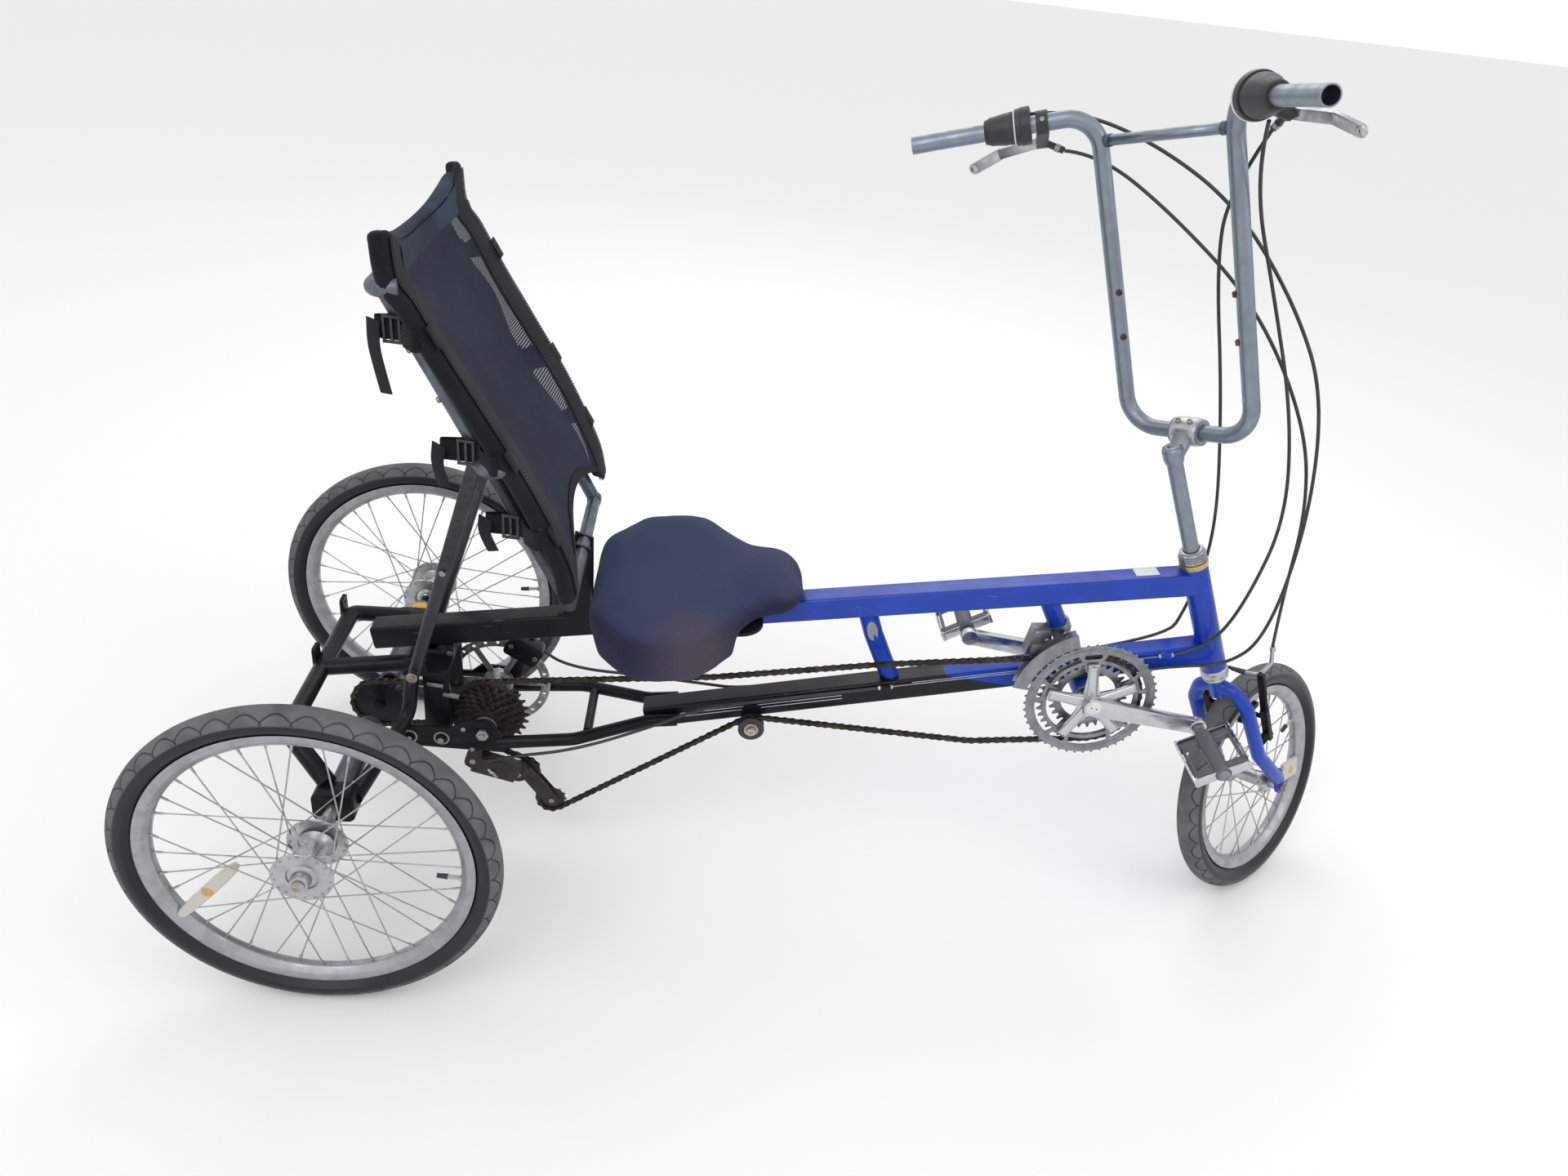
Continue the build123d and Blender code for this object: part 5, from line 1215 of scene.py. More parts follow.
@dataclass
class Drive(Assembly):
    """Chains, cassette, mid hub, brake disc, crank and pedals."""

    mid: tuple[float, float] = (168.0, 256.0)
    bracket: tuple[float, float] = (1065.0, 371.0)
    crank_angle: float = -8.0
    crank_length: float = 170.0
    pedal_tilt: float = 31.0

    @property
    def hub(self) -> Vector:
        """The middle of the bottom bracket."""
        return HERE.at(self.bracket[0], 0, self.bracket[1])

    @property
    def arm(self) -> Vector:
        """The way along the right crank arm."""
        return around(math.radians(self.crank_angle))

    @staticmethod
    def ring_radius(teeth: int) -> float:
        """Pitch radius of a sprocket."""
        return 12.7 / (2 * math.sin(math.pi / teeth))

    def build(self) -> None:
        """Builds the drive from the chains outwards."""
        (mid_x, mid_z), (crank_x, crank_z) = self.mid, self.bracket
        main = (Guide(mid_x, -24.0, mid_z, self.ring_radius(28)), Guide(222, -26, 152, -19), Guide(262, -26, 95, 22),
                Guide(563, -34, 268, -18.5), Guide(900, -41.5, 273, 0),
                Guide(crank_x, -45.0, crank_z, self.ring_radius(38)), Guide(745, -37.5, 401, 0),
                Guide(500, -31.8, 354, 0))
        axle = (Guide(0, 0, HERE.axle_z, self.ring_radius(20)), Guide(mid_x, 0, mid_z, self.ring_radius(16)))
        Chain(self.shop, "chain_main", main).build()
        Chain(self.shop, "chain_axle", axle).build()
        self._mid_drive()
        self._crank()
        for side, name in ((1, "right"), (-1, "left")):
            self._pedal(side, name)
        self._idler()
        self._derailleurs()
        self.dress("brake_caliper", "black_enamel", 1.4)
        bolts = self.piece("brake_caliper_bolts")
        for x, z in ((190, 333), (226, 312)):
            bolts.bolt(HERE.at(x, 44, z), RIGHT, 8, 3, socket=True)
        frame = facing(HERE.at(208, 70, 322), LEFT, Vector((0.86, 0, -0.5)))
        bolts.lathe(frame, [(0, 4), (9, 4), (10, 3), (10, 0), (0, 0)], 28, ring=False)
        bolts.finish("dull_alloy")
        LOG.info("drive built")

    def _mid_drive(self) -> None:
        """Rusty cassette, hub and drilled brake disc."""
        self.dress("cassette", "rusty_chain", 0.25, Body.MID_DRIVE)
        self.dress("drive_hub", "dull_alloy", 0.5, Body.MID_DRIVE, "alloy")
        self.dress("brake_rotor", "rotor_steel", 0.2, Body.MID_DRIVE)
        lock = self.piece("cassette_lockring")
        frame = facing(HERE.at(self.mid[0], -55, self.mid[1]), RIGHT, AHEAD)
        lock.lathe(frame, [(11, 0), (17.6, 0), (17.6, 2.4), (16.8, 3), (12.4, 3), (11, 1.4)], 36)
        for tooth in range(12):
            x, _, y = around(tooth * math.pi / 6) * 11.6
            lock.rod(inside(frame, x, y, 0.4), inside(frame, x, y, 3.2), 1.0, 6)
        lock.finish("rusty_chain", Body.MID_DRIVE)
        bolts = self.piece("disc_bolts")
        for arm in range(6):
            middle = HERE.at(self.mid[0], 58, self.mid[1])
            bolts.bolt(middle + around((arm + 0.5) * math.pi / 3) * 21 * MM, LEFT, 6, 2.2, socket=True)
        bolts.finish("zinc_bolt", Body.MID_DRIVE, slot="grey_steel")

    def _crank(self) -> None:
        """Rings, polished crank with its raised spider ridges, rusty ring bolts and caps."""
        hub, way = self.hub, self.arm
        rings = self.piece("chainrings_dressed")
        rings.cad("chainrings", 0.3, 30)
        frame = facing(HERE.at(self.bracket[0], -51, self.bracket[1]), RIGHT, AHEAD)
        rings.lathe(frame, [(84, -1.5), (96.8, -1.5), (97.4, -0.9), (97.4, 0.9), (96.8, 1.5), (93.5, 1.5),
                            (93.1, 1.15), (87.4, 1.15), (87, 1.5), (84.4, 1.5), (83.8, 0.9), (83.8, -0.9)], 96)
        rings.lathe(frame, [(66.5, -1.1), (71.5, -1.1), (72, -0.6), (72, 0.9), (71.5, 1.4), (66.9, 1.4), (66.4, 0.9),
                            (66.4, -0.6)], 96)
        rings.finish("dull_alloy", Body.CRANK, ("chainrings",), "alloy")
        arms, bolts = self.piece("crank_dressed"), self.piece("ring_bolts")
        arms.cad("crank_set", 1.6)
        for index in range(5):
            reach = around(math.radians(self.crank_angle + 36 + 72 * index))
            start, end = hub + RIGHT * 0.0585 + reach * 0.014, hub + RIGHT * 0.0575 + reach * 0.066
            arms.tube([start, start.lerp(end, 0.35), start.lerp(end, 0.8), end], 7.6, 14, 0.5, reach.cross(RIGHT))
            bolts.bolt(hub + RIGHT * 0.0578 + reach * 0.062, RIGHT, 8.6, 2.2, socket=True)
            bolts.bolt(hub + RIGHT * 0.0440 + reach * 0.062, LEFT, 8.6, 1.6, socket=True)
        caps, cap_hole_shades = self.piece("crank_caps"), self.piece("crank_cap_hole_shades")
        shell = self.piece("bracket_cups")
        for side in (1, -1):
            inner = hub + RIGHT * (0.0672 * side)
            spine = [inner + way * side * reach * MM for reach in (4, 40, 90, 140, 160)]
            arms.tube(spine, 8.0, 12, 0.62, way.cross(RIGHT))
            eye = hub + RIGHT * (0.0602 * side) + way * self.crank_length * side * MM
            arms.lathe(facing(eye, RIGHT * side, way), [(4.6, -0.5), (12.6, -0.5), (13.4, 1.5), (13.4, 11.5),
                                                        (12.2, 12.8), (7.4, 12.8), (4.6, 11)], 32)
            frame = facing(hub + RIGHT * 0.0722 * side, RIGHT * side, way)
            caps.lathe(frame, [(0, 1.4), (10.4, 1.1), (11.6, 0.2), (11.6, -1), (0, -1)], 36, ring=False)
            # Painted shade: each pin hole in the cap is a thin black disc on its face.
            for dot in (-4.2, 4.2):
                middle = inside(frame, dot, 0.8, 1.15)
                cap_hole_shades.rod(middle, middle + RIGHT * side * 0.0004, 1.2, 12)
            shell.lathe(facing(hub + RIGHT * 0.034 * side, RIGHT * side, way),
                        [(9.6, -1), (18.6, -1), (19.4, 0.2), (19.4, 3.6), (17.8, 4.6), (12, 4.6), (9.6, 3.2)], 12)
        arms.finish("polished_alloy", Body.CRANK, ("crank_set",), sharp=50.0)
        caps.finish("white_ring", Body.CRANK)
        cap_hole_shades.finish("black_moulding", Body.CRANK)
        bolts.finish("rusty_bolt", Body.CRANK)
        shell.finish("dull_alloy", sharp=20.0)

    def _pedal(self, side: int, name: str) -> None:
        """Makes a resin pedal body between serrated alloy cages.

        Args:
            side: 1 for the right pedal, -1 for the left.
            name: Its side, for the pieces' names.
        """
        body = Body.PEDAL_RIGHT if side > 0 else Body.PEDAL_LEFT
        pivot = self.hub + self.arm * self.crank_length * side * MM
        frame = facing(pivot, RIGHT * side, around(math.radians(self.pedal_tilt)))
        core = self.piece(f"pedal_{name}_body")
        core.lathe(frame, [(0, 85), (9, 85), (11.5, 88), (12.8, 96), (12.4, 128), (11.6, 168), (12.6, 174),
                           (11.8, 178.6), (9, 180), (0, 180)], 28, ring=False)
        for end in (-1, 1):
            for along in (102, 166):
                core.block(moved(frame, end * 24, 0, along), (34, 11, 13), 2.0)
            core.block(moved(frame, end * 35, 0, 134), (4, 13, 62), 1.2)
        core.finish("grey_resin", body, (f"pedal_{name}",))
        axle = self.piece(f"pedal_{name}_axle")
        for outline in ([(0, 60.6), (5.4, 60.6), (5.4, 73.5), (8.6, 73.5), (8.6, 77), (6.2, 78.5), (6.2, 86), (0, 86)],
                        [(0, 182.5), (6.5, 182), (8.4, 180.6), (8.4, 178), (0, 178)]):
            axle.lathe(frame, outline, 24, ring=False)
        axle.finish("dull_alloy", body)
        cage = self.piece(f"pedal_{name}_cage")
        self._cage(cage, frame)
        cage.finish("polished_alloy", body, sharp=25.0)

    @staticmethod
    def _cage(cage: Workpiece, frame: Matrix) -> None:
        """Bends a serrated band round the pedal: two toothed sides and two plain ends."""
        teeth, half_long = 9, 44
        x_way, y_way, z_way = (frame.col[axis].xyz for axis in range(3))
        for end in (-1, 1):
            upper = []
            for tooth in range(teeth):
                start = -half_long + 2 * half_long * tooth / teeth
                upper += [(start, 8.2), (start + 2.4, 11.0), (start + 5.4, 11.0), (start + 7.4, 8.2)]
            upper[0], upper[-1] = (-half_long, 7.5), (half_long, 7.5)
            rail = facing(inside(frame, end * 40.5, 0, 134), x_way * end, z_way)
            cage.plate(rail, upper + [(x, -y) for x, y in reversed(upper)], -1.0, 2.0, 0.3)
            for cross in (90.8, 177.2):
                cage.block(facing(inside(frame, end * 21, 0, cross), z_way, x_way), (42, 15, 2.0), 0.5)
            for corner in (91.5, 176.5):
                middle = inside(frame, end * 38.5, 0, corner)
                cage.rod(middle - y_way * 7.5 * MM, middle + y_way * 7.5 * MM, 2.6, 10)

    def _idler(self) -> None:
        """The toothed chain idler with its gold ring and shiny screw."""
        frame = facing(HERE.at(563, 0, 268), RIGHT, AHEAD)
        self.turned("idler_wheel", frame, [(6.4, 26.2), (18.6, 26.2), (20, 26.9), (20, 28.6), (17, 30.2), (14.4, 30.6),
                                           (14.4, 37.4), (17, 37.9), (20, 39.5), (20, 41.2), (18.6, 42), (6.4, 42)],
                    40, "black_moulding", stands_for=("idler",))
        self.turned("idler_ring", frame, [(7, 41.6), (11, 41.6), (11, 43.2), (10.2, 43.8), (7, 43.8)], 32, "gold_race")
        self.turned("idler_screw", frame, [(0, 20), (6, 20), (6, 43.5), (7.6, 44), (7.6, 47), (6.8, 48.5), (3.2, 48.5),
                                           (3.2, 46), (0, 46)], 28, "bright_alloy", ring=False)
        bracket = self.piece("idler_bracket")
        bracket.plate(frame, [(-15, -14), (15, -14), (15, 24), (9, 30), (-9, 30), (-15, 24)], 18, 3, 0.5)
        bracket.finish("black_enamel")

    def _derailleurs(self) -> None:
        """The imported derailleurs, with pulleys, pivot bolts, springs and a clamp added."""
        # Painted shade and rust: the derailleur is dressed near black, partly for the shade it sits in.
        self.dress("rear_derailleur", "rust_and_shade_dark_metal", 0.8)
        wheels, bolts = self.piece("rear_derailleur_pulleys"), self.piece("rear_derailleur_bolts")
        for x, z, radius, teeth in ((222, 152, 17.5, 11), (262, 95, 20.5, 13)):
            outline = []
            for tooth in range(teeth):
                for share, reach in ((-0.28, -3.2), (-0.08, 2.6), (0.08, 2.6), (0.28, -3.2)):
                    angle = TURN * (tooth + share) / teeth
                    outline.append(((radius + reach) * math.cos(angle), (radius + reach) * math.sin(angle)))
            wheels.plate(facing(HERE.at(x, 0, z), RIGHT, AHEAD), outline, 25, 2.0)
            bolts.bolt(HERE.at(x, -32, z), RIGHT, 8, 2.4, socket=True)
        wheels.finish("black_moulding")
        bolts.bolt(HERE.at(214, -50, 160), RIGHT, 9, 3, socket=True)
        bolts.bolt(HERE.at(150, -69.6, 196), LEFT, 9, 1.5, socket=True)
        for x, y, z in ((178, -66, 176), (170, -64, 182)):
            bolts.rod(HERE.at(x, y, z), HERE.at(x + 8, y - 4, z - 8), 2.2, 8)
        bolts.finish("zinc_bolt")
        self.dress("front_derailleur", "dull_alloy", 0.6)
        bolts = self.piece("front_derailleur_bolts")
        for x, z in ((967, 470), (972, 438), (984, 458)):
            bolts.bolt(HERE.at(x, -30, z), RIGHT, 7, 2.2, socket=True)
        clamp, run = HERE.at(1012, -19, 466), Vector((0.012, -0.012, 0.004))
        bolts.rod(clamp, clamp + run, 5.0, 12)
        bolts.bolt(clamp + run, Vector((1, -1, 0.3)), 7, 3, socket=True)
        bolts.finish("bright_alloy")


@dataclass
class Frame(Assembly):
    """Tubes, rear sub-frame, head and the small fittings on them."""

    dressings: tuple[tuple[Any, ...], ...] = (
        ("top_tube_rear", "black_enamel", 0.9), ("top_tube_front", "blue_enamel", 0.9),
        ("bottom_tube", "two_tone_enamel", 0.9), ("head_tube", "blue_enamel", 0.6),
        ("bottom_bracket", "blue_enamel", 0.8), ("frame_strut", "strut_enamel", 0.0),
        ("seat_tube", "blue_enamel", 0.0), ("rear_bow", "black_enamel", 0.6), ("bearing_blocks", "black_enamel", 1.6),
        ("axle_sleeves", "worn_tube", 0.6, "black_paint"), ("rear_braces", "black_enamel", 0.0),
        ("dropout_plates", "black_enamel", 0.6), ("rear_post", "black_enamel", 0.6),
        ("rear_stays", "black_enamel", 0.0), ("mid_axle", "zinc_bolt", 0.5))

    def build(self) -> None:
        """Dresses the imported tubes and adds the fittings."""
        for node, finish, edge, *slot in self.dressings:
            self.dress(node, finish, edge, Body.FRAME, *slot)
        self.dress("axle_right", "zinc_bolt", 0.5, Body.RIGHT_WHEEL)
        self.dress("axle_left", "black_enamel", 0.4, Body.LEFT_WHEEL, "bright_steel")
        end_shades = self.piece("tube_end_shades")
        # Painted shade: a thin black square set just inside each open tube end stands for the shade inside the tube.
        for place, slope in ((HERE.top_tube(3, 0), HERE.top_slope), (HERE.bottom_tube(402, 0), HERE.low_slope)):
            along, _ = sloped(slope)
            end_shades.block(facing(place - along * 0.0004, along, LEFT), (31, 31, 3), 2.0)
        end_shades.finish("black_moulding")
        self._head()
        self._bolts()
        self._axle_fittings()
        self._stickers()
        LOG.info("frame dressed")

    def _head(self) -> None:
        """Headset: pressed cups, gold race, silver locknut, and the crown race below."""
        frame = facing(HERE.at(HERE.head_x, 0, HERE.head_z), HERE.up, HERE.ahead)
        for name, finish, body, outline, stands_for in (
            ("headset_cups_dressed", "gold_race", Body.FRAME,
             [(15.6, 197), (19.2, 197), (20.2, 198), (20.8, 203), (20.4, 206.6), (15.6, 206.6)], ("headset_cups",)),
            ("headset_lower_cup", "bright_alloy", Body.FRAME,
             [(15.6, 6.4), (19.2, 6.4), (20.2, 5), (20.9, -1), (20.9, -5), (19.6, -8.6), (15.6, -8.6)], ()),
            ("crown_race", "bright_alloy", Body.STEERING,
             [(13, -9.4), (18.6, -9.4), (19.6, -10.6), (19.2, -13.4), (13, -13.9)], ()),
        ):
            self.turned(name, frame, outline, 48, finish, body, stands_for=stands_for)
        nut = self.piece("headset_nut")
        nut.lathe(frame, [(13, 207.2), (18.4, 207.2), (19.6, 208.4), (19.2, 210.8), (13, 211)], 48)
        nut.lathe(frame, [(13, 211), (17.8, 211), (18.8, 212), (18.8, 213.6), (13, 213.8)], 48)
        nut.finish("gold_race", Body.STEERING)
        lock = self.piece("headset_locknut")
        lock.lathe(frame, [(12.9, 213.9), (17.4, 213.9), (18.8, 215), (18.8, 222), (17.2, 223.8), (12.9, 224)], 8)
        lock.lathe(frame, [(12.9, 224), (16.4, 224), (16.4, 225), (15, 225.8), (12.9, 226)], 40)
        lock.finish("bright_alloy", Body.STEERING, sharp=25.0)

    def _bolts(self) -> None:
        """Bolts of the plates, the post, the stays and the bearing blocks."""
        bolts = self.piece("plate_bolts")
        for x, side in ((62, -1), (108, -1), (62, 1), (80, 1)):
            bolts.bolt(HERE.at(x, 81.6 * side, HERE.axle_z), LEFT * side, 9, 1.2)
            bolts.lathe(facing(HERE.at(x, 74.6 * side, HERE.axle_z), LEFT * side),
                        [(4, 0), (11.5, 0), (11.5, 1.6), (4, 1.8)], 32)
        for x, z, side in ((152, 226, -1), (140, 262, -1), (180, 262, 1), (60, 252, 1)):
            bolts.bolt(HERE.at(x, 74.5 * side, z), LEFT * side, 7, 3)
        for side in (-1, 1):
            bolts.bolt(HERE.at(76, 92.2 * side, 361), LEFT * side, 9, 4, washer=8.0)
            for x, z in ((20, 262), (-20, 262), (20, 224), (-20, 224)):
                bolts.bolt(HERE.at(x, 206.8 * side, z), RIGHT * side, 6, 3, socket=True)
        for side in (1, -1):
            bolts.bolt(HERE.at(112, 18.2 * side, 356), LEFT * side, 8, 3)
        bolts.finish("zinc_bolt")

    def _axle_fittings(self) -> None:
        """Axle band, collars and wheel nuts, the stay's clamps and the cable stops."""
        frame = facing(HERE.at(0, 0, HERE.axle_z), LEFT, AHEAD)
        self.turned("axle_band", frame, [(9.0, 239), (16.4, 239), (17, 239.6), (17, 262.4), (16.4, 263), (9.0, 263)],
                    40, "yellow_band", Body.LEFT_WHEEL)
        for side, name, body in ((-1, "right", Body.RIGHT_WHEEL), (1, "left", Body.LEFT_WHEEL)):
            collar = self.piece(f"axle_collar_{name}")
            collar.lathe(facing(HERE.at(0, 0, HERE.axle_z), LEFT * side, AHEAD),
                         [(8.8, 264.5), (13.2, 264.5), (14, 265.2), (14, 273.4), (13.2, 274), (8.8, 274)], 36)
            collar.bolt(HERE.at(0, 269.5 * side, 257), UP, 4.4, 1.2, socket=True)
            collar.finish("dull_alloy", body)
            nut = self.piece(f"wheel_nut_{name}")
            nut.bolt(HERE.at(0, 376.5 * side, HERE.axle_z), LEFT * side, 15, 3.0)
            nut.finish("zinc_bolt", body)
        clamps = self.piece("stay_clamps")
        for x, z, turn in ((118, 300, 0.2), (96, 318, 0.1)):
            way = Vector((math.sin(turn), 0, math.cos(turn)))
            clamps.block(facing(HERE.at(x, -46.5, z), way, RIGHT), (4, 24, 7), 1.0)
        clamps.finish("dull_alloy")
        stops = self.piece("cable_stops")
        slope, _ = sloped(HERE.low_slope)
        for x in (1173, 760):
            for end in (-1, 1):
                start = HERE.bottom_tube(x, -21.6, 12) + slope * end * 0.0076
                stops.rod(start, start + slope * end * 0.0035, 3.6, 16, 3.2)
        stops.finish("bright_alloy")

    def _stickers(self) -> None:
        """Plain stripes, a blank label and a grey oval where the photograph shows them."""
        slope, rise = sloped(HERE.low_slope)
        stripes = self.piece("bottom_tube_stripes")
        for lift, start, end in ((-2.6, 452, 700), (3.0, 452, 700), (12.4, 800, 1010)):
            for side in (-1, 1):
                middle = HERE.bottom_tube((start + end) / 2, 18.06 * side) + rise * lift * MM
                stripes.block(facing(middle, LEFT * side, slope), (end - start, 1.1, 0.22), 0.05, 1)
        stripes.finish("stripe_decal")
        slope, rise = sloped(HERE.top_slope)
        label = self.piece("top_tube_label")
        label.block(facing(HERE.top_tube(1118, 3) + rise * 18.06 * MM, rise, slope), (34, 21, 0.25), 0.06, 1)
        label.finish("pale_sticker")
        oval = self.piece("strut_oval")
        frame = facing(HERE.at(727, -14.2, 443), Vector((0.1, -1, 0)), Vector((-0.3, 0, 1)))
        turns = [math.pi * step / 16 for step in range(32)]
        oval.plate(frame, [(17 * math.cos(turn), 8 * math.sin(turn)) for turn in turns], -1.2, 1.6)
        oval.finish("grey_decal")


@dataclass(frozen=True)
class Strap:
    """One strap behind the seat: where it meets upright and rail, its height, its loop and its loose tail."""

    upright: float
    rail: float
    height: float
    loop: float
    tail: Pairs


@dataclass
class Seat(Assembly):
    """Padded base, tubed back with its sling, straps, stays and fittings."""

    line: Pairs = ((115, 1000), (120, 957), (138, 930), (168, 875), (203, 816), (258, 721), (302, 627), (315, 573))
    half: float = 200.0
    binding: float = 62.0
    pad_slope: float = 0.1
    across: int = 56
    rows: int = 12
    straps: tuple[Strap, ...] = (
        Strap(114, 145, 893, 30, ((-32, 8), (-32, -22), (-27, -50), (-21, -77))),
        Strap(190, 226, 750, 41, ((-43, 5), (-45, -16), (-42, -32), (-37, -48))),
        Strap(240.5, 275, 655, 41, ((-42, 7), (-43, -10), (-39, -22), (-32, -36))))

    def build(self) -> None:
        """Builds the seat from its frame to its cloth."""
        self.dress("seat_back_frame", "worn_tube", 0.0)
        self.dress("seat_bracket", "black_enamel", 0.8)
        self.dress("seat_pan", "black_enamel", 0.8)
        self._fittings()
        self._pad()
        self._sling()
        self._straps()
        LOG.info("seat built")

    def _fittings(self) -> None:
        """Stays with black discs of painted shade in their holes, bolts, tube caps and the little bolts along the
        uprights.
        """
        stays, holes, bolts = self.piece("seat_stays_dressed"), self.piece("stay_hole_shades"), self.piece("seat_bolts")
        for side, name in ((-1, "right"), (1, "left")):
            low, high = HERE.at(74, 73 * side, 354), HERE.at(187, 132 * side, 735)
            way, length = (high - low).normalized(), (high - low).length
            outward = (LEFT * side - way * way.y * side).normalized()
            for share, long, wide, edge in ((0.28, 0.56, (17, 16), 5.0), (0.75, 0.5, (18, 14), 2.0)):
                stays.block(facing(low.lerp(high, share), way, AHEAD), (*wide, length * long / MM), edge, 3)
            stays.rod(HERE.at(76, 64 * side, 361), HERE.at(76, 90 * side, 361), 7.5, 20)
            # Painted shade: each hole in the stay is a thin black disc on its face, for the shade inside the hole.
            for index in range(12):
                middle = low + way * (0.215 + index * 0.0135) + outward * 7.05 * MM
                holes.rod(middle - outward * 0.0004, middle + outward * 0.00012, 3.1, 16)
            bolts.bolt(low + way * 0.208 + outward * 9.6 * MM, outward, 8, 4)
            bolts.bolt(high + outward * 7.4 * MM - way * 0.009, outward, 9, 4, washer=8.5)
            for share in (0.685, 0.83):
                middle = HERE.at(301, 149 * side, 541).lerp(HERE.at(91, 149 * side, 937), share)
                bolts.bolt(middle + Vector((-0.0082, 0, -0.0046)), Vector((-0.88, 0, -0.47)), 7, 4)
            self.turned(f"seat_tube_cap_{name}", facing(HERE.at(301, 154 * side, 541), LEFT * side),
                        [(0, 4.2), (7.2, 4.0), (9.6, 2.4), (10.4, 0.5), (10.4, -13), (0, -13)], 32, "black_moulding",
                        ring=False)
        stays.finish("dark_stay", stands_for=("seat_stays",))
        holes.finish("black_moulding")
        bolts.finish("zinc_bolt")

    def _pad(self) -> None:
        """Swells the pad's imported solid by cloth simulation, then dishes and crowns its top."""
        source = self.piece("seat_cushion")
        source.cad("seat_pad", 0.0)
        cushion = bpy.data.objects.new("seat_cushion", source.as_mesh())
        bpy.context.scene.collection.objects.link(cushion)
        remesh = cushion.modifiers.new("even", "REMESH")
        remesh.mode, remesh.voxel_size = "VOXEL", 0.005
        mesh = self._applied(cushion)
        self._smoothed(mesh, 42, keep_size=True)
        start = [corner.co.copy() for corner in mesh.vertices]
        mesh = self._swollen(cushion, start)
        self._shape_pad(mesh, start)
        cushion.data = mesh
        smooth = cushion.modifiers.new("smooth", "SUBSURF")
        smooth.levels = smooth.render_levels = 1
        mesh = self._applied(cushion)
        bpy.data.objects.remove(cushion)
        piece = self.shop.place("seat_cushion", mesh, "stretch_cover", stands_for=("seat_pad",), sharp=180.0)
        LOG.info("seat cushion with %d faces", len(mesh.polygons))

    @staticmethod
    def _smoothed(mesh: bpy.types.Mesh, rounds: int, keep_size: bool = False) -> None:
        """Rounds a closed mesh, and stretches it back to its own size where that is kept."""
        form = bmesh.new()
        form.from_mesh(mesh)
        corners = list(form.verts)
        before = [(min(values), max(values)) for values in zip(*(corner.co for corner in corners))]
        for _ in range(rounds):
            bmesh.ops.smooth_vert(form, verts=corners, factor=0.5, use_axis_x=True, use_axis_y=True, use_axis_z=True)
        after = [(min(values), max(values)) for values in zip(*(corner.co for corner in corners))]
        if keep_size:
            for corner in corners:
                for axis, ((low, high), (small, large)) in enumerate(zip(before, after)):
                    corner.co[axis] = low + (corner.co[axis] - small) * (high - low) / (large - small)
        form.to_mesh(mesh)
        form.free()

    @staticmethod
    def _applied(piece: bpy.types.Object) -> bpy.types.Mesh:
        """Applies every modifier of a piece and gives the mesh."""
        graph = bpy.context.evaluated_depsgraph_get()
        graph.update()
        mesh = bpy.data.meshes.new_from_object(piece.evaluated_get(graph), depsgraph=graph)
        piece.modifiers.clear()
        piece.data = mesh
        return mesh

    def _swollen(self, cushion: bpy.types.Object, start: list[Vector]) -> bpy.types.Mesh:
        """Runs the cloth simulation that fills the cover.

        Args:
            cushion: The remeshed pad.
            start: Its vertices before the simulation.

        Returns:
            The swollen mesh, each vertex held near its start.
        """
        scene, last_frame, reach = bpy.context.scene, 20, 0.005
        scene.frame_set(1)
        pins = cushion.vertex_groups.new(name="pins")
        pins.add([corner.index for corner in cushion.data.vertices if corner.normal.z < -0.35], 1.0, "REPLACE")
        cloth = cushion.modifiers.new("fill", "CLOTH")
        settings = cloth.settings
        for name, value in {"quality": 5, "mass": 0.3, "tension_stiffness": 8, "compression_stiffness": 8,
                            "shear_stiffness": 5, "bending_stiffness": 0.6, "use_pressure": True,
                            "uniform_pressure_force": 2.4, "vertex_group_mass": "pins"}.items():
            setattr(settings, name, value)
        settings.effector_weights.gravity = 0.0
        cloth.collision_settings.use_collision = False
        cloth.point_cache.frame_start, cloth.point_cache.frame_end = 1, last_frame
        for frame in range(1, last_frame + 1):
            scene.frame_set(frame)
        mesh = self._applied(cushion)
        scene.frame_set(1)
        for corner, home in zip(mesh.vertices, start):
            move = corner.co - home
            if move.length > reach:
                corner.co = home + move * (reach / move.length)
        self._smoothed(mesh, 14)
        return mesh

    def _shape_pad(self, mesh: bpy.types.Mesh, start: list[Vector]) -> None:
        """Dishes the seat's middle, drops its nose and draws a few wrinkles beside the nose."""
        origin = HERE.at(326, 0, 463)
        run, rise = sloped(self.pad_slope)
        for corner, home in zip(mesh.vertices, start):
            local = home - origin
            x, y, z = local.dot(run) / MM, local.y / MM, local.dot(rise) / MM
            top = max(0.0, min(1.0, (z - 10) / 30))
            dish = 5.0 * math.exp(-((x - 90) / 95) ** 2) * math.exp(-(y / 75) ** 2)
            edge = 9.0 * max(0.0, abs(y) / 184 - 0.72) ** 1.2
            nose = 10.0 * max(0.0, (x - 215) / 80) ** 2
            corner.co.y += 0.14 * local.y * max(0.0, min(1.0, (x - 180) / 50))
            corner.co -= rise * (dish + edge + nose) * top * MM
            if y < -30 and 170 < x < 262:
                fade = math.exp(-((x - 216) / 24) ** 2) * math.exp(-((z - 16) / 22) ** 2)
                corner.co += RIGHT * 0.9 * math.sin((x * 0.9 + z * 0.55) / 3.4) * fade * MM

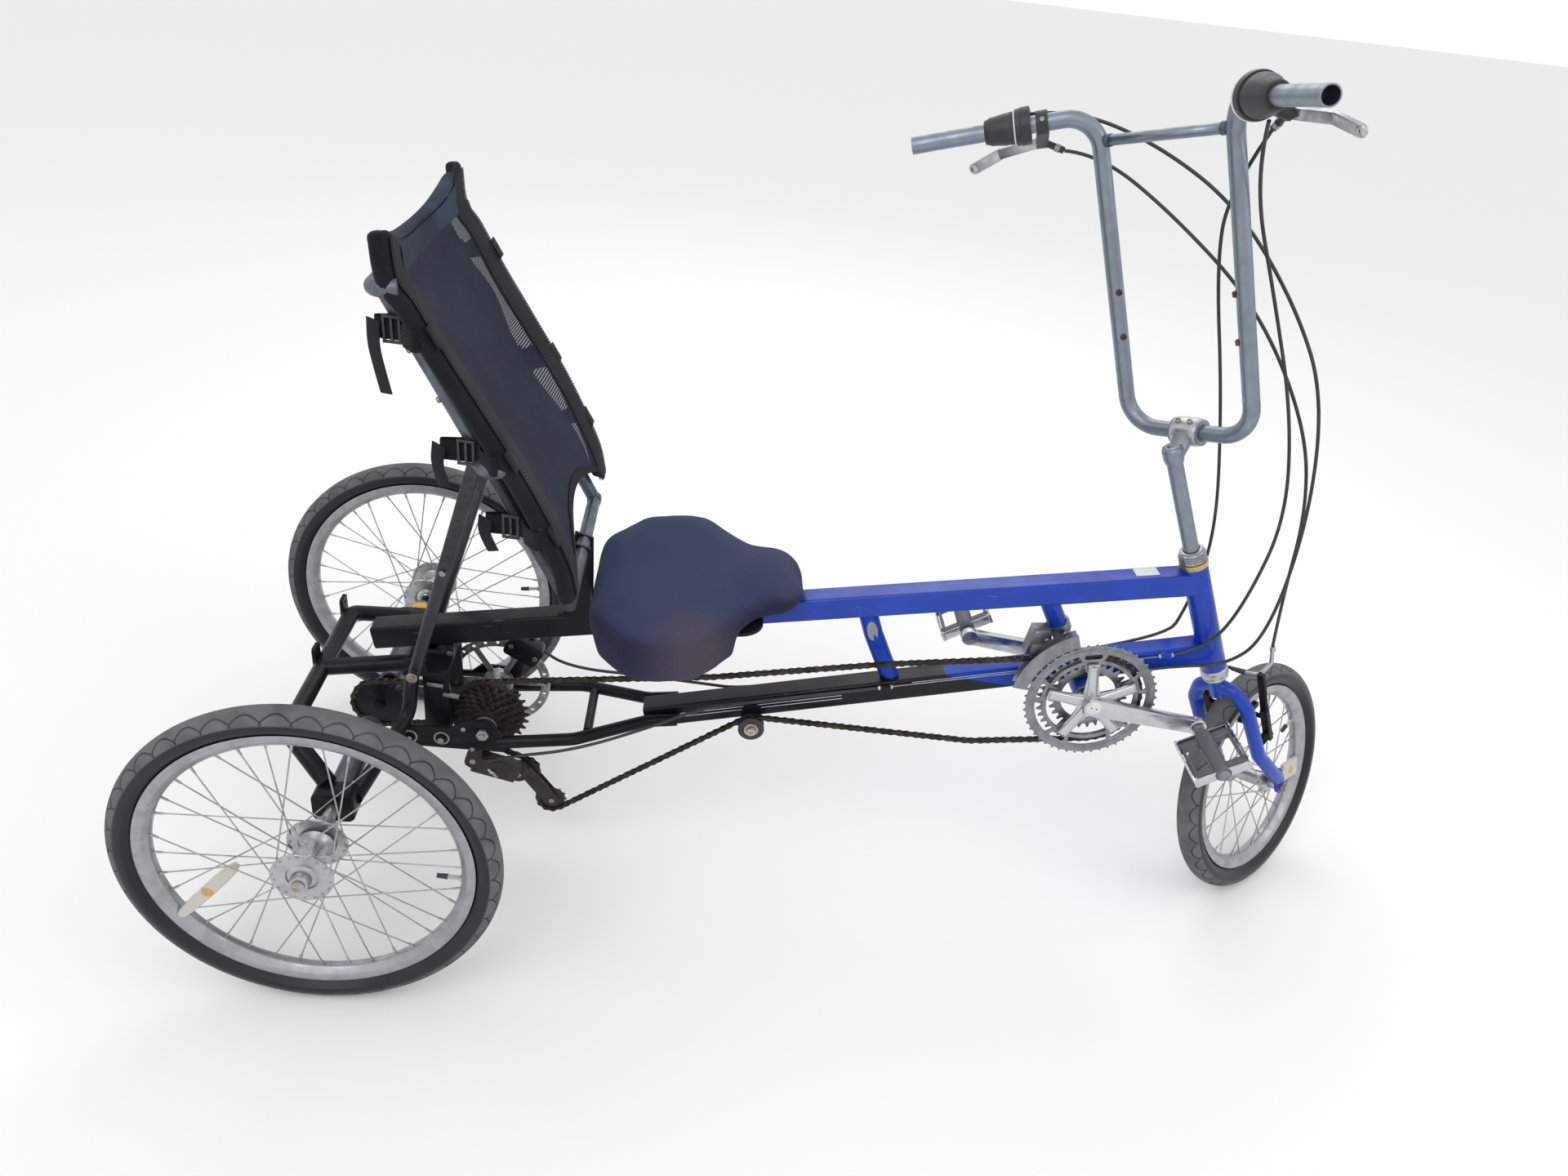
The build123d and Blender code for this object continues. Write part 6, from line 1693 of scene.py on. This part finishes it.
    def _sling_place(self, lines: Sequence[Vector], share: float, y: float, proud: float = 0.0) -> Vector:
        """Gives a place on the sling.

        Args:
            lines: The sling's line from top to bottom.
            share: From 0 at the top to 1 at the bottom.
            y: How far left of the middle.
            proud: How far in front of the cloth.

        Returns:
            The place.
        """
        spot = min(share, 1.0) * (len(lines) - 1)
        index = min(int(spot), len(lines) - 2)
        place = lines[index].lerp(lines[index + 1], spot - index)
        way = (lines[index + 1] - lines[index]).normalized()
        slack = max(0.0, 1 - (y / 192) ** 2)
        sag = 9.0 + 11.0 * math.sin(math.pi * min(1.0, share * 1.06)) ** 0.8
        hem = 26.0 * math.exp(-(share / 0.05) ** 2) * max(0.0, 1 - (y / 178) ** 2) ** 0.8
        fold = 1.4 * math.sin(share * 17 + y / 55) * slack
        place = place - Vector((-way.z, 0, way.x)) * (slack * sag - fold - proud) * MM
        return Vector((place.x, y * MM, place.z - hem * MM))

    @staticmethod
    def _foot(y: float) -> float:
        """Gives how far down the sling's line its arched lower edge lies, at a place left of the middle."""
        return 1.0 - 0.155 * max(0.0, 1 - (y / 163) ** 2) ** 0.75

    def _sling(self) -> None:
        """One open mesh sheet between its bindings, with the upper sleeve and the arched lower edge."""
        lines = eased([HERE.at(x, 0, z) for x, z in self.line], self.rows)
        total = sum((after - before).length for before, after in zip(lines, lines[1:]))
        sheet = self.piece("sling_cloth")
        layer = sheet.mesh.loops.layers.uv.verify()
        grid = bmesh.ops.create_grid(sheet.mesh, x_segments=self.across, y_segments=(len(lines) - 1) * 2, size=0.5)
        spots: dict[bmesh.types.BMVert, tuple[float, float]] = {}
        for corner in grid["verts"]:
            y = corner.co.x * 2 * (self.half - 14)
            share = (0.5 - corner.co.y) * self._foot(y)
            spots[corner] = (y * MM, share * total)
            corner.co = self._sling_place(lines, share, y)
        for face in sheet.mesh.faces:
            for loop in face.loops:
                loop[layer].uv = spots[loop.vert]
        area = sum(face.calc_area() for face in sheet.mesh.faces)
        cloth = sheet.finish("sling_mesh", stands_for=("sling",), sharp=180.0, tidy=False)
        self._trims(lines)

    def _band(self, name: str, finish: str, rows: Sequence[Sequence[Vector]], thick: float) -> bpy.types.Object:
        """Sews a band of cloth through rows of places and gives it thickness.

        Args:
            name: The piece's name.
            finish: The name of its finish.
            rows: Rows of places, each as long as the others.
            thick: Its thickness, or 0 for a tube of cloth whose rows close on themselves.

        Returns:
            The band.
        """
        band = self.piece(name)
        high, wide = len(rows) - 1, len(rows[0]) - 1
        grid = bmesh.ops.create_grid(band.mesh, x_segments=wide, y_segments=high, size=0.5)["verts"]
        layer = band.mesh.loops.layers.uv.verify()
        spots = {corner: (round((0.5 - corner.co.y) * high), round((corner.co.x + 0.5) * wide)) for corner in grid}
        for corner, (row, column) in spots.items():
            corner.co = rows[row][column]
        across, along = (rows[0][1] - rows[0][0]).length, (rows[1][0] - rows[0][0]).length
        for face in band.mesh.faces:
            for loop in face.loops:
                row, column = spots[loop.vert]
                loop[layer].uv = (column * across, row * along)
        if thick:
            bmesh.ops.solidify(band.mesh, geom=list(band.mesh.faces), thickness=thick * MM)
        return band.finish(finish, sharp=60.0)

    def _trims(self, lines: Sequence[Vector]) -> list[bpy.types.Object]:
        """Bindings along both sides and the lower edge, the upper sleeve and their pale stitches."""
        threads = self.piece("sling_stitches")
        trims = []
        for side, name in ((-1, "right"), (1, "left")):
            trims.append(self._band(f"sling_binding_{name}", "sling_binding", self._binding_rows(lines, side), 0.0))
            self._stitch(threads, lines, side)
        parts = [part / 24 for part in range(25)]
        sleeve = [[self._sling_place(lines, share, -140 + 280 * part,
                                     1.2 + 2.4 * math.sin(math.pi * (share - 0.01) / 0.155)) for part in parts]
                  for share in (0.01 + 0.155 * step / 8 for step in range(9))]
        trims.append(self._band("sling_sleeve", "sling_hem", sleeve, 1.0))
        roll = [[self._rolled(lines, -158 + 316 * part, step / 8) for part in parts] for step in range(9)]
        trims.append(self._band("sling_top_roll", "sling_hem", roll, 1.0))
        hem = [[self._sling_place(lines, self._foot(y) - 0.022 * step / 3, y, 1.3) for step in range(4)]
               for y in (-143 + 286 * part / 32 for part in range(33))]
        trims.append(self._band("sling_foot_binding", "sling_binding", hem, 1.0))
        trims.append(threads.finish("pale_thread", tidy=False))
        return trims

    def _binding_rows(self, lines: Sequence[Vector], side: int) -> list[list[Vector]]:
        """Lays a tube of binding round one rail, with rounded ends.

        Args:
            lines: The sling's line from top to bottom.
            side: 1 for the left rail, -1 for the right one.

        Returns:
            Rows of places round the tube.
        """
        steps, middle_y, middle_out = 72, 184, -11
        section = ((136, 0.6), (138, 1.5), (150, 1.7), (165, 1.3), (177, 0.2), (184, -1.8), (191, -4.6), (195.6, -8.6),
                   (197.4, -13.5), (196.4, -18.4), (192.6, -22.4), (187, -23.8), (181, -21.6), (176.5, -15),
                   (171, -8.6), (164, -5.4), (150, -3.4), (138, -2.2), (135.6, -0.8), (136, 0.6))
        ends = ((1.0, 0.0), (0.9, 3.5), (0.62, 6.0), (0.0, 6.6))
        rows = []
        for step in range(-3, steps + 4):
            share = min(1.0, max(0.0, step / steps))
            size, lift = ends[max(0, -step, step - steps)]
            way = lines[0] - lines[1] if step < 0 else lines[-1] - lines[-2]
            rows.append([])
            for y, proud in section:
                y, proud = middle_y + (y - middle_y) * size, middle_out + (proud - middle_out) * size
                place = self._sling_place(lines, min(share, self._foot(y)), side * y, proud)
                rows[-1].append(place + way.normalized() * lift * MM)
        return rows

    def _stitch(self, threads: Workpiece, lines: Sequence[Vector], side: int) -> None:
        """Sews two rows of stitches along one side's binding, down to the lower edge."""
        count = 150
        for inset, proud in ((22.0, 1.1), (self.binding - 5.0, 2.0)):
            y = side * (self.half - 2 - inset)
            for index in range(count):
                share, end = (index + 0.2) / count, (index + 0.2) / count + 0.5 / count
                if end > self._foot(y):
                    break
                threads.rod(self._sling_place(lines, share, y, proud), self._sling_place(lines, end, y, proud), 0.65, 5)

    def _rolled(self, lines: Sequence[Vector], y: float, share: float) -> Vector:
        """Gives a place on the rolled top hem, which folds back over the upper bow."""
        angle = math.pi * share
        drop = Vector((-0.012 * (1 - math.cos(angle)), 0, 0.009 * math.sin(angle) - 0.016 * share ** 2))
        return self._sling_place(lines, 0.0, y) + drop

    def _straps(self) -> None:
        """Webbing straps from rail to rail behind the uprights, with ladder locks, loose tails and sewn patches."""
        patches, buckles = self.piece("strap_patches"), self.piece("strap_buckles")
        for index, strap in enumerate(self.straps):
            rail, loop = strap.rail - strap.upright, strap.loop
            half = [(rail - 4, 197), (rail - 9, 199.5), (rail - 16, 194), (rail - 26, 182), (6, 169), (-10, 164),
                    (4 - loop, 162), (-loop, 158.5), (3 - loop, 155), (-16, 151.5), (-13, 146), (-12.4, 138)]
            path = [*((x, -y) for x, y in half), (-12.4, 0), *reversed(half)]
            webbing = self.piece(f"strap_{index + 1}")
            route = [HERE.at(strap.upright + x, y, strap.height) for x, y in path]
            webbing.tube(eased(route, 3), 13.0, 16, 0.06, UP)
            for side in (-1, 1):
                places = [HERE.at(strap.upright + x, side * (160 + 2 * step), strap.height + z)
                          for step, (x, z) in enumerate(strap.tail)]
                webbing.tube(eased(places, 5), 12.6, 16, 0.07, Vector((0.75, 0.66 * side, 0)))
                seat = HERE.at(strap.upright - 10, side * 166.5, strap.height)
                frame = facing(seat, Vector((-0.12, side, 0)), AHEAD)
                for across in (-9, 0, 9):
                    buckles.block(moved(frame, across, 0, 0), (3.4, 31, 3.6), 1.0)
                for along in (-14.6, 14.6):
                    buckles.block(moved(frame, 0, along, 0), (22, 3.4, 3.6), 1.0)
                patch = HERE.at(strap.rail + 11, side * 187, strap.height + 4)
                patches.block(facing(patch, Vector((0.866, 0, 0.5)), Vector((-0.5, 0, 0.866))), (27, 22, 2.2), 0.8)
            layer = webbing.mesh.loops.layers.uv.verify()
            for face in webbing.mesh.faces:
                for loop_corner in face.loops:
                    place = loop_corner.vert.co
                    loop_corner[layer].uv = ((place.x + place.y) * 0.7, place.z)
            webbing.finish("webbing", stands_for=("straps",) if index == 0 else (), sharp=50.0)
        patches.finish("webbing")
        buckles.finish("black_moulding")


@dataclass
class Steering(Assembly):
    """Fork, stem, handlebar, controls, front brake and cables."""

    cable: float = 2.4

    def build(self) -> None:
        """Builds everything that turns with the bar, and the cables to it."""
        for node, finish, edge, slot in (
            ("fork", "blue_enamel", 0.6, None), ("front_axle", "zinc_bolt", 0.5, None),
            ("handlebar", "grey_tube", 0.0, None), ("stem", "grey_tube", 1.4, None),
            ("brake_levers", "black_moulding", 1.6, "alloy"), ("front_brake", "black_enamel", 1.0, None),
        ):
            self.dress(node, finish, edge, Body.STEERING, slot)
        self._stem_fittings()
        self._bar_bolts()
        self._shifters()
        self._lever_fittings()
        self._fork_fittings()
        self._cables()
        LOG.info("steering built")

    def _stem_fittings(self) -> None:
        """The stem clamp's cap and bolts, and the knuckle on top of the quill with its hexagon hole."""
        self.turned("stem_clamp", facing(HERE.turned(42, 0, 396), HERE.left, HERE.ahead),
                    [(11.3, -21), (17, -21), (19.5, -16), (20, -8), (20, 8), (19.5, 16), (17, 21), (11.3, 21)], 40,
                    "bright_alloy", Body.STEERING, slot="grey_steel")
        self.turned("stem_knuckle", facing(HERE.turned(0, 0, 392), HERE.up, HERE.ahead),
                    [(12.6, -20), (14.4, -12), (14.6, -2), (13.4, 3), (10.6, 5), (6.4, 5.2), (5.4, 4), (5.4, -5),
                     (0, -5)], 32, "grey_tube", Body.STEERING, False, sharp=50.0)
        bolts = self.piece("stem_bolts")
        for side in (-1, 1):
            bolts.bolt(HERE.turned(36, 9 * side, 414), HERE.up - HERE.ahead * 0.3, 8, 5, socket=True)
        bolts.finish("zinc_bolt", Body.STEERING)

    def _bar_bolts(self) -> None:
        """Rusty bolts inside the bar's uprights, and the collars of its cross brace."""
        bolts, collars = self.piece("bar_bolts"), self.piece("brace_collars")
        outline = [(0, 0), (4.6, 0), (4.6, 1.6), (3.2, 4.6), (1.6, 4.8), (1.6, 3), (0, 3)]
        for side in (-1, 1):
            for share in (0.46, 0.314):
                middle = HERE.turned(42, 95.5 * side, 396).lerp(HERE.turned(103, 95 * side, 819), share)
                way = -HERE.ahead * 0.55 - HERE.left * side * 0.83
                bolts.lathe(facing(middle + way * 10.6 * MM, way), outline, 20, ring=False)
            start = HERE.turned(98, 78 * side, 785)
            collars.rod(start, start + HERE.left * side * 0.007, 8.2, 24)
        bolts.finish("rusty_bolt", Body.STEERING)
        collars.finish("worn_tube", Body.STEERING)

    def _shifters(self) -> None:
        """Turned and ribbed twist shifters, with white rings and their cable housings."""
        left, right = (facing(*HERE.grip(side)[:3]) for side in (1, -1))
        self.turned("shifter_left_barrel", left, [(11.2, 84), (22.6, 84), (24, 85.2), (24, 96), (23, 97), (23, 102.6),
                                                  (19.2, 103.6), (11.2, 103.6)],
                    48, "black_moulding", Body.STEERING, stands_for=("shifters",))
        grip = self.piece("shifter_left_grip")
        grip.lathe(left, [(11.2, 104.2), (19.2, 104.2), (19.8, 105.4), (20, 117), (17.4, 135), (15, 142.4),
                          (13.8, 143.4), (11.2, 143.4)], 48)
        self._ribs(grip, left, (20.4, 106), (17.6, 136), 20)
        grip.finish("black_moulding", Body.STEERING)
        rings = self.piece("shifter_rings")
        rings.lathe(left, [(18, 103.4), (21.6, 103.4), (22, 103.8), (22, 105), (21.2, 105.6), (18, 105.6)], 48)
        rings.lathe(right, [(23, 59), (26.8, 59.2), (27.5, 60), (27.5, 62), (26.8, 62.6), (23, 62.6)], 48)
        rings.finish("white_ring", Body.STEERING)
        grip = self.piece("shifter_right_grip")
        grip.lathe(right, [(11.2, 60), (24.6, 60), (26.4, 61.6), (27, 71), (26.2, 74), (11.2, 74)], 48)
        grip.lathe(right, [(11.2, 74.6), (24, 74.6), (24.2, 78), (23.6, 89), (18, 107.6), (16, 119), (14.6, 121),
                           (11.2, 121)], 48)
        self._ribs(grip, right, (24.4, 78), (17.4, 112), 22)
        grip.finish("black_moulding", Body.STEERING)
        box = self.piece("shifter_housings")
        _, along, up, ahead = HERE.grip(1)
        box.block(facing(HERE.on_grip(1, 90, 9, 17), up * 0.4 + ahead, along), (13, 15, 14), 3.0, 3)
        _, along, up, _ = HERE.grip(-1)
        box.block(facing(HERE.on_grip(-1, 68, -17, 6), -up, along), (13, 15, 14), 3.0, 3)
        box.finish("black_moulding", Body.STEERING)

    @staticmethod
    def _ribs(piece: Workpiece, frame: Matrix, low: tuple[float, float], high: tuple[float, float], count: int) -> None:
        """Adds ribs along a tapering grip, between two pairs of radius and distance along it."""
        for index in range(count):
            turn = TURN * index / count
            start, end = (inside(frame, (radius - 0.9) * math.cos(turn), (radius - 0.9) * math.sin(turn), along)
                          for radius, along in (low, high))
            piece.rod(start, end, 1.2, 8, 0.9)

    def _lever_fittings(self) -> None:
        """Clamp bolts, pivot screws, barrel adjusters and the levers' rounded blades."""
        metal, blades = self.piece("lever_fittings"), self.piece("lever_blades")
        for side, middle in ((1, 69.0), (-1, 50.5)):
            _, _, up, ahead = HERE.grip(side)
            metal.bolt(HERE.on_grip(side, middle, 8, -14), up * 0.4 - ahead, 6, 4, socket=True)
            metal.bolt(HERE.on_grip(side, middle + 3, -24, 36), up, 7, 3, socket=True)
            nose = HERE.on_grip(side, middle - 20, -44, 28)
            way = (HERE.on_grip(side, middle - 24, -46, 27) - HERE.on_grip(side, middle, -33, 33)).normalized()
            metal.rod(nose - way * 0.008, nose - way * 0.001, 5.4, 20)
            metal.rod(nose - way * 0.001, nose + way * 0.004, 4.2, 16, 3.4)
            knuckle, elbow = HERE.on_grip(side, middle + 2, -32, 38), HERE.on_grip(side, middle + 62, -44, 58)
            tip = HERE.on_grip(side, middle + 98, -60, 66)
            back = elbow + (knuckle - elbow).normalized() * 3 * MM
            for start, end, wide, edge in ((knuckle, elbow, (7.8, 13.8), 0.7), (back, tip, (6.9, 15.9), 2.2)):
                frame = facing(start.lerp(end, 0.5), end - start, ahead)
                blades.block(frame, (*wide, (end - start).length / MM + 0.6), edge, 3)
            blades.ball(tip, 8.4, (0.62, 1, 0.9), facing(tip, tip - elbow, ahead))
        metal.finish("zinc_bolt", Body.STEERING)
        blades.finish("bright_alloy", Body.STEERING, slot="alloy")

    def _fork_fittings(self) -> None:
        """Front brake bolts and pads, noodle ferrule, boot and the axle's washers."""
        bolts, pads = self.piece("front_brake_bolts"), self.piece("front_brake_pads")
        for side in (-1, 1):
            bolts.bolt(HERE.turned(40.2, 48 * side, -146), HERE.ahead, 9, 4, washer=8, socket=True)
            bolts.bolt(HERE.turned(40.5, 49.6 * side, -112), HERE.ahead, 8, 4)
            bolts.bolt(HERE.turned(HERE.rake, 63.6 * side, -HERE.fork_length), HERE.left * side, 11, 2.2)
            pads.block(facing(HERE.turned(38, 18.6 * side, -112), HERE.left, HERE.ahead), (49, 9, 6.5), 1.6, 3)
        bolts.bolt(HERE.turned(47.8, -46, -31), HERE.ahead, 8, 3, socket=True)
        bolts.finish("zinc_bolt", Body.STEERING)
        noodle =self.piece("brake_noodle")
        route = [HERE.turned(70, -58, 8), HERE.turned(67, -54, -22), HERE.turned(48, -44, -34),
                 HERE.turned(44, -22, -34)]
        noodle.tube(rounded(route, 14), 3.2, 14)
        noodle.rod(HERE.turned(70.2, -58.3, 11), HERE.turned(69.8, -57.8, 2), 4.4, 18)
        noodle.finish("bright_alloy", Body.STEERING)
        self.turned("brake_boot", facing(route[-1], HERE.left),
                    [(1.5, 0), (4.6, 0), (3.4, 2), (4.6, 4.4), (3.2, 6.6), (4.3, 9), (3.0, 11.5), (3.9, 14), (2.6, 17),
                     (3.2, 20), (2.2, 24), (1.5, 24)], 20, "black_moulding", Body.STEERING)
        pads.finish("black_moulding", Body.STEERING)

    def _route(self, name: str, points: Sequence[Vector], body: Body | None,
               stands_for: Sequence[str] = ()) -> bpy.types.Object:
        """Lays a cable as one smooth spline with its route's points as control points.

        Args:
            name: The piece's name.
            points: Its route.
            body: The body it rides on, or None where it bends between two.
            stands_for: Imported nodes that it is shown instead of.

        Returns:
            The cable as a mesh.
        """
        curve = bpy.data.curves.new(name, "CURVE")
        curve.dimensions, curve.bevel_depth, curve.bevel_resolution = "3D", self.cable * MM, 3
        curve.resolution_u, curve.use_fill_caps = 10, True
        spline = curve.splines.new("NURBS")
        spline.points.add(len(points) - 1)
        for place, control in zip(points, spline.points):
            control.co = (*place, 1.0)
        spline.order_u, spline.use_endpoint_u = 3, True
        holder = bpy.data.objects.new(f"{name}_route", curve)
        bpy.context.scene.collection.objects.link(holder)
        graph = bpy.context.evaluated_depsgraph_get()
        mesh = bpy.data.meshes.new_from_object(holder.evaluated_get(graph))
        bpy.data.objects.remove(holder)
        return self.shop.place(name, mesh, "cable_sheath", body, stands_for, sharp=40.0)

    def _cables(self) -> None:
        """Four cables from the bar; three of them bend between the steering and the frame."""
        at, turned, grip, tube = HERE.at, HERE.turned, HERE.on_grip, HERE.bottom_tube
        side = 21.6
        front_brake = [grip(1, 44.5, -46.2, 26.9), turned(118, 116, 762), turned(127, 30, 674), turned(124, -75, 545),
                       turned(115, -126, 380), turned(98, -124, 255), turned(84, -78, 100), turned(70.1, -58.4, 10.5)]
        self._route("front_brake_cable", front_brake, Body.STEERING, ("cable_front_brake",))
        front_shift = [grip(1, 83.5, 9, 21), grip(1, 30, 4, 30), turned(134, 40, 764), turned(138, -60, 672),
                       turned(142, -118, 532), turned(128, -148, 413), turned(76, -134, 240), at(1296, -52, 500),
                       at(1262, -30, 436), tube(1195, -side, -9), tube(1010, -side, -9), at(987, -32, 388),
                       at(977, -30, 414), at(975, -22, 433)]
        rear_shift = [grip(-1, 70, -29.5, 6), turned(100, -108, 720), turned(114, -106, 560), turned(102, -116, 400),
                      turned(86, -98, 240), at(1258, -34, 556), at(1236, -30, 480), tube(1200, -side, 12),
                      tube(1181.5, -side, 12)]
        rear_brake = [grip(-1, 25.5, -46.2, 26.9), turned(112, -66, 703), turned(110, -36, 613), turned(92, -24, 420),
                      turned(75, 9, 200), at(1206, 27, 506), tube(1184, side, 4), tube(560, side, 4), at(480, 31, 296),
                      at(390, 50, 290), at(290, 76, 276), at(236, 74, 300), at(219, 64, 339)]
        for name, points, start, end in (("front_shift", front_shift, 5, 8), ("rear_shift", rear_shift, 3, 6),
                                         ("rear_brake", rear_brake, 3, 6)):
            cable = self._route(f"{name}_cable", points, None, (f"cable_{name}",))
            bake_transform(cable, Body.STEERING.value, Body.FRAME.value, start=tuple(points[start]), end=tuple(points[end]))
        wire = self.piece("rear_shift_wire")
        wire.rod(tube(1164.5, -side, 12), tube(768.5, -side, 12), 0.9, 8)
        wire.finish("zinc_bolt")
        tail = [tube(751.5, -side, 12), tube(560, -side, 12), at(480, -30, 291), at(410, -50, 266), at(300, -82, 240),
                at(210, -82, 222), at(170, -73, 202)]
        self._route("rear_shift_cable_tail", tail, Body.FRAME)


@dataclass
class Stage:
    """Floor, lamps and the camera at the photograph's view."""

    place: tuple[float, float, float] = (-0.2098, -1.4092, 1.3372)
    azimuth: float = -5.634
    elevation: float = 30.674
    roll: float = 7.077
    lens: float = 26.07

    def build(self) -> None:
        """Sets the floor, the light and the camera."""
        scene = bpy.context.scene
        scene.view_settings.view_transform = "Standard"
        self._floor()
        self._world(scene)
        for name, place, size, power in (("key", (-1.6, -2.6, 3.4), 2.6, 36.0), ("fill", (2.6, -1.6, 2.6), 2.4, 14.0),
                                         ("back", (0.2, 2.8, 3.0), 2.6, 20.0)):
            lamp = bpy.data.lights.new(name, "AREA")
            lamp.shape, lamp.size, lamp.energy = "DISK", size, power
            holder = bpy.data.objects.new(name, lamp)
            holder.matrix_world = facing(Vector(place), Vector(place) - UP * 0.4)
            scene.collection.objects.link(holder)
        self._camera(scene)

    def _floor(self) -> None:
        """A plain pale floor that shows white to the camera and keeps the shadow."""
        mesh = bmesh.new()
        bmesh.ops.create_grid(mesh, x_segments=1, y_segments=1, size=30)
        data = bpy.data.meshes.new("floor")
        mesh.to_mesh(data)
        mesh.free()
        floor = bpy.data.objects.new("floor", data)
        bpy.context.scene.collection.objects.link(floor)
        material = bpy.data.materials.new("pale_floor")
        material.use_nodes = True
        shader = material.node_tree.nodes["Principled BSDF"]
        shader.inputs["Base Color"].default_value = (0.88, 0.88, 0.88, 1.0)
        shader.inputs["Roughness"].default_value = 0.9
        data.materials.append(material)

    @staticmethod
    def _world(scene: bpy.types.Scene) -> None:
        """Soft light all round, and white behind to the camera and in reflections."""
        world = bpy.data.worlds.new("studio")
        scene.world = world
        world.use_nodes = True
        sheet = NodeSheet(world.node_tree)
        sheet.tree.nodes.clear()
        path = sheet.add("LightPath").outputs
        plain = sheet.larger(path["Is Camera Ray"],
                             sheet.larger(path["Is Glossy Ray"], path["Is Transmission Ray"]))
        strength = sheet.times_plus(plain, 0.06, 0.94)
        background = sheet.add("Background", {"Color": (1.0, 1.0, 1.0, 1.0), "Strength": strength})
        sheet.add("OutputWorld", {0: background.outputs[0]})

    def _camera(self, scene: bpy.types.Scene) -> None:
        """Places the camera where the photograph was taken from."""
        az, el, roll = (math.radians(angle) for angle in (self.azimuth, self.elevation, self.roll))
        ahead = Vector((-math.sin(az) * math.cos(el), math.cos(az) * math.cos(el), -math.sin(el)))
        right = Vector((math.cos(az), math.sin(az), 0))
        up = right.cross(ahead)
        x_way = right * math.cos(roll) + up * math.sin(roll)
        y_way = up * math.cos(roll) - right * math.sin(roll)
        data = bpy.data.cameras.new("camera")
        data.lens, data.sensor_width, data.sensor_fit = self.lens, 36.0, "HORIZONTAL"
        data.clip_start, data.clip_end = 0.05, 60.0
        camera = bpy.data.objects.new("camera", data)
        turn = Matrix((x_way, y_way, -ahead)).transposed().to_4x4()
        camera.matrix_world = Matrix.Translation(Vector(self.place)) @ turn
        scene.collection.objects.link(camera)
        scene.camera = camera


def main() -> None:
    """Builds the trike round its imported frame."""
    logging.basicConfig(level=logging.INFO, format="%(name)s: %(message)s")
    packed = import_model()
    shop = Workshop(packed["nodes"], build_effects())
    Stage().build()
    for assembly in (Frame(shop), Wheels(shop), Drive(shop), Seat(shop), Steering(shop)):
        assembly.build()
    for piece in shop.made:
        LOG.info("piece %s with %d faces", piece.name, len(piece.data.polygons))
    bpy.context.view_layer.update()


if __name__ == "__main__":
    main()
